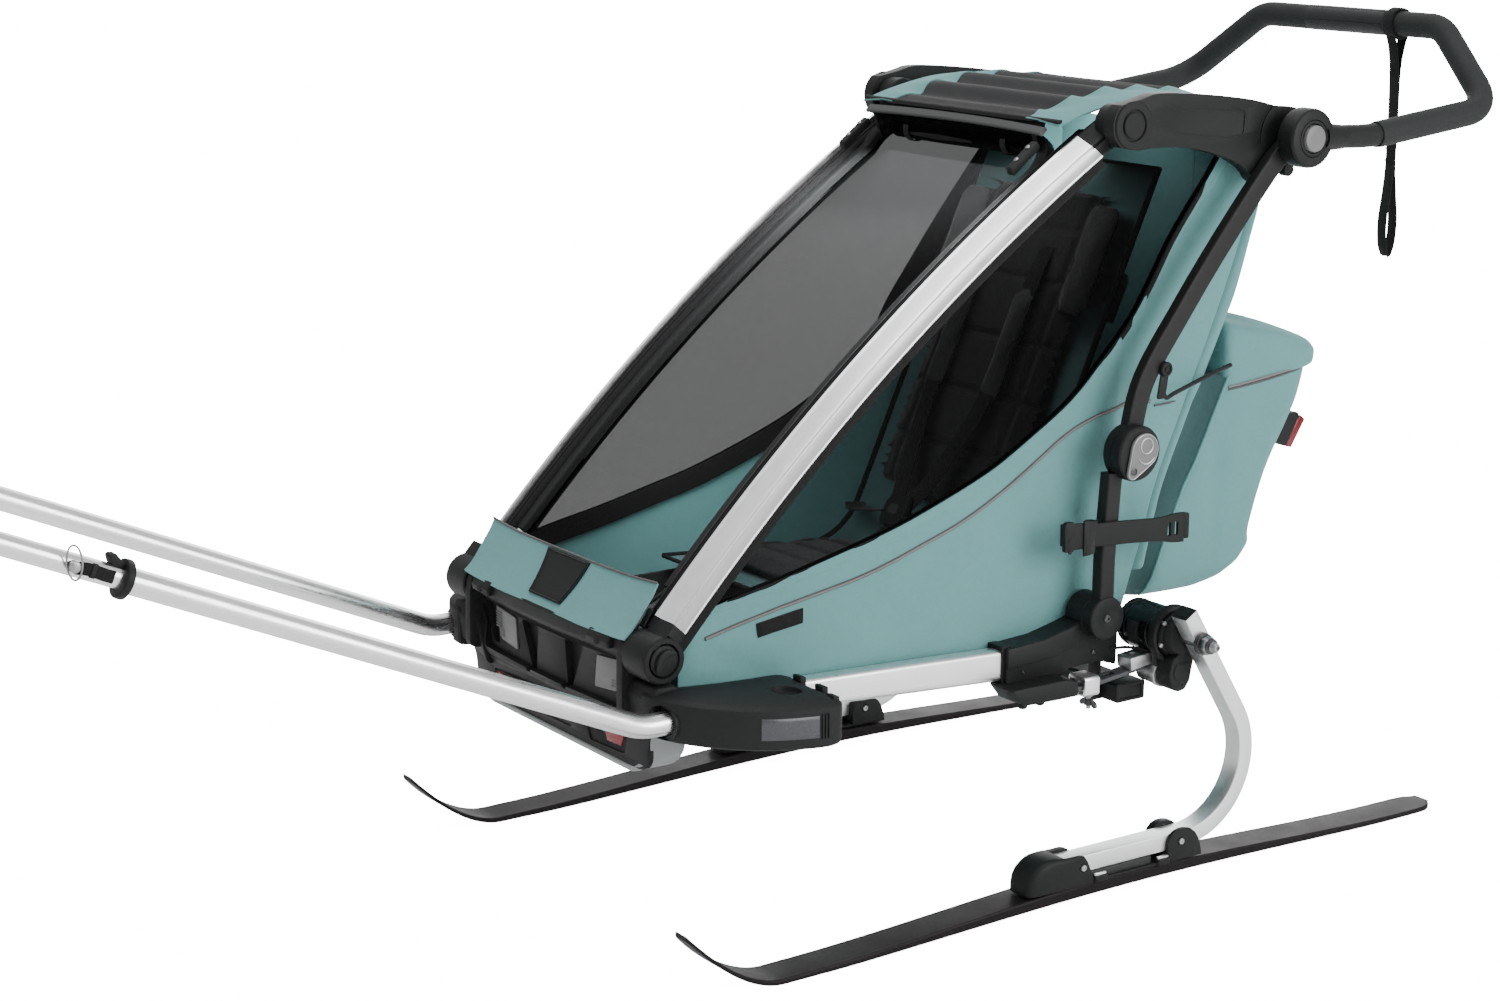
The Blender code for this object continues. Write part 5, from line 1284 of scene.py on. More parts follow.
strip_i = [i for i in outer_i if -0.018 < plan_line[i][1] < 0.050]
rows = [[face_pt(i, f, 0.0008 * (0.2 if f in (0.16, 0.86) else 1.0)) for i in strip_i] for f in (0.16, 0.18, 0.34, 0.52, 0.70, 0.84, 0.86)]
reflector = dress(grid("reflector", rows, 0.0010), REFLECT_DARK, 50)
ribs = []
for y in (0.0535, 0.0575, 0.0615):
    i = min(outer_i, key=lambda k: abs(plan_line[k][1] - y))
    ribs.append(dress(sweep("rib", [face_pt(i, f, 0.0006) for f in (0.12, 0.4, 0.7, 0.90)], rounded(0.0016, 0.0022, 0.0007, 2), side=(0, 1, 0)), BLACK_SOFT))
tabs = []
for x, y, z, s in ((0.2985, 0.0800, 0.2905, 1), (0.2300, 0.0860, 0.2930, 0), (0.2700, 0.0860, 0.2925, 0)):
    tb = slab_x("tab", round_poly([(y - 0.0060, z - 0.0060), (y + 0.0016, z - 0.0100), (y + 0.0016, z + 0.0045), (y - 0.0060, z + 0.0060)], 0.0015), x - 0.0070, x + 0.0070)
    tabs.append(dress(bevel(tb, 0.0012), BLACK_SOFT))
pin = dress(turned("pin", (0.2680, 0.0400, 0.2915), "z", [(0, 0.0022), (0.0012, 0.0022), (0.0016, 0.0012)], 16), SCREW)
sock = join("sock", socket, neck, shoulder, collar, reflector, pin, *ribs, *tabs)
pair(sock, "corner_socket_wing", "chassis", "corner_socket")

# ================================================================== bumper hoop, skirt and front panel
hoop_path = fillet([(0.2060, -0.0690, 0.2640), (0.2060, -0.0690, 0.2080), (-0.2060, -0.0690, 0.2080), (-0.2060, -0.0690, 0.2640)], [0.0460, 0.0460], 14)
hoop = dress(sweep("hoop", hoop_path, rounded(0.0460, 0.0070, 0.0026, 5), side=(0, 1, 0)), GREY_HOOP, 30)
for v in hoop.data.vertices:
    v.co.x *= 0.905
    v.co.y += 0.0080 + 0.0080 * (v.co.x / 0.190) ** 2
    v.co.z -= 0.0050 * (v.co.z < 0.2300)
put(hoop, "bumper_hoop_shell", "chassis", "bumper_hoop")

skirt = slab_y("skirt", round_poly([(-0.2020, 0.2530), (-0.2020, 0.2118), (0.2020, 0.2118), (0.2020, 0.2530), (0.1880, 0.2600), (-0.1880, 0.2600)], [0.004, 0.042, 0.042, 0.004, 0.01, 0.01], 8), -0.0935, -0.0880)
for x0, x1 in ((-0.150, -0.060), (0.075, 0.165)):
    cut(skirt, slab_y("pocket", round_poly([(x0, 0.2440), (x1, 0.2440), (x1 - 0.010, 0.2225), (x0 + 0.012, 0.2225)], 0.003), -0.0960, -0.0912))
cut(skirt, slab_y("slot", round_poly([(-0.035, 0.2290), (0.045, 0.2290), (0.045, 0.2270), (-0.035, 0.2270)], 0.0008), -0.0960, -0.0920))
bevel(skirt, 0.0012, 2)
dress(skirt, BLACK, 35)
bits = [skirt]
for s in (-1, 1):
    lens = slab_y("lens", round_poly([(s * 0.112, 0.2405), (s * 0.155, 0.2405), (s * 0.147, 0.2290), (s * 0.120, 0.2290)], 0.002), -0.0922, -0.0905)
    bits.append(dress(bevel(lens, 0.0005), RED))
    net_rows = [[(s * (0.0950 + 0.0660 * i / 8), -0.0914, 0.2245 + 0.0180 * k / 4) for i in range(9)] for k in range(5)]
    bits.append(dress(grid("net", net_rows), NET))
# main face: lip at the top, posts at both ends, recessed field with tapered slots
face = slab_x("face", round_poly([(-0.0930, 0.2450), (-0.0900, 0.2600), (-0.0900, 0.3300), (-0.0840, 0.3440), (-0.0720, 0.3440), (-0.0700, 0.2450)], 0.004), -0.1560, 0.1560)
lowface = slab_x("lowface", round_poly([(-0.0940, 0.2440), (-0.0945, 0.2700), (-0.0900, 0.2960), (-0.0700, 0.2960), (-0.0700, 0.2440)], 0.003), -0.1900, 0.1900)
fuse(face, lowface)
cut(face, slab_y("field", round_poly([(-0.1480, 0.3240), (0.1480, 0.3240), (0.1440, 0.2690), (-0.1440, 0.2690)], 0.006), -0.1100, -0.0855))
for pts in ([(-0.0640, 0.3180), (-0.0280, 0.3180), (-0.0340, 0.2660), (-0.0420, 0.2650)], [(0.0640, 0.3180), (0.0280, 0.3180), (0.0340, 0.2660), (0.0420, 0.2650)],
            [(-0.1460, 0.3200), (-0.1200, 0.3200), (-0.1230, 0.2760), (-0.1380, 0.2760)], [(0.1460, 0.3200), (0.1360, 0.3200), (0.1380, 0.2760), (0.1430, 0.2760)]):
    cut(face, slab_y("slot", round_poly(pts, 0.003), -0.1100, -0.0770))
cut(face, slab_x("groove", [(-0.0970, 0.2600), (-0.0930, 0.2594), (-0.0930, 0.2586), (-0.0970, 0.2580)], -0.1500, 0.1500))
bevel(face, 0.0014, 2)
dress(face, BLACK, 35)
bits.append(face)
for s in (-1, 1):
    post = slab_x("post", round_poly([(-0.0990, 0.2480), (-0.1010, 0.3180), (-0.0940, 0.3300), (-0.0840, 0.3300), (-0.0840, 0.2480)], 0.004), s * 0.1570 - 0.0050 * (s > 0) - 0.0010, s * 0.1570 + 0.0050 * (s < 0) + 0.0010)
    bits.append(dress(bevel(post, 0.0015), BLACK))
for s in (-1, 1):
    w0, w1 = (0.0750, 0.1180) if s < 0 else (0.0900, 0.1330)
    plate = slab_y("plate", round_poly([(s * w0, 0.3160), (s * w1, 0.3200), (s * w1, 0.2860), (s * (w1 - 0.006), 0.2830), (s * w0, 0.2800)], 0.002), -0.0872, -0.0850)
    bits.append(dress(bevel(plate, 0.0005), REFLECT_GREY))
    for k in range(9):
        z = 0.2870 + 0.0032 * k
        rib = slab_y("rib", [(s * (w1 - 0.011), z), (s * (w1 - 0.001), z), (s * (w1 - 0.001), z + 0.0015), (s * (w1 - 0.011), z + 0.0015)], -0.0880, -0.0868)
        bits.append(dress(rib, REFLECT_GREY))
# rounded lip with two latch bumps
lip = sweep("lip", [(x, -0.0925 + 0.0030 * (x / 0.158) ** 2, 0.3405) for x in np.linspace(-0.1575, 0.1575, 25)], round_poly([(-0.0100, -0.0110), (0.0060, -0.0110), (0.0105, 0.0020), (0.0060, 0.0100), (-0.0060, 0.0110), (-0.0110, 0.0040)], 0.004, 4), side=(0, 1, 0))
dress(lip, BLACK, 35)
bits.append(lip)
for s in (-1, 1):
    for xx, w in ((0.1180, 0.0180),):
        b_ = slab_x("latch", round_poly([(-0.1075, 0.3370), (-0.1090, 0.3450), (-0.1030, 0.3525), (-0.0930, 0.3530), (-0.0930, 0.3370)], 0.0030, 4), s * xx - w, s * xx + w)
        bevel(b_, 0.0028, 3)
        bits.append(dress(b_, BLACK, 40))
        nose = turned("nose", (s * xx, -0.1060, 0.3440), (0, -0.9, 0.44), [(0, 0.0060), (0.0020, 0.0060), (0.0032, 0.0045), (0.0034, 0.0020)], 22)
        bits.append(dress(nose, BLACK))
    for xx in (0.028, 0.062):
        bits.append(dress(slab_y("clip", round_poly([(s * xx - 0.005, 0.3288), (s * xx + 0.005, 0.3288), (s * xx + 0.005, 0.3262), (s * xx - 0.005, 0.3262)], 0.0006), -0.0912, -0.0895), TAPE))
front_all = join("front", *bits)
for v in front_all.data.vertices:
    low_ = min(1.0, max(0.0, (0.2700 - v.co.z) / 0.0250))
    v.co.y += 0.0100 * (v.co.x / 0.190) ** 2 + 0.0060 * low_
    v.co.x *= (1.0 + 0.085 * min(1.0, abs(v.co.x) / 0.15)) if v.co.z > 0.2960 else 1.0 - 0.085 * low_
    v.co.z -= 0.0050 * (v.co.z < 0.2300)
put(front_all, "front_panel_moulding", "chassis", "front_panel")

# ================================================================== pillar ends
t0 = np.array(MID[0]) - np.array(MID[1])
t0 = t0 / np.linalg.norm(t0)
nrm0 = np.array((-t0[1], t0[0]))
f0 = np.array(MID[0])
foot_disc = dress(turned("foot", (0.1700, A[0], A[1]), "x", [(0, 0.0245), (0.0015, 0.0260), (0.0395, 0.0260), (0.0420, 0.0252), (0.0434, 0.0236), (0.0435, 0.0190), (0.0422, 0.0180), (0.0385, 0.0172), (0.0382, 0.0050)], 64), BLACK, 28)
neck_prof = [(a * 1.02, b * 1.0) for a, b in prof]
necks = dress(sweep("neck", [(PX,) + tuple(f0 + t0 * 0.0340), (PX,) + tuple(f0 + t0 * 0.0200), (PX,) + tuple(f0 + t0 * 0.0003)], [(-a, b) for a, b in neck_prof][::-1], side=(-1, 0, 0)), BLACK, 35)
sleeve_lo = dress(sweep("sleeve", [(PX,) + tuple(f0 + t0 * 0.0130), (PX,) + tuple(f0 + t0 * 0.0003)], rounded(0.0336, 0.0246, 0.0050, 4, 0, 0.0006), side=(-1, 0, 0)), BLACK, 35)
pair(join("foot", foot_disc, necks, sleeve_lo), "pillar_foot_moulding", "front_frame", "pillar_foot")

knob = turned("knob", (0.2090, A[0], A[1]), "x", [(0, 0.0168), (0.0040, 0.0168), (0.0050, 0.0158), (0.0052, 0.0060)], 48)
bevel(knob, 0.0004)
leaf_pts = [(A[0] + 0.0140, A[1] + 0.0075), (A[0] + 0.0020, A[1] + 0.0130), (A[0] - 0.0090, A[1] + 0.0060), (A[0] - 0.0120, A[1] - 0.0080), (A[0] - 0.0060, A[1] - 0.0105), (A[0] - 0.0030, A[1] + 0.0005), (A[0] + 0.0060, A[1] + 0.0060)]
lever = slab_x("lever", [tuple(q) for q in spline(leaf_pts, 40, closed=True)], 0.2125, 0.2185)
bevel(lever, 0.0018, 3)
pair(join("knob", dress(knob, BLACK, 30), dress(lever, BLACK_SOFT, 40)), "foot_lock_lever", "foot_lock", "foot_lock", per_side=True)

t1 = np.array(MID[-1]) - np.array(MID[-2])
t1 = t1 / np.linalg.norm(t1)
f1 = np.array(MID[-1])
head_disc = dress(turned("head", (0.1890, B[0], B[1]), "x", [(0, 0.0205), (0.0012, 0.0215), (0.0223, 0.0215), (0.0235, 0.0205)], 48), BLACK, 30)
neck_path = [(PX,) + tuple(f1 + t1 * 0.0003), (PX,) + tuple(f1 + t1 * 0.0180), (PX,) + tuple(f1 + t1 * 0.0420)]
head_neck = dress(sweep("neck", neck_path, [(a, b) for a, b in prof], scale=lambda t: (1.0, 1.0 - 0.06 * t)), BLACK, 35)
pair(join("head", head_disc, head_neck), "pillar_head_moulding", "front_frame", "pillar_head")

# ================================================================== long top bracket
by, bz = B
hy, hz = C
outline = arc(by, bz, 0.0290, 235, 128, 14)
top_curve = [tuple(q) for q in spline([outline[-1], (0.5420, 0.8812), (0.5670, 0.8862), (0.6270, 0.8822), (0.7000, 0.8735), (0.7520, 0.8615)], 26)]
low_curve = [tuple(q) for q in spline([(0.7650, 0.7955), (0.7500, 0.7890), (0.7420, 0.7820), (0.7180, 0.7770), (0.7060, 0.7900), (0.6850, 0.8030), (0.6500, 0.8150), (0.6100, 0.8235), (0.5650, 0.8262), (0.5300, 0.8240)], 30)]
bracket_line = outline[:-1] + top_curve + arc(hy, hz, 0.0330, 85, -85, 16) + low_curve[1:-1]
br = slab_x("bracket", bracket_line, 0.2130, 0.2300)
# shallow plate recess, left blank
cut(br, slab_x("recess", round_poly([(0.5800, 0.8710), (0.6980, 0.8600), (0.6960, 0.8340), (0.6700, 0.8310), (0.5960, 0.8400), (0.5860, 0.8470)], 0.004), 0.2288, 0.2400))
# step before the barrel
cut(br, slab_x("step", arc(hy, hz, 0.0440, 190, 120, 12) + arc(hy, hz, 0.0425, 120, 190, 12), 0.2286, 0.2400))
bevel(br, 0.0030, 4, 50)
dress(br, BLACK, 30)
ring = dress(turned("ring", (0.2290, by, bz), "x", [(0, 0.0268), (0.0016, 0.0268), (0.0028, 0.0255), (0.0030, 0.0180), (0.0022, 0.0172), (0.0012, 0.0168), (0.0012, 0.0050)], 64), BLACK, 28)
knob = dress(turned("btn", (0.2290, by, bz), "x", [(0.0010, 0.0148), (0.0028, 0.0148), (0.0036, 0.0138), (0.0038, 0.0040)], 56), BLACK_SOFT, 30)
pads = []
for yy, zz, r in ((0.7260, 0.7800, 0.0075), (0.7740, 0.7880, 0.0080)):
    pads.append(dress(turned("lug", (0.2145, yy, zz), "x", [(0, r * 0.9), (0.0010, r), (0.0110, r), (0.0120, r * 0.9)], 28), BLACK, 35))
pair(join("bracket", br, ring, knob, *pads), "top_bracket_moulding", "top_frame", "top_bracket")

# ================================================================== upper uprights
su = 0.2391
ucurve = [tuple(q) for q in spline([(su, 0.5290, 0.5000), (su, 0.5490, 0.5680), (su, 0.6020, 0.6420), (su, 0.6590, 0.7140), (su, 0.7250, 0.7900), (su, 0.7580, 0.8200)], 60)]
uprof = round_poly([(-0.0069, -0.0120), (0.0069, -0.0120), (0.0069, 0.0120), (-0.0069, 0.0120)], 0.0022, 4)
bar = dress(sweep("bar", ucurve, uprof), BLACK_BROWN, 40)
eye = dress(turned("eye", (0.2327, HUB[0], HUB[1]), "x", [(0, 0.0185), (0.0008, 0.0195), (0.0122, 0.0195), (0.0130, 0.0185)], 48), BLACK, 30)
eye2 = dress(turned("eye2", (0.2330, C[0] - 0.004, C[1] - 0.003), "x", [(0, 0.0162), (0.0008, 0.0170), (0.0122, 0.0170), (0.0125, 0.0162)], 40), BLACK, 30)
kn = (0.5735, 0.5789)
ring_knob = dress(turned("ring_knob", (0.2440, kn[0], kn[1]), "x", [(0, 0.0085), (0.0060, 0.0085), (0.0072, 0.0075), (0.0072, 0.0055), (0.0058, 0.0048), (0.0058, 0.0030), (0.0068, 0.0024), (0.0068, 0.0010)], 36), BLACK, 30)
tab_l = slab_x("tab", round_poly([(kn[0] - 0.006, kn[1] - 0.004), (kn[0] + 0.006, kn[1] - 0.004), (kn[0] + 0.001, kn[1] - 0.034), (kn[0] - 0.011, kn[1] - 0.034)], 0.003), 0.2455, 0.2480)
dress(bevel(tab_l, 0.0008), BLACK)
hook = dress(sweep("hook", spline([(0.2460, 0.5720, 0.5520), (0.2440, 0.5800, 0.5445), (0.2380, 0.5960, 0.5465), (0.2200, 0.6420, 0.5505), (0.1990, 0.6960, 0.5545), (0.1880, 0.7230, 0.5560), (0.1850, 0.7330, 0.5568)], 40), circle(0.0026, 12), round_end=0.0026), BLACK, 50)
pair(join("upper", bar, eye, eye2, ring_knob, tab_l, hook), "upper_upright_bar", "uprights", "upper_upright")

# ================================================================== fold lock plate


def teardrop(y, z, r, y2, z2, r2, n=30):
    d = math.hypot(y2 - y, z2 - z)
    a = math.degrees(math.atan2(z2 - z, y2 - y))
    w = math.degrees(math.acos((r - r2) / d))
    return arc(y, z, r, a + w, a + 360 - w, n) + arc(y2, z2, r2, a - w, a + w, 8)


plate = slab_x("plate", teardrop(0.5310, 0.4930, 0.0200, 0.5140, 0.4690, 0.0080), 0.2623, 0.2658)
bevel(plate, 0.0012, 3)
dress(plate, GREY_MID, 30)
ring_r = dress(sweep("ring", [(0.2660, 0.5330 + 0.0088 * math.cos(a), 0.4985 + 0.0088 * math.sin(a)) for a in np.linspace(0, 2 * math.pi, 49)] + [(0.2660, 0.5330 + 0.0088 * math.cos(0.13), 0.4985 + 0.0088 * math.sin(0.13))], circle(0.0008, 8)), ALLOY_CAST)
crescent = dress(sweep("crescent", [(0.2660, 0.5330 + 0.0125 * math.cos(a), 0.4905 + 0.0125 * math.sin(a)) for a in np.linspace(math.radians(205), math.radians(330), 22)], circle(0.0008, 8), scale=lambda t: 0.5 + math.sin(math.pi * t) * 0.7), ALLOY_CAST)
rim = teardrop(0.5310, 0.4930, 0.0186, 0.5140, 0.4690, 0.0066)
rim_l = dress(sweep("rim", [(0.2659, y, z) for y, z in rim] + [(0.2659,) + tuple(rim[0])], circle(0.0005, 6)), ALLOY_CAST)
key = dress(turned("key", (0.2655, 0.5150, 0.4708), "x", [(0, 0.0042), (0.0012, 0.0042), (0.0014, 0.0034), (0.0004, 0.0028)], 28), SCREW, 30)
pair(join("plate", plate, ring_r, crescent, rim_l, key), "fold_lock_plate", "fold_lock", "fold_lock", per_side=True)

# ================================================================== handlebar
hprof = circle(0.0135, 28)
half = [(0.2606, 0.7800, 0.8280), (0.2602, 0.8700, 0.8240), (0.2640, 1.0620, 0.8460), (0.1540, 1.0940, 0.9340)]
full = half + [(-x, y, z) for x, y, z in half[::-1]]
bar_path = [tuple(q) for q in evenly(fillet(full, [0.30, 0.050, 0.050, 0.050, 0.050, 0.30], 14), 260)]
tube = dress(sweep("tube", bar_path, hprof, side=(0, 0, 1)), BLACK_SOFT, 40)
parts = [tube]
for s in (1, -1):
    b_ = turned("barrel", (0, hy, hz), "x", [(s * 0.2463, 0.0318), (s * 0.2470, 0.0330), (s * 0.2485, 0.0338), (s * 0.2500, 0.0340), (s * 0.2655, 0.0340), (s * 0.2688, 0.0333), (s * 0.2708, 0.0316), (s * 0.2718, 0.0290),
                                                     (s * 0.2720, 0.0222), (s * 0.2716, 0.0214), (s * 0.2700, 0.0210), (s * 0.2716, 0.0206), (s * 0.2720, 0.0196), (s * 0.2718, 0.0172), (s * 0.2690, 0.0168), (s * 0.2660, 0.0166), (s * 0.2655, 0.0040)], 72)
    pocket = turned("pocket", (0, hy, hz), "x", [(s * 0.2640, 0.0164), (s * 0.2760, 0.0164)], 56)
    cut(b_, pocket)
    parts.append(dress(b_, BLACK, 28))
    stub = sweep("stub", [(s * 0.2604, 0.7860, 0.8276), (s * 0.2602, 0.8200, 0.8258)], circle(0.0165, 32), side=(0, 0, 1), scale=lambda t: 1.0 - 0.16 * t)
    parts.append(dress(stub, BLACK, 35))
put(join("bar", *parts), "handlebar_tube", "handlebar", "handlebar")

grip_pts = [p for p in bar_path if p[1] > 0.8720]
grip_main = dress(sweep("grip", grip_pts, circle(0.0155, 32), side=(0, 0, 1), scale=lambda t: 1.0 - 0.05 * (1 - step(t, 0.0, 0.004)) - 0.05 * step(t, 0.996, 1.0)), RUBBER, 50)
cap_parts = [grip_main]
for e in (0, -1):
    q, d = np.array(grip_pts[e]), np.array(grip_pts[1 if e == 0 else -2]) - np.array(grip_pts[e])
    d = d / np.linalg.norm(d)
    cap_parts.append(dress(turned("seam", tuple(q - d * 0.0009), tuple(d), [(0, 0.0141), (0.0003, 0.0148), (0.0006, 0.0150), (0.0009, 0.0150)], 32), TAPE, 40))
# smoother panel round the middle of the crosspiece
mid_pts = [p for p in bar_path if abs(p[0]) < 0.0690 and p[1] > 1.0]
panel_m = dress(sweep("panel", mid_pts, circle(0.01585, 32), side=(0, 0, 1), scale=lambda t: 1.0 - 0.02 * (1 - step(t, 0.0, 0.02)) - 0.02 * step(t, 0.98, 1.0)), RUBBER_SMOOTH, 50)
cap_parts.append(panel_m)
for dz in (-1, 1):
    cap_parts.append(dress(sweep("line", [(p[0], p[1] + 0.0155 * math.cos(0.6 * dz + 2.6), p[2] + 0.0155 * math.sin(0.6 * dz + 2.6)) for p in mid_pts], circle(0.0006, 6), side=(0, 0, 1)), TAPE))
put(join("grip", *cap_parts), "handlebar_grip_cover", "handlebar", "handle_grip")

btn = dress(turned("btn", (0.2685, hy, hz), "x", [(0, 0.0155), (0.0050, 0.0155), (0.0064, 0.0148), (0.0070, 0.0134), (0.0069, 0.0060), (0.0067, 0.0020)], 56), GREY_MID, 30)
pair(btn, "handle_button_cap", "handle_button", "handle_button", per_side=True)

# ================================================================== leaf spring, its clamp
lx = 0.2420
leaf_path = spline([(lx, 0.4503, 0.2240), (lx, 0.4700, 0.2250), (lx, 0.4920, 0.2268), (lx, 0.5250, 0.2306), (lx, 0.5600, 0.2352), (lx, 0.5860, 0.2384)], 28)
leaf = sweep("leaf", leaf_path, rounded(0.0200, 0.0050, 0.0012, 3))
cut(leaf, block("slot", lx - 0.0042, lx + 0.0042, 0.5010, 0.5130, 0.2295, 0.2360))
bevel(leaf, 0.0003, 1, 60)
dress(leaf, LEAF, 35)
leaf_bits = [leaf]
for y in (0.5045, 0.5095):
    leaf_bits.append(dress(turned("pin", (lx, y, 0.2288), "z", [(0, 0.0015), (0.0010, 0.0015), (0.0012, 0.0012)], 16), BLACK, 30))
pair(join("leaf", *leaf_bits), "leaf_spring_blade", "chassis", "leaf_spring")
clamp = slab_y("clamp", rounded(0.0290, 0.0230, 0.0036, 5, lx, 0.2255), 0.4600, 0.4820)
cut(clamp, slab_y("way", rounded(0.0222, 0.0155, 0.0018, 4, lx, 0.2245), 0.4500, 0.4900))
bevel(clamp, 0.0009, 2)
dress(clamp, ALLOY, 30)
bits = [clamp]
bits.append(dress(turned("bolt", (0.2500, 0.4710, 0.2137), "z", [(0.0004, 0.0046), (-0.0008, 0.0046), (-0.0010, 0.0028), (-0.0150, 0.0028), (-0.0154, 0.0022)], 24), STEEL, 30))
bits.append(dress(turned("barrel", (0.2500, 0.4710, 0.2100), "z", [(0, 0.0044), (-0.0012, 0.0050), (-0.0060, 0.0056), (-0.0072, 0.0050)], 24), SCREW, 30))
for sx in (1, -1):
    outline = spline([(0.2500 + sx * 0.0020, 0.2105), (0.2500 + sx * 0.0060, 0.2100), (0.2500 + sx * 0.0110, 0.2080), (0.2500 + sx * 0.0140, 0.2045), (0.2500 + sx * 0.0125, 0.2010), (0.2500 + sx * 0.0085, 0.2012), (0.2500 + sx * 0.0050, 0.2040), (0.2500 + sx * 0.0020, 0.2042)], 28, True)
    wing = slab_y("wing", [tuple(q) for q in outline], 0.4690, 0.4730)
    bits.append(dress(bevel(wing, 0.0007, 2), SCREW, 40))
pair(join("clamp", *bits), "spring_clamp_bracket", "spring_clamp", "spring_clamp", per_side=True)

# ================================================================== hub with its brake drum, guard and caliper
ay, az_ = AXLE
hub_bits = []
hub_bits.append(dress(turned("drum", (0, ay, az_), "x", [(0.2050, 0.0080), (0.2050, 0.0242), (0.2056, 0.0262), (0.2070, 0.0276), (0.2096, 0.0283), (0.2150, 0.0286), (0.2160, 0.0280), (0.2172, 0.0270), (0.2184, 0.0278), (0.2290, 0.0281),
                                                                        (0.2500, 0.0284), (0.2560, 0.0284), (0.2566, 0.0276), (0.2582, 0.0276), (0.2588, 0.0286), (0.2640, 0.0289), (0.2652, 0.0290), (0.2655, 0.0100)], 72), BLACK_GLOSS, 30))
# flat on the drum's front, a shallow panel inside a dark border
pan = []
for r0, grow, mat in ((0.0291, 0.0, BLACK), (0.0297, -0.0016, GREY_DARK)):
    rows = []
    for x in np.linspace(0.2250 - grow, 0.2440 + grow, 7):
        row = []
        for k in range(13):
            a = math.radians(152 - grow * 4000 + (216 - 152 + grow * 8000) * k / 12)
            row.append((x, ay + r0 * math.cos(a), az_ + r0 * math.sin(a)))
        rows.append(row)
    pan.append(dress(bevel(grid("pan", rows, 0.0012), 0.0003, 1, 60), mat, 40))
hub_bits += pan
guard = turned("guard", (0, ay, az_), "x", [(0.2660, 0.0120), (0.2660, 0.0322), (0.2668, 0.0336), (0.2684, 0.0340), (0.2762, 0.0340), (0.2776, 0.0334), (0.2780, 0.0322), (0.2780, 0.0298), (0.2772, 0.0294), (0.2740, 0.0290), (0.2736, 0.0240), (0.2740, 0.0120)], 80)
hub_bits.append(dress(guard, BLACK, 30))
hub_bits.append(dress(turned("dome", (0, ay, az_), "x", [(0.2741, 0.0270), (0.2770, 0.0262), (0.2800, 0.0244), (0.2806, 0.0232), (0.2860, 0.0226), (0.2900, 0.0200), (0.2920, 0.0150), (0.2922, 0.0066)], 64), BLACK, 28))
# bolts round the dome
for k in range(6):
    a = math.radians(20 + 60 * k)
    q = (0.2792, ay + 0.0253 * math.cos(a), az_ + 0.0253 * math.sin(a))
    hub_bits.append(dress(turned("bolt", q, "x", [(-0.0030, 0.0028), (0.0002, 0.0028), (0.0014, 0.0024), (0.0018, 0.0014), (0.0009, 0.0012)], 20), ALLOY_CAST, 30))
# bracket from the drum down to the caliper
br = slab_x("br", round_poly([(0.5540, 0.2590), (0.5640, 0.2660), (0.5840, 0.2520), (0.5860, 0.2330), (0.5600, 0.2300)], [0.004, 0.006, 0.006, 0.004, 0.005], 5), 0.2590, 0.2664)
hub_bits.append(dress(bevel(br, 0.0010, 2), GREY_DARK, 35))
for y, z, r in ((0.5590, 0.2550, 0.0026), (0.5730, 0.2480, 0.0031), (0.5800, 0.2380, 0.0024)):
    hub_bits.append(dress(turned("screw", (0.2668, y, z), "x", [(-0.0010, r), (0.0010, r), (0.0018, r * 0.75), (0.0018, r * 0.45), (0.0008, r * 0.40)], 20), ALLOY, 30))
# silver block that sits on the spring, with a sunk bolt
blk = slab_x("blk", round_poly([(0.5290, 0.2345), (0.5840, 0.2415), (0.5840, 0.2540), (0.5270, 0.2490)], 0.0012, 3), 0.2325, 0.2570)
cut(blk, turned("hole", (0.2447, 0.5400, 0.2465), "z", [(0, 0.0046), (0.0100, 0.0046)], 28))
bevel(blk, 0.0009, 2)
hub_bits.append(dress(blk, ALLOY_CAST, 30))
hub_bits.append(dress(turned("head", (0.2447, 0.5400, 0.2460), "z", [(0, 0.0036), (0.0030, 0.0036), (0.0036, 0.0030), (0.0036, 0.0020), (0.0018, 0.0018)], 24), STEEL, 30))
# caliper: a cast cylinder with a black end
hub_bits.append(dress(turned("cyl", (0, 0.5680, 0.2262), "x", [(0.2330, 0.0060), (0.2330, 0.0110), (0.2345, 0.0124), (0.2370, 0.0129), (0.2500, 0.0133), (0.2560, 0.0136), (0.2600, 0.0146), (0.2662, 0.0148), (0.2668, 0.0140)], 48), ALLOY_CAST, 30))
cal = slab_x("cal", round_poly([(0.5610, 0.2500), (0.5560, 0.2330), (0.5600, 0.2160), (0.5700, 0.2105), (0.5810, 0.2115), (0.5885, 0.2220), (0.5925, 0.2420), (0.5960, 0.2560), (0.5760, 0.2600)], [0.003, 0.006, 0.008, 0.008, 0.008, 0.006, 0.006, 0.003, 0.003], 6), 0.2674, 0.2905)
hub_bits.append(dress(bevel(cal, 0.0016, 3), BLACK, 35))
hub_bits.append(dress(turned("calscrew", (0.2905, 0.5750, 0.2190), "x", [(-0.0005, 0.0034), (0.0006, 0.0034), (0.0008, 0.0026), (-0.0002, 0.0024)], 24), GREY_DARK, 30))
ring_c = slab_x("ring_c", round_poly([(0.5620, 0.2340), (0.5650, 0.2250), (0.5830, 0.2260), (0.5880, 0.2360), (0.5870, 0.2440), (0.5660, 0.2440)], 0.004, 5), 0.2903, 0.2915)
hub_bits.append(dress(bevel(ring_c, 0.0005, 2), BLACK_SOFT, 35))
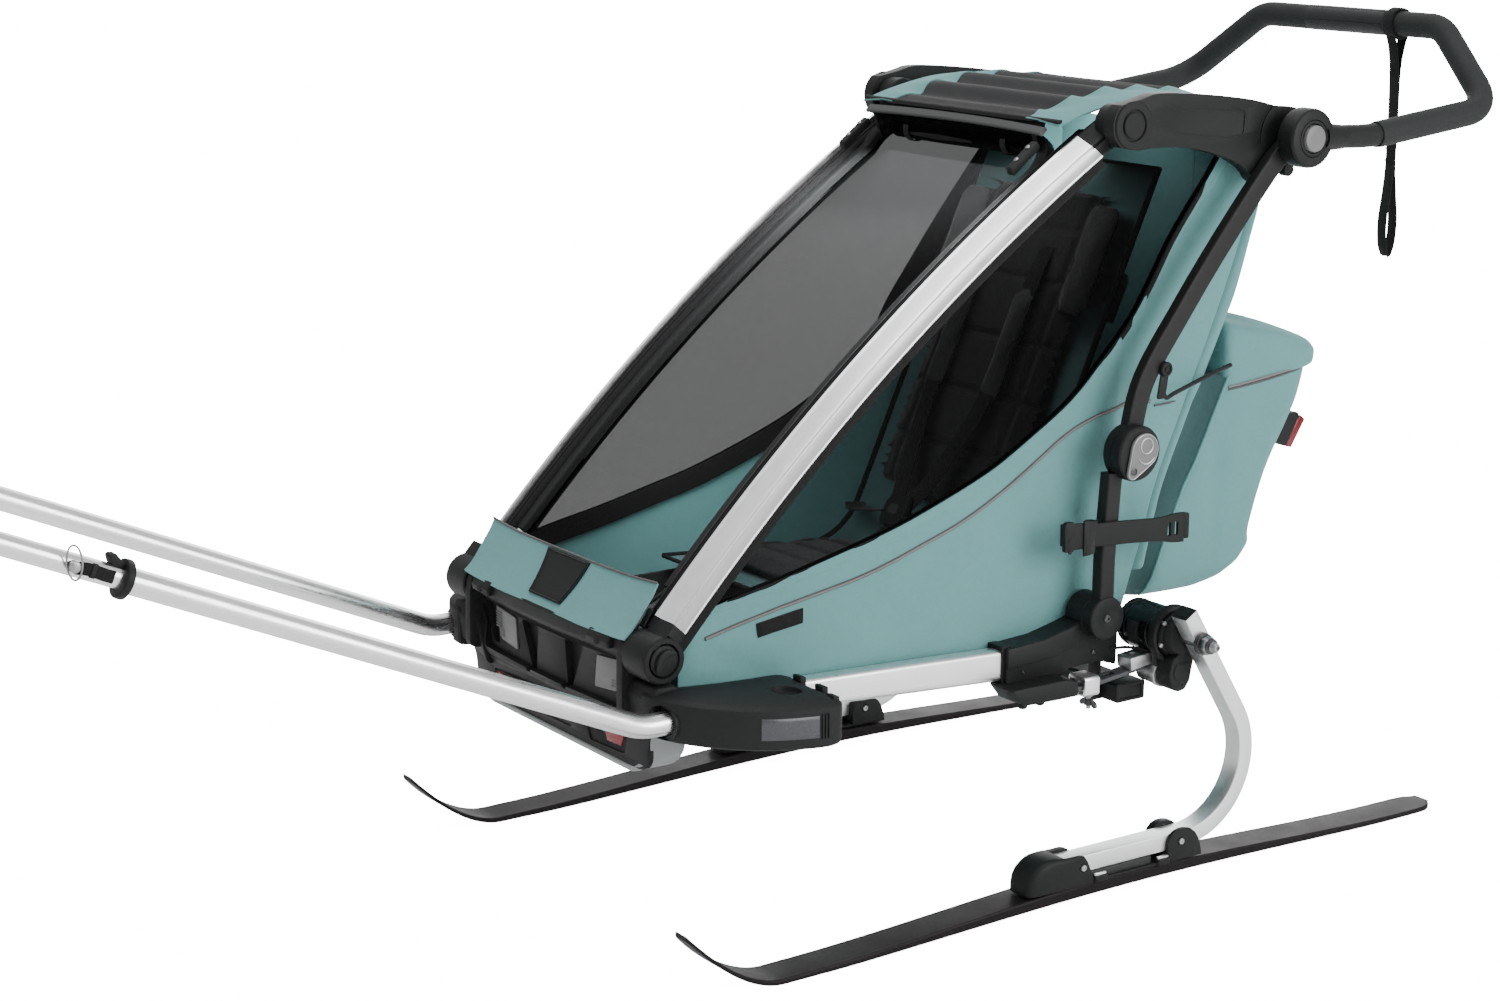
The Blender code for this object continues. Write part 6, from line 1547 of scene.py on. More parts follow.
# brake cable stub towards the frame
hub_bits.append(dress(sweep("cable", spline([(0.2560, 0.5620, 0.2500), (0.2500, 0.5480, 0.2560), (0.2400, 0.5330, 0.2580), (0.2300, 0.5200, 0.2560)], 16), circle(0.0019, 10), round_end=0.0015), BLACK_SOFT, 60))
pair(join("hub", *hub_bits), "hub_brake_housing", "suspension", "hub_brake", per_side=True)

# ================================================================== axle, washer and nut


def hexed(name, x0, x1, r, cy, cz, turn=0.0):
    """A nut: six sides with its corners chamfered at both faces."""
    def ring(x, rr):
        return [(x, cy + rr * math.cos(math.radians(turn + 60 * k)), cz + rr * math.sin(math.radians(turn + 60 * k))) for k in range(6)]
    return bevel(loft(name, [ring(x0, r * 0.94), ring(x0 + 0.0008, r), ring(x1 - 0.0012, r), ring(x1, r * 0.88)]), 0.0005, 2, 20)


ax_bits = [dress(turned("shaft", (0, ay, az_), "x", [(0.2160, 0.0050), (0.2180, 0.0062), (0.3199, 0.0062)], 28), STEEL, 30)]
ax_bits.append(dress(turned("washer", (0, ay, az_), "x", [(0.3200, 0.0060), (0.3200, 0.0122), (0.3206, 0.0128), (0.3222, 0.0128), (0.3228, 0.0123), (0.3230, 0.0118), (0.3234, 0.0118), (0.3236, 0.0123), (0.3242, 0.0127), (0.3258, 0.0127), (0.3264, 0.0120), (0.3266, 0.0060)], 48), SCREW, 25))
ax_bits.append(dress(hexed("nut", 0.3267, 0.3352, 0.0112, ay, az_, 12.0), STEEL, 28))
ax_bits.append(dress(turned("collar", (0, ay, az_), "x", [(0.3352, 0.0094), (0.3372, 0.0092), (0.3384, 0.0082), (0.3386, 0.0062)], 36), SCREW, 28))
ax_bits.append(dress(turned("thread", (0, ay, az_), "x", [(0.3380, 0.0056), (0.3392, 0.0060), (0.3398, 0.0055), (0.3404, 0.0060), (0.3410, 0.0055), (0.3416, 0.0060), (0.3422, 0.0055), (0.3430, 0.0058), (0.3450, 0.0052), (0.3464, 0.0042), (0.3464, 0.0024), (0.3446, 0.0022)], 28), STEEL, 40))
pair(join("axle", *ax_bits), "axle_and_nut", "ski_set", "axle", per_side=True)

# ================================================================== curved ski arm
hd = math.radians(-58)
first = (0.563 - 0.09 * math.sin(hd), 0.135 + 0.09 * math.cos(hd))
start = (first[0] - 0.15 * math.cos(hd), first[1] - 0.15 * math.sin(hd))
arm_line = [start, first] + arc(0.563, 0.135, 0.09, 32, -90, 40)[1:] + [(0.5100, 0.0450), (0.3840, 0.0450)]
arm_path = []
for i in range(len(arm_line) - 1):
    a_, b_ = np.array(arm_line[i]), np.array(arm_line[i + 1])
    n_ = max(1, int(np.linalg.norm(b_ - a_) / 0.012))
    arm_path += [tuple(a_ + (b_ - a_) * k / n_) for k in range(n_)]
arm_path.append(arm_line[-1])
arm = dress(sweep("arm", [(0.3070, y, z) for y, z in arm_path], rounded(0.0250, 0.0200, 0.0013, 3), inner=rounded(0.0200, 0.0150, 0.0009, 3)), ALLOY_ARM, 30)
ud = np.array((math.cos(hd), math.sin(hd)))
c0 = np.array(start)
plug_pts = [c0 - ud * 0.0010, c0 - ud * 0.0004, c0 + ud * 0.0060]
plug = dress(bevel(sweep("plug", [(0.3070, q[0], q[1]) for q in plug_pts[0:3:2]], rounded(0.0243, 0.0193, 0.0012, 3)), 0.0004, 1, 50), BLACK, 40)
plug_in = dress(sweep("plug_in", [(0.3070, *(c0 + ud * 0.0061)), (0.3070, *(c0 + ud * 0.0180))], rounded(0.0196, 0.0146, 0.0008, 3)), BLACK, 40)
cap_ridge = dress(sweep("cap_ridge", [(0.3070, *(c0 - ud * 0.0012)), (0.3070, *(c0 - ud * 0.0018))], rounded(0.0200, 0.0150, 0.0010, 3)), BLACK, 40)
pair(join("arm", arm, plug, plug_in, cap_ridge), "curved_ski_arm", "ski_set", "ski_arm", per_side=True)

# ================================================================== ski shoe: plate, front nose and rear cradle


def shoe_loop(y, hw, z1, r, cx=0.3040):
    """One section across the nose: flat below, rounded above."""
    z0 = 0.0226
    r = min(r, hw * 0.95, (z1 - z0) * 0.9)
    top = arc(cx + hw - r, z1 - r, r, 0, 90, 6) + arc(cx - hw + r, z1 - r, r, 90, 180, 6)
    pts = [(cx + hw, z0)] + top + [(cx - hw, z0), (cx - hw * 0.4, z0), (cx + hw * 0.4, z0)]
    return [(x, y, z) for x, z in pts]


nose_keys = [(0.3130, 0.0080, 0.0262, 0.003), (0.3138, 0.0125, 0.0310, 0.005), (0.3165, 0.0160, 0.0380, 0.008), (0.3220, 0.0186, 0.0450, 0.010), (0.3300, 0.0198, 0.0510, 0.011), (0.3400, 0.0203, 0.0556, 0.0110), (0.3500, 0.0205, 0.0586, 0.0100),
             (0.3600, 0.0205, 0.0598, 0.0085), (0.3680, 0.0205, 0.0600, 0.0070), (0.3750, 0.0205, 0.0592, 0.0056), (0.3830, 0.0205, 0.0580, 0.0040), (0.3950, 0.0205, 0.0575, 0.0030), (0.4020, 0.0205, 0.0575, 0.0030), (0.4080, 0.0205, 0.0560, 0.0030),
             (0.4125, 0.0205, 0.0500, 0.0030), (0.4170, 0.0205, 0.0400, 0.0030), (0.4210, 0.0205, 0.0310, 0.0030), (0.4225, 0.0205, 0.0270, 0.0020)]
nose_keys = [((0.3600 - (0.3600 - k[0]) * 0.68) if k[0] < 0.36 else k[0], k[1], k[2], min(k[3], 0.0075)) for k in nose_keys]
nose = loft("nose", [shoe_loop(*k) for k in nose_keys])
cut(nose, block("channel", 0.2940, 0.3200, 0.3800, 0.4400, 0.0346, 0.0800))
bevel(nose, 0.0007, 2, 40)
dress(nose, BLACK, 40)
rear_out = [(0.5320, 0.0226), (0.5326, 0.0440), (0.5345, 0.0515), (0.5400, 0.0572), (0.5480, 0.0598), (0.5560, 0.0600), (0.5650, 0.0580), (0.5730, 0.0520), (0.5785, 0.0440), (0.5815, 0.0350), (0.5830, 0.0300), (0.5840, 0.0226)]
cradle = slab_x("cradle", rear_out, 0.2835, 0.3245)
cut(cradle, block("channel", 0.2940, 0.3200, 0.5200, 0.6300, 0.0346, 0.0800))
bevel(cradle, 0.0013, 3, 40)
dress(cradle, BLACK, 40)
base = slab_z("base", round_poly([(0.2840, 0.4200), (0.2840, 0.5340), (0.2900, 0.5340), (0.3180, 0.5340), (0.3240, 0.5340), (0.3240, 0.4200)], 0.002, 3), 0.0226, 0.0256)
dress(bevel(base, 0.0006, 2), BLACK, 40)
base2 = slab_z("base2", round_poly([(0.2890, 0.4200), (0.2890, 0.5100), (0.3212, 0.5100), (0.3212, 0.4200)], 0.002, 3), 0.0257, 0.0346)
dress(bevel(base2, 0.0006, 2), GREY_DARK, 40)
shoe = [nose, cradle, base, base2]
# side plates beneath the arm, at the rear end of each cheek
for y0, y1 in ((0.4232, 0.4400), (0.5170, 0.5330)):
    t_ = slab_z("tab", round_poly([(0.3206, y0), (0.3206, y1), (0.3252, y1), (0.3252, y0)], 0.0016, 3), 0.0295, 0.0322)
    shoe.append(dress(bevel(t_, 0.0005, 2), ALLOY, 40))
    t2 = slab_z("tab2", round_poly([(0.3206, y0 - 0.0010), (0.3206, y1 + 0.0014), (0.3268, y1 + 0.0014), (0.3268, y0 - 0.0010)], 0.0022, 3), 0.0226, 0.0293)
    shoe.append(dress(bevel(t2, 0.0008, 2), BLACK, 40))
# bolts through the cheeks, each ringed by darker gloss black: painted shade of a counterbore, no recess is cut
for y, z in ((0.4060, 0.0428), (0.5520, 0.0446)):
    for sx, x in ((1, 0.3246), (-1, 0.2834)):
        shoe.append(dress(turned("rim", (x, y, z), (sx, 0, 0), [(-0.0008, 0.0054), (0.0002, 0.0054), (0.0003, 0.0044), (-0.0006, 0.0043)], 28), BLACK_GLOSS, 30))
        shoe.append(dress(turned("bolt", (x, y, z), (sx, 0, 0), [(-0.0010, 0.0036), (0.0010, 0.0036), (0.0016, 0.0031), (0.0016, 0.0019), (0.0002, 0.0017)], 24), ALLOY_CAST, 28))
# one small domed nut, on the outer face near the plate's top edge
shoe.append(dress(turned("slot", (0.3245, 0.5730, 0.0285), "x", [(-0.0006, 0.0022), (0.0003, 0.0022), (0.0004, 0.0014), (-0.0004, 0.0012)], 16), GREY_DARK, 30))
pair(join("shoe", *shoe), "ski_shoe_cradles", "ski_set", "ski_shoe", per_side=True)

# ================================================================== ski


def ski_under(y):
    if y < 0:
        return 0.069 * (y / -0.113) ** 1.8
    if y < 0.06 or 0.90 <= y <= 0.955:
        return 0.0
    if y > 0.955:
        return 0.05 * (y - 0.955)
    return 0.0087 * max(0.0, math.sin(math.pi * (y - 0.06) / 0.84)) ** 1.5


SKI_W = [(-0.113, 0.010), (-0.108, 0.017), (-0.095, 0.0205), (-0.070, 0.0225), (-0.040, 0.0234), (0.0, 0.0236), (0.11, 0.0236), (0.17, 0.0232), (0.28, 0.0230), (0.40, 0.0228), (0.52, 0.0228), (0.64, 0.0230), (0.76, 0.0232), (0.84, 0.0236), (0.945, 0.0236), (0.958, 0.0222), (0.967, 0.0180), (0.9725, 0.0130), (0.975, 0.0085)]
ys = [-0.1130, -0.1120, -0.1100, -0.1070, -0.1030, -0.0980, -0.0920] + list(np.linspace(-0.085, 0.0, 14)) + list(np.linspace(0.012, 0.952, 76)) + [0.9575, 0.9640, 0.9690, 0.9725, 0.9745, 0.9750]
loops, groove = [], []
for y in ys:
    hw = float(np.interp(y, [k[0] for k in SKI_W], [k[1] for k in SKI_W]))
    z0, th = ski_under(y), 0.0050 + 0.0085 * math.exp(-((y - 0.45) / 0.30) ** 2)
    g_ = 0.0014 * step(y, 0.10, 0.13) * (1 - step(y, 0.86, 0.89))
    c_ = min(0.0022, th * 0.34)
    loops.append([(0.3000 + x, y, z0 + z) for x, z in (
        (-hw + 0.0004, 0.0), (-0.0045, 0.0), (-0.0035, g_), (0.0035, g_), (0.0045, 0.0), (hw - 0.0004, 0.0), (hw, 0.0004), (hw, 0.0014), (hw - 0.0002, 0.0016), (hw - 0.0002, th - c_), (hw - 0.0003, th - c_ + 0.0002), (hw - 0.0014, th - 0.0003), (hw - 0.0020, th), (0.012, th + 0.00025), (0.0, th + 0.0003),
        (-0.012, th + 0.00025), (-hw + 0.0020, th), (-hw + 0.0014, th - 0.0003), (-hw + 0.0003, th - c_ + 0.0002), (-hw + 0.0002, th - c_), (-hw + 0.0002, 0.0016), (-hw, 0.0014), (-hw, 0.0004))])
ski = loft("ski", loops)
ski.data.materials.append(SKI_TOP)
ski.data.materials.append(SKI_SIDE)
ski.data.materials.append(ALLOY_CAST)
for p in ski.data.polygons:
    xs = [ski.data.vertices[i].co for i in p.vertices]
    cy_ = sum(v.y for v in xs) / len(xs)
    hw = float(np.interp(cy_, [k[0] for k in SKI_W], [k[1] for k in SKI_W]))
    z0, th = ski_under(cy_), 0.0050 + 0.0085 * math.exp(-((cy_ - 0.45) / 0.30) ** 2)
    h = sum(v.z for v in xs) / len(xs) - z0
    if h < 0.0016 or (abs(sum(v.x for v in xs) / len(xs) - 0.3) > hw - 0.0006 and h < th - 0.0016):
        p.material_index = 1
smooth(ski, 24)
pair(ski, "ski_board", "ski_set", "ski", per_side=True)

# ================================================================== pull bars
BX = 0.2285


def bar_point(t):
    return (BX, -0.1136 - t, 0.2753 + 0.4382 * t)


rear_path = evenly(fillet([(BX, 0.012, 0.2753), (BX, -0.1136, 0.2753), bar_point(0.550)], [0.070], 16), 110)
rear_tube = dress(sweep("rear_tube", rear_path, circle(0.0127, 40), inner=circle(0.0111, 40)), ALLOY_TUBE, 40)
bdir = np.array((0, -1.0, 0.4382)) / math.hypot(1, 0.4382)
e0 = np.array(bar_point(0.550))
collar = dress(turned("collar", tuple(e0 - bdir * 0.0068), tuple(bdir), [(0, 0.0128), (0, 0.0176), (0.0008, 0.0188), (0.0022, 0.0190), (0.0060, 0.0190), (0.0074, 0.0186), (0.0082, 0.0172), (0.0082, 0.0112)], 44), BLACK, 30)
ear = slab_x("ear", round_poly([(e0[1] + 0.0060, e0[2] + 0.0100), (e0[1] - 0.0040, e0[2] + 0.0245), (e0[1] - 0.0120, e0[2] + 0.0250), (e0[1] - 0.0080, e0[2] + 0.0080)], 0.0030, 4), BX - 0.0060, BX + 0.0060)
clip_ring = dress(bevel(ear, 0.0010, 2), BLACK, 35)
seat_ring = dress(turned("seat", (BX, -0.0560, 0.2753), "y", [(0, 0.0128), (0.0004, 0.0134), (0.0046, 0.0134), (0.0050, 0.0128)], 40), BLACK_SOFT, 30)
pair(join("rear_tube", rear_tube, collar, clip_ring, seat_ring), "pull_bar_tube", "pull_bar", "pull_bar", per_side=True)

f0, f1 = bar_point(0.410), bar_point(1.455)
front_tube = dress(sweep("front_tube", evenly([f0, f1], 60), circle(0.0107, 36), inner=circle(0.0091, 36)), ALLOY_TUBE, 40)
q0 = np.array(bar_point(1.425))
fit = dress(turned("fit", tuple(q0), tuple(bdir), [(0, 0.0108), (0, 0.0146), (0.0010, 0.0155), (0.0060, 0.0155), (0.0072, 0.0148), (0.0086, 0.0148), (0.0098, 0.0155), (0.0200, 0.0155), (0.0212, 0.0148), (0.0226, 0.0148), (0.0238, 0.0155), (0.0380, 0.0155), (0.0420, 0.0140), (0.0446, 0.0110)], 44), BLACK, 30)
e1 = np.array(f1)
ey, ez = e1[1] - 0.024, e1[2] + 0.010
tong = slab_x("tong", teardrop(ey, ez, 0.0158, e1[1] + 0.002, e1[2] - 0.001, 0.0105), BX - 0.0058, BX + 0.0058)
cut(tong, turned("eye", (BX, ey, ez), "x", [(-0.02, 0.0065), (0.02, 0.0065)], 32))
bevel(tong, 0.0012, 3)
dress(tong, BLACK, 35)
bush = dress(sweep("bush", [(BX - 0.0060, ey, ez), (BX + 0.0060, ey, ez)], circle(0.0064, 32), side=(0, 1, 0), inner=circle(0.0052, 32)), STEEL, 40)
pair(join("front_tube", front_tube, fit, tong, bush), "pull_bar_front_tube", "pull_bar_front", "pull_bar_front", per_side=True)

pin_at = bar_point(0.598)
pin = dress(turned("pin", (0, pin_at[1], pin_at[2]), "x", [(0.2106, 0.0018), (0.2116, 0.0029), (0.2424, 0.0029), (0.2426, 0.0046), (0.2432, 0.0054), (0.2476, 0.0055), (0.2486, 0.0048), (0.2490, 0.0030)], 32), STEEL, 28)
gr = dress(turned("groove", (0, pin_at[1], pin_at[2]), "x", [(0.2392, 0.0030), (0.2392, 0.0050), (0.2404, 0.0054), (0.2414, 0.0050), (0.2414, 0.0030)], 28), SCREW, 28)
pts = []
for k in range(65):
    a = 2 * math.pi * 1.10 * k / 64
    pts.append((0.2452 + 0.0010 * k / 64 + 0.0125 * math.sin(a) * 0.30, pin_at[1] + 0.0150 * math.sin(a) * 0.40, pin_at[2] + 0.0040 - 0.0160 * math.cos(a)))
ring_s = dress(sweep("ring", pts, circle(0.0010, 10), round_end=0.0008), STEEL, 60)
strap_path = spline([(0.2452, pin_at[1] + 0.0010, pin_at[2] - 0.0010), (0.2462, pin_at[1] + 0.0130, pin_at[2] - 0.0040), (0.2456, pin_at[1] + 0.0270, pin_at[2] - 0.0110), (0.2448, pin_at[1] + 0.0360, pin_at[2] - 0.0150)], 20)
strap_l = dress(sweep("strap", strap_path, rounded(0.0024, 0.0120, 0.0010, 3), side=(1, 0, 0)), WEBBING, 50)
keeper = dress(sweep("keeper", [(0.2462, pin_at[1] + 0.0150, pin_at[2] - 0.0050), (0.2461, pin_at[1] + 0.0190, pin_at[2] - 0.0068)], rounded(0.0042, 0.0138, 0.0014, 3), side=(1, 0, 0)), BLACK, 50)
pair(join("pin", pin, gr, ring_s, strap_l, keeper), "lock_pin_and_ring", "lock_pin", "lock_pin", per_side=True)

# ================================================================== storage strap clip on the left upright
clip_bits = []
band_mid = [(0.2516, 0.4270, 0.4040), (0.2516, 0.4360, 0.4040), (0.2516, 0.4700, 0.4015), (0.2516, 0.5200, 0.3985), (0.2516, 0.5700, 0.3945), (0.2516, 0.6060, 0.3925)]
band_b = sweep("clip_band", spline(band_mid, 40), rounded(0.0040, 0.0300, 0.0012, 3), scale=lambda t: (1.0, 1.0 + 0.16 * step(t, 0.80, 0.95) - 0.10 * step(t, 0.10, 0.30) * (1 - step(t, 0.7, 0.9))))
for y0 in (0.5800, 0.5910):
    cut(band_b, slab_x("slot", round_poly([(y0, 0.4010), (y0 + 0.0048, 0.4005), (y0 + 0.0048, 0.3850), (y0, 0.3855)], 0.0010), 0.2400, 0.2600))
bevel(band_b, 0.0004, 1, 50)
clip_bits.append(dress(band_b, BLACK, 40))
lip1 = slab_x("lip1", round_poly([(0.4272, 0.4215), (0.4410, 0.4210), (0.4410, 0.3865), (0.4272, 0.3870)], 0.0040, 4), 0.2478, 0.2540)
clip_bits.append(dress(bevel(lip1, 0.0012, 2), BLACK, 40))
curl_path = spline([(0.2535, 0.4540, 0.4000), (0.2545, 0.4600, 0.4000), (0.2532, 0.4680, 0.3995), (0.2500, 0.4740, 0.3990), (0.2450, 0.4760, 0.3985), (0.2400, 0.4745, 0.3985), (0.2380, 0.4690, 0.3990)], 26)
clip_bits.append(dress(sweep("curl", curl_path, rounded(0.0034, 0.0410, 0.0012, 3), side=(1, 0.3, 0), scale=lambda t: (1.0, 1.0 - 0.15 * t)), BLACK, 45))
hook_path = spline([(0.2500, 0.4330, 0.4040), (0.2460, 0.4325, 0.4042), (0.2410, 0.4325, 0.4042), (0.2388, 0.4350, 0.4042)], 12)
clip_bits.append(dress(sweep("hook", hook_path, rounded(0.0030, 0.0250, 0.0012, 3), side=(0, 1, 0)), BLACK, 45))
end_lip = slab_x("end", round_poly([(0.6035, 0.4095), (0.6125, 0.4085), (0.6125, 0.3785), (0.6050, 0.3790)], 0.0022, 4), 0.2492, 0.2540)
clip_bits.append(dress(bevel(end_lip, 0.0010, 2), BLACK, 40))
for z in (0.3860, 0.4000):
    clip_bits.append(dress(turned("rivet", (0.2540, 0.4345, z + 0.0010), "x", [(-0.0006, 0.0024), (0.0004, 0.0024), (0.0009, 0.0014)], 18), BLACK_SOFT, 40))
put(join("clip", *clip_bits), "storage_strap_clip", "chassis", "storage_clip")

# ================================================================== wrist strap on the handlebar
sx0, cy0, cz0 = 0.0810, 1.0940, 0.9340
ws = []
for r, w, mat in ((0.0174, 0.0150, WEBBING), (0.0190, 0.0150, WEBBING)):
    ring_ = [(sx0 + 0.0008 * math.sin(2 * a), cy0 + r * math.cos(a), cz0 + r * math.sin(a)) for a in np.linspace(-math.pi / 2, 1.5 * math.pi, 49)]
    ws.append(dress(sweep("ring", ring_ + [ring_[1]], rounded(0.0150, 0.0013, 0.0005, 2)), mat, 50))
drop_a = spline([(sx0, cy0 - 0.0120, cz0 - 0.0130), (sx0, cy0 - 0.0060, cz0 - 0.0300), (sx0 + 0.0004, cy0 - 0.0022, cz0 - 0.0600), (sx0 + 0.0010, cy0 - 0.0014, cz0 - 0.1200), (sx0 + 0.0008, cy0 - 0.0018, cz0 - 0.1750),
                 (sx0 + 0.0016, cy0 - 0.0060, cz0 - 0.2100), (sx0 + 0.0024, cy0 - 0.0120, cz0 - 0.2450), (sx0 + 0.0020, cy0 - 0.0100, cz0 - 0.2750), (sx0 + 0.0004, cy0 - 0.0020, cz0 - 0.2905)], 60)
drop_b = spline([(sx0, cy0 + 0.0130, cz0 - 0.0120), (sx0, cy0 + 0.0070, cz0 - 0.0300), (sx0 + 0.0002, cy0 + 0.0016, cz0 - 0.0600), (sx0 + 0.0006, cy0 + 0.0010, cz0 - 0.1200), (sx0 - 0.0002, cy0 + 0.0014, cz0 - 0.1750),
                 (sx0 - 0.0012, cy0 + 0.0060, cz0 - 0.2100), (sx0 - 0.0020, cy0 + 0.0110, cz0 - 0.2450), (sx0 - 0.0014, cy0 + 0.0085, cz0 - 0.2740), (sx0 + 0.0002, cy0 + 0.0006, cz0 - 0.2912)], 60)
for line in (drop_a, drop_b):
    ws.append(dress(sweep("web", line, rounded(0.0150, 0.0013, 0.0005, 2), side=(1, 0, 0)), WEBBING, 50))
for z in (0.0600, 0.1550, 0.1700):
    ws.append(dress(sweep("tack", [(sx0 - 0.0066, cy0 - 0.0034, cz0 - z), (sx0 + 0.0066, cy0 - 0.0034, cz0 - z)], rounded(0.0012, 0.0022, 0.0004, 1), side=(0, 1, 0)), TAPE, 60))
ws.append(dress(sweep("thread", spline([(sx0 + 0.0010, cy0, cz0 - 0.2910), (sx0 + 0.0030, cy0 + 0.0020, cz0 - 0.2935), (sx0 + 0.0015, cy0 - 0.0030, cz0 - 0.2945)], 10), circle(0.0005, 6)), WEBBING, 60))
put(join("wrist", *ws), "wrist_strap_webbing", "handlebar", "wrist_strap")

# ================================================================== seat: sling, padded cushions, harness
SEAT_LINE = fillet([(0.0, 0.1600, 0.3440), (0.0, 0.4150, 0.3250), (0.0, 0.6300, 0.7950)], [0.075], 16)
seat_pts = [np.array((p[1], p[2])) for p in evenly(SEAT_LINE, 120)]
SEAT_LEN = sum(float(np.linalg.norm(b - a)) for a, b in zip(seat_pts, seat_pts[1:]))


def seat_at(s, n=0.0):
    """Point (y, z) at length s along the seat's middle line, n towards the child."""
    f = max(0.0, min(1.0, s / SEAT_LEN)) * 120
    i = min(int(f), 119)
    p = seat_pts[i] + (seat_pts[i + 1] - seat_pts[i]) * (f - i)
    d = seat_pts[min(i + 2, 120)] - seat_pts[max(i - 1, 0)]
    d = d / float(np.linalg.norm(d))
    return p + np.array((-d[1], d[0])) * n


def seat_find(y, z):
    """Nearest length along the seat's line, and how far off it the point is."""
    q = np.array((y, z))
    best, bs = 1e9, 0.0
    for i in range(120):
        a, b = seat_pts[i], seat_pts[i + 1]
        t = max(0.0, min(1.0, float((q - a) @ (b - a)) / float((b - a) @ (b - a))))
        d = float(np.linalg.norm(a + (b - a) * t - q))
        if d < best:
            best, bs = d, (i + t) / 120 * SEAT_LEN
    return bs


def pad_shell(name, s0, s1, hw, n0, n1, rr, waist=0.0):
    """A closed pad on the seat's line: rounded in plan, crowned, its sides pulled in between the corners."""
    nu, ns = 17, 25
    def plan(u, t):
        s = s0 + (s1 - s0) * t
        pull = 1.0 - waist * math.sin(math.pi * t) ** 2
        # rounded corners by squeezing the width near both ends
        e = min(s - s0, s1 - s)
        if e < rr:
            w = hw - rr + math.sqrt(max(0.0, rr * rr - (rr - e) ** 2))
        else:
            w = hw
        return u * w * pull, s
    top, bot = [], []
    for j in range(ns):
        t = 0.5 - 0.5 * math.cos(math.pi * j / (ns - 1))
        rt, rb = [], []
        for i in range(nu):
            u = -math.cos(math.pi * i / (nu - 1))
            x, s = plan(u, t)
            crown = (1 - abs(u) ** 2.6) ** 0.6 * (1 - abs(2 * t - 1) ** 5) ** 0.6
            mid = (n0 + n1) / 2
            y, z = seat_at(s, mid + (n1 - mid) * crown)
            rt.append((x, y, z))
            y, z = seat_at(s, mid + (n0 - mid) * crown)
            rb.append((x, y, z))
        top.append(rt)
        bot.append(rb)
    verts = [v for r in top for v in r] + [v for r in bot for v in r]
    o = nu * ns
    faces = []
    for j in range(ns - 1):
        for i in range(nu - 1):
            a = j * nu + i
            faces.append((a, a + 1, a + nu + 1, a + nu))
            faces.append((o + a, o + a + nu, o + a + nu + 1, o + a + 1))
    ob = mesh_object(name, verts, faces)
    bm = bmesh.new()
    bm.from_mesh(ob.data)
    bmesh.ops.remove_doubles(bm, verts=bm.verts, dist=0.0004)
    bmesh.ops.recalc_face_normals(bm, faces=bm.faces)
    bm.to_mesh(ob.data)
    bm.free()
    return ob


def puffed(ob, voxel, most, pressure=4.0):
    """The pad blown up by cloth simulation, with the movement of every point capped, and smoothed once."""
    m = ob.modifiers.new("skin", "REMESH")
    m.mode, m.voxel_size, m.use_smooth_shade = "VOXEL", voxel, True
    bake(ob)
    rest = np.array([v.co[:] for v in ob.data.vertices])
    c = ob.modifiers.new("cloth", "CLOTH")
    st = c.settings
    st.quality = 4
    st.mass = 0.3
    st.use_pressure = True
    st.uniform_pressure_force = pressure
    st.tension_stiffness = st.compression_stiffness = 12.0
    st.bending_stiffness = 0.6
    st.effector_weights.gravity = 0.0
    c.collision_settings.use_self_collision = False
    c.point_cache.frame_start, c.point_cache.frame_end = 1, 20
    for f in range(1, 21):
        scene.frame_set(f)
    deps = bpy.context.evaluated_depsgraph_get()
    me = bpy.data.meshes.new_from_object(ob.evaluated_get(deps))
    ob.modifiers.clear()
    ob.data = me
    scene.frame_set(1)
    now = np.array([v.co[:] for v in ob.data.vertices])
    if len(now) == len(rest):
        d = now - rest
        ln = np.maximum(np.linalg.norm(d, axis=1), 1e-9)
        now = rest + d * (np.minimum(ln, most) / ln)[:, None]
        for v, q in zip(ob.data.vertices, now):
            v.co = q
    m = ob.modifiers.new("even", "SMOOTH")
    m.factor, m.iterations = 0.5, 4
    m = ob.modifiers.new("sub", "SUBSURF")
    m.levels = m.render_levels = 1
    return bake(ob)


def channelled(ob, across=(), along=(), depth=0.0035, width=0.0045):
    """Sewn channels: across at lengths s, along at distances x."""
    n = len(ob.data.vertices)
    co = np.empty(n * 3)
    ob.data.vertices.foreach_get("co", co)
    co = co.reshape(n, 3)
    line = np.array(seat_pts)
    best, where, foot = np.full(n, 1e9), np.zeros(n), np.zeros((n, 2))
    for i in range(120):
        a, b = line[i], line[i + 1]
        t = np.clip(((co[:, 1:] - a) @ (b - a)) / float((b - a) @ (b - a)), 0, 1)
        q = a + t[:, None] * (b - a)
        d = np.linalg.norm(co[:, 1:] - q, axis=1)
        hit = d < best
        best[hit], where[hit], foot[hit] = d[hit], (i + t[hit]) / 120 * SEAT_LEN, q[hit]
    g = np.zeros(n)
    for c in across:
        g += np.exp(-(((where - c) / width) ** 2))
    for c in along:
        g += np.exp(-(((np.abs(co[:, 0]) - c) / width) ** 2))
    move = np.minimum(best * 0.8, depth * np.minimum(1.0, g))
    co[:, 1:] -= (co[:, 1:] - foot) / np.maximum(best, 1e-6)[:, None] * move[:, None]
    ob.data.vertices.foreach_set("co", co.ravel())
    ob.data.update()
    return ob


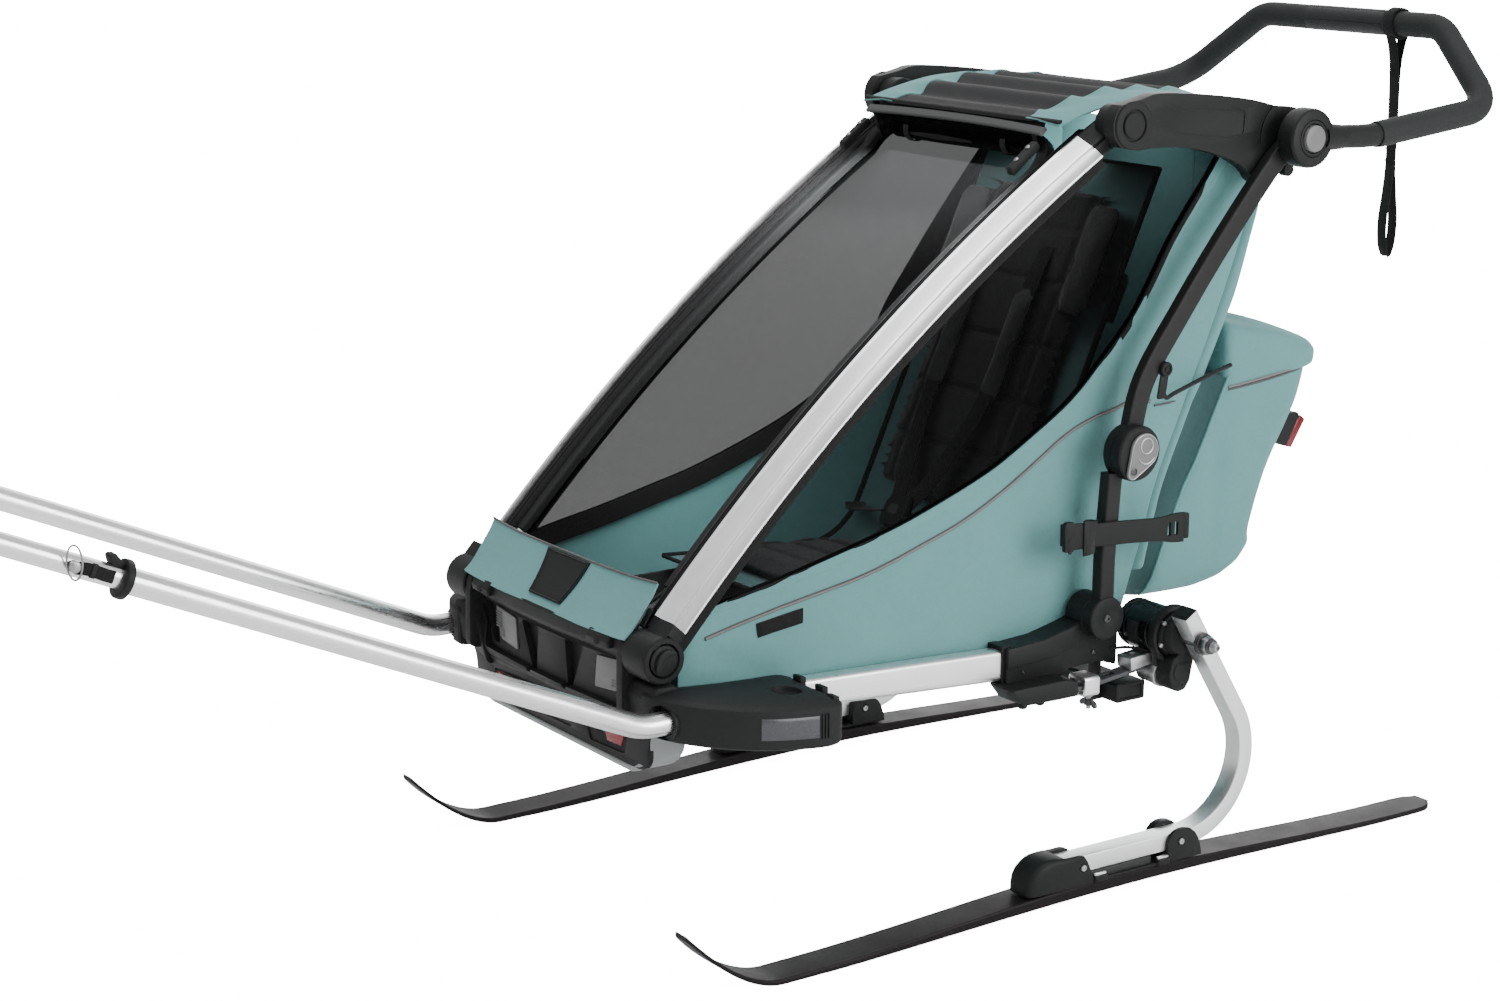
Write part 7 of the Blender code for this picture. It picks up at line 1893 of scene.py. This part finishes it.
SEAT_CLOTH = cloth("seat_cloth", (0.018, 0.019, 0.020), 0.90, 0.0013, 0.0002, 0.2)
SEAT_LIGHT = cloth("seat_light_cloth", (0.036, 0.038, 0.039), 0.90, 0.0013, 0.0002, 0.2)
base_pad = puffed(pad_shell("seat_pad", 0.0300, 0.2350, 0.1330, -0.0040, 0.0100, 0.040, 0.03), 0.0050, 0.0060)
channelled(base_pad, across=(0.085, 0.135, 0.185), along=(0.092,))
dress(base_pad, SEAT_CLOTH, 80)
put(base_pad, "seat_base_cushion", "chassis", squash=SQ)
back_pad = puffed(pad_shell("back_pad", 0.3050, 0.7300, 0.1330, -0.0040, 0.0100, 0.045, 0.04), 0.0055, 0.0060)
channelled(back_pad, across=(0.385, 0.455, 0.525, 0.600, 0.665), along=(0.088,))
dress(back_pad, SEAT_CLOTH, 80)
put(back_pad, "seat_back_cushion", "chassis", squash=SQ)

# sling: one folded sheet behind the pads, its side hems round two rods
rows = []
for k in range(61):
    s = SEAT_LEN * k / 60
    row = []
    for i in range(21):
        u = -1 + 2 * i / 20
        y, z = seat_at(s, -0.0088 - 0.0022 * (1 - u ** 4) * math.sin(math.pi * k / 60) + 0.0008 * noise.noise(Vector((u * 3, s * 9, 1.0))))
        row.append((0.1580 * u, y, z))
    rows.append(row)
sling = dress(grid("sling", rows, 0.0016), TEAL_DARK, 70)
sling_bits = [sling]
for sx in (1, -1):
    sling_bits.append(dress(sweep("hem", [(sx * 0.1560, *seat_at(SEAT_LEN * k / 50, -0.0080)) for k in range(51)], rounded(0.0080, 0.0050, 0.0022, 4)), TAPE, 60))
for s in (0.0, SEAT_LEN):
    sling_bits.append(dress(sweep("end_hem", [(x, *seat_at(s, -0.0088)) for x in np.linspace(-0.1560, 0.1560, 9)], rounded(0.0060, 0.0034, 0.0014, 3), side=(0, 1, 0)), TAPE, 60))
put(join("sling", *sling_bits), "seat_sling", "chassis", "seat", squash=SQ)

# side bolsters at head height
for sx, tag in ((1, "left"), (-1, "right")):
    bol = pad_shell("bolster", 0.5650, 0.7050, 0.0300, 0.0060, 0.0170, 0.020)
    bol.data.transform(Matrix.Translation(Vector((sx * 0.1180, 0.0, 0.0))))
    puffed(bol, 0.0045, 0.0050)
    dress(bol, SEAT_LIGHT, 80)
    put(bol, "head_bolster_" + tag, "chassis", squash=SQ)

# harness: two shoulder straps with pads, hip straps, crotch strap and buckle
hs = []
for sx in (1, -1):
    line = [(sx * 0.0460, *seat_at(0.640, 0.0150)), (sx * 0.0520, *seat_at(0.600, 0.0240)), (sx * 0.0540, *seat_at(0.520, 0.0270)), (sx * 0.0480, *seat_at(0.430, 0.0310)), (sx * 0.0260, *seat_at(0.340, 0.0420)), (sx * 0.0080, *seat_at(0.290, 0.0520))]
    hs.append(dress(sweep("shoulder", spline(line, 50), rounded(0.0250, 0.0016, 0.0006, 2)), WEBBING, 50))
    hip = [(sx * 0.1320, *seat_at(0.285, 0.0120)), (sx * 0.1050, *seat_at(0.270, 0.0260)), (sx * 0.0600, *seat_at(0.265, 0.0400)), (sx * 0.0140, *seat_at(0.275, 0.0520))]
    hs.append(dress(sweep("hip", spline(hip, 30), rounded(0.0016, 0.0250, 0.0006, 2), side=(0, 0, 1)), WEBBING, 50))
hs.append(dress(sweep("crotch", spline([(0, *seat_at(0.150, 0.0120)), (0, *seat_at(0.170, 0.0240)), (0, *seat_at(0.215, 0.0400)), (0, *seat_at(0.265, 0.0520))], 24), rounded(0.0250, 0.0016, 0.0006, 2)), WEBBING, 50))
bq = seat_at(0.280, 0.0540)
bd = seat_at(0.290, 0.0540) - seat_at(0.270, 0.0540)
bd = bd / float(np.linalg.norm(bd))
bk = sweep("buckle", [(0, *(bq - bd * 0.0200)), (0, *(bq - bd * 0.0080)), (0, *(bq + bd * 0.0080)), (0, *(bq + bd * 0.0200))], rounded(0.0420, 0.0110, 0.0045, 5), scale=lambda t: (0.80 + 0.28 * math.sin(math.pi * t), 0.85 + 0.2 * math.sin(math.pi * t)))
hs.append(dress(bevel(bk, 0.0015, 3, 40), BLACK, 40))
hs.append(dress(sweep("button", [(0, *(bq + np.array((-bd[1], bd[0])) * 0.0040)), (0, *(bq + np.array((-bd[1], bd[0])) * 0.0068))], rounded(0.0200, 0.0140, 0.0050, 5), scale=lambda t: 1.0 - 0.12 * t), GREY_DARK, 40))
put(join("harness", *hs), "seat_harness", "chassis", squash=SQ)
for sx, tag in ((1, "left"), (-1, "right")):
    sp_ = pad_shell("shoulder_pad", 0.4450, 0.5850, 0.0200, 0.0235, 0.0325, 0.012)
    sp_.data.transform(Matrix.Translation(Vector((sx * 0.0520, 0.0, 0.0))))
    puffed(sp_, 0.0040, 0.0040)
    dress(sp_, SEAT_LIGHT, 80)
    put(sp_, "shoulder_pad_" + tag, "chassis", squash=SQ)

# ribs on the footwell tub lining

tub_bits = []
for k in range(9):
    y = 0.0200 + 0.0290 * k
    tub_bits.append(dress(sweep("rib", [(x, y, 0.2262 + 0.0006 * math.cos(x * 20)) for x in np.linspace(-0.1250, 0.1250, 9)], rounded(0.0060, 0.0022, 0.0010, 2), side=(0, 1, 0)), RUBBER, 50))
put(join("ribs", *tub_bits), "footwell_ribs", "chassis")

# net pocket on the rear wall
pk = []
P0, PU, PV = np.array((-0.1300, 0.7020, 0.5450)), np.array((0.1250, 0.0, 0.0)), np.array((0.0, 0.0300, 0.0950))
for w0, w1 in (((0, 0), (1, 0)), ((1, 0), (1, 1)), ((1, 1), (0, 1)), ((0, 1), (0, 0))):
    a_, b_ = P0 + PU * w0[0] + PV * w0[1], P0 + PU * w1[0] + PV * w1[1]
    pk.append(dress(sweep("edge", [tuple(a_), tuple((a_ + b_) / 2 - np.array((0, 0.0020, 0))), tuple(b_)], rounded(0.0140, 0.0020, 0.0008, 2), side=tuple(np.cross(b_ - a_, (0, 1, 0)))), TAPE, 50))
for k in range(-14, 19):
    for sgn in (1, -1):
        pts = []
        for j in range(13):
            v_ = j / 12
            u_ = k / 18 + sgn * v_ * 0.76 + (0.0 if sgn > 0 else 0.76)
            if -0.001 <= u_ <= 1.001:
                q = P0 + PU * u_ + PV * v_ - np.array((0, 0.0040 * math.sin(math.pi * u_) * math.sin(math.pi * v_) + 0.0006, 0))
                pts.append(tuple(q))
        if len(pts) > 2:
            pk.append(dress(sweep("net", pts, rounded(0.0013, 0.0009, 0.0003, 1)), BLACK_SOFT, 60))
put(join("pocket", *pk), "rear_net_pocket", "chassis", squash=SQ)

# side label place: a blank woven patch that hangs from the piping
def on_side(y, z, lift):
    return (on_panel(y, z, lift), y, z)


lab = []
corners4 = [(0.0497, 0.3389), (0.1066, 0.3463), (0.1078, 0.3616), (0.0484, 0.3534)]
rows = []
for k in range(5):
    t = k / 4
    row = []
    for i in range(9):
        f = i / 8
        lo_ = np.array(corners4[0]) * (1 - f) + np.array(corners4[1]) * f
        hi_ = np.array(corners4[3]) * (1 - f) + np.array(corners4[2]) * f
        q = lo_ * (1 - t) + hi_ * t
        row.append(on_side(q[0], q[1], 0.0022))
    rows.append(row)
lab.append(dress(bevel(grid("label", rows, 0.0012), 0.0004, 1, 60), TAPE, 50))
edge_l = rows[0] + [r[-1] for r in rows[1:]] + rows[-1][-2::-1] + [r[0] for r in rows[-2:0:-1]]
lab.append(dress(sweep("label_edge", edge_l + [edge_l[0], edge_l[1]], rounded(0.0009, 0.0012, 0.0003, 1), side=(1, 0, 0)), BLACK_SOFT, 60))
pair(join("label", *lab), "blank_side_patch", "chassis", squash=SQ)

# rear reflector at each rear corner of the bag
rf = []
body = slab_x("rbody", round_poly([(0.8360, 0.4480), (0.8560, 0.4390), (0.8800, 0.4710), (0.8730, 0.4800), (0.8480, 0.4820)], 0.003, 4), 0.1180, 0.1600)
rf.append(dress(bevel(body, 0.0016, 2), BLACK, 40))
lens_r = slab_x("lens", round_poly([(0.8545, 0.4395), (0.8640, 0.4370), (0.8850, 0.4700), (0.8780, 0.4760), (0.8720, 0.4710)], 0.0020, 4), 0.1200, 0.1602)
rf.append(dress(bevel(lens_r, 0.0010, 2), RED, 40))
pair(join("rear_reflector", *rf), "rear_reflector", "chassis", squash=SQB)

# ================================================================== carried-over nodes
for node, mat in (("front_cross_tube", ALLOY_TUBE), ("rear_cross_tube", BLACK), ("footwell_tub", CHARCOAL)):
    ob = bpy.data.objects[node]
    if not ob.material_slots:
        ob.data.materials.append(mat)
    for slot_ in ob.material_slots:
        slot_.material = mat

# soft light inside the cabin, as pale walls would give through the open front
for nm, loc, tgt, sz, pw in (("cabin_front", (0.0, 0.1700, 0.5200), (0.0, 0.28, 0.25), 0.20, 7.5), ("cabin_top", (0.0, 0.4300, 0.8000), (0.0, 0.40, 0.30), 0.24, 9.0), ("cabin_back", (0.0, 0.6600, 0.8200), (0.0, 0.80, 0.55), 0.12, 1.4)):
    o = area(nm, (loc[0], loc[1] + OY, loc[2]), (tgt[0], tgt[1] + OY, tgt[2]), sz, pw)
    o.visible_camera = False
    o.visible_glossy = False
    o.data.use_shadow = True
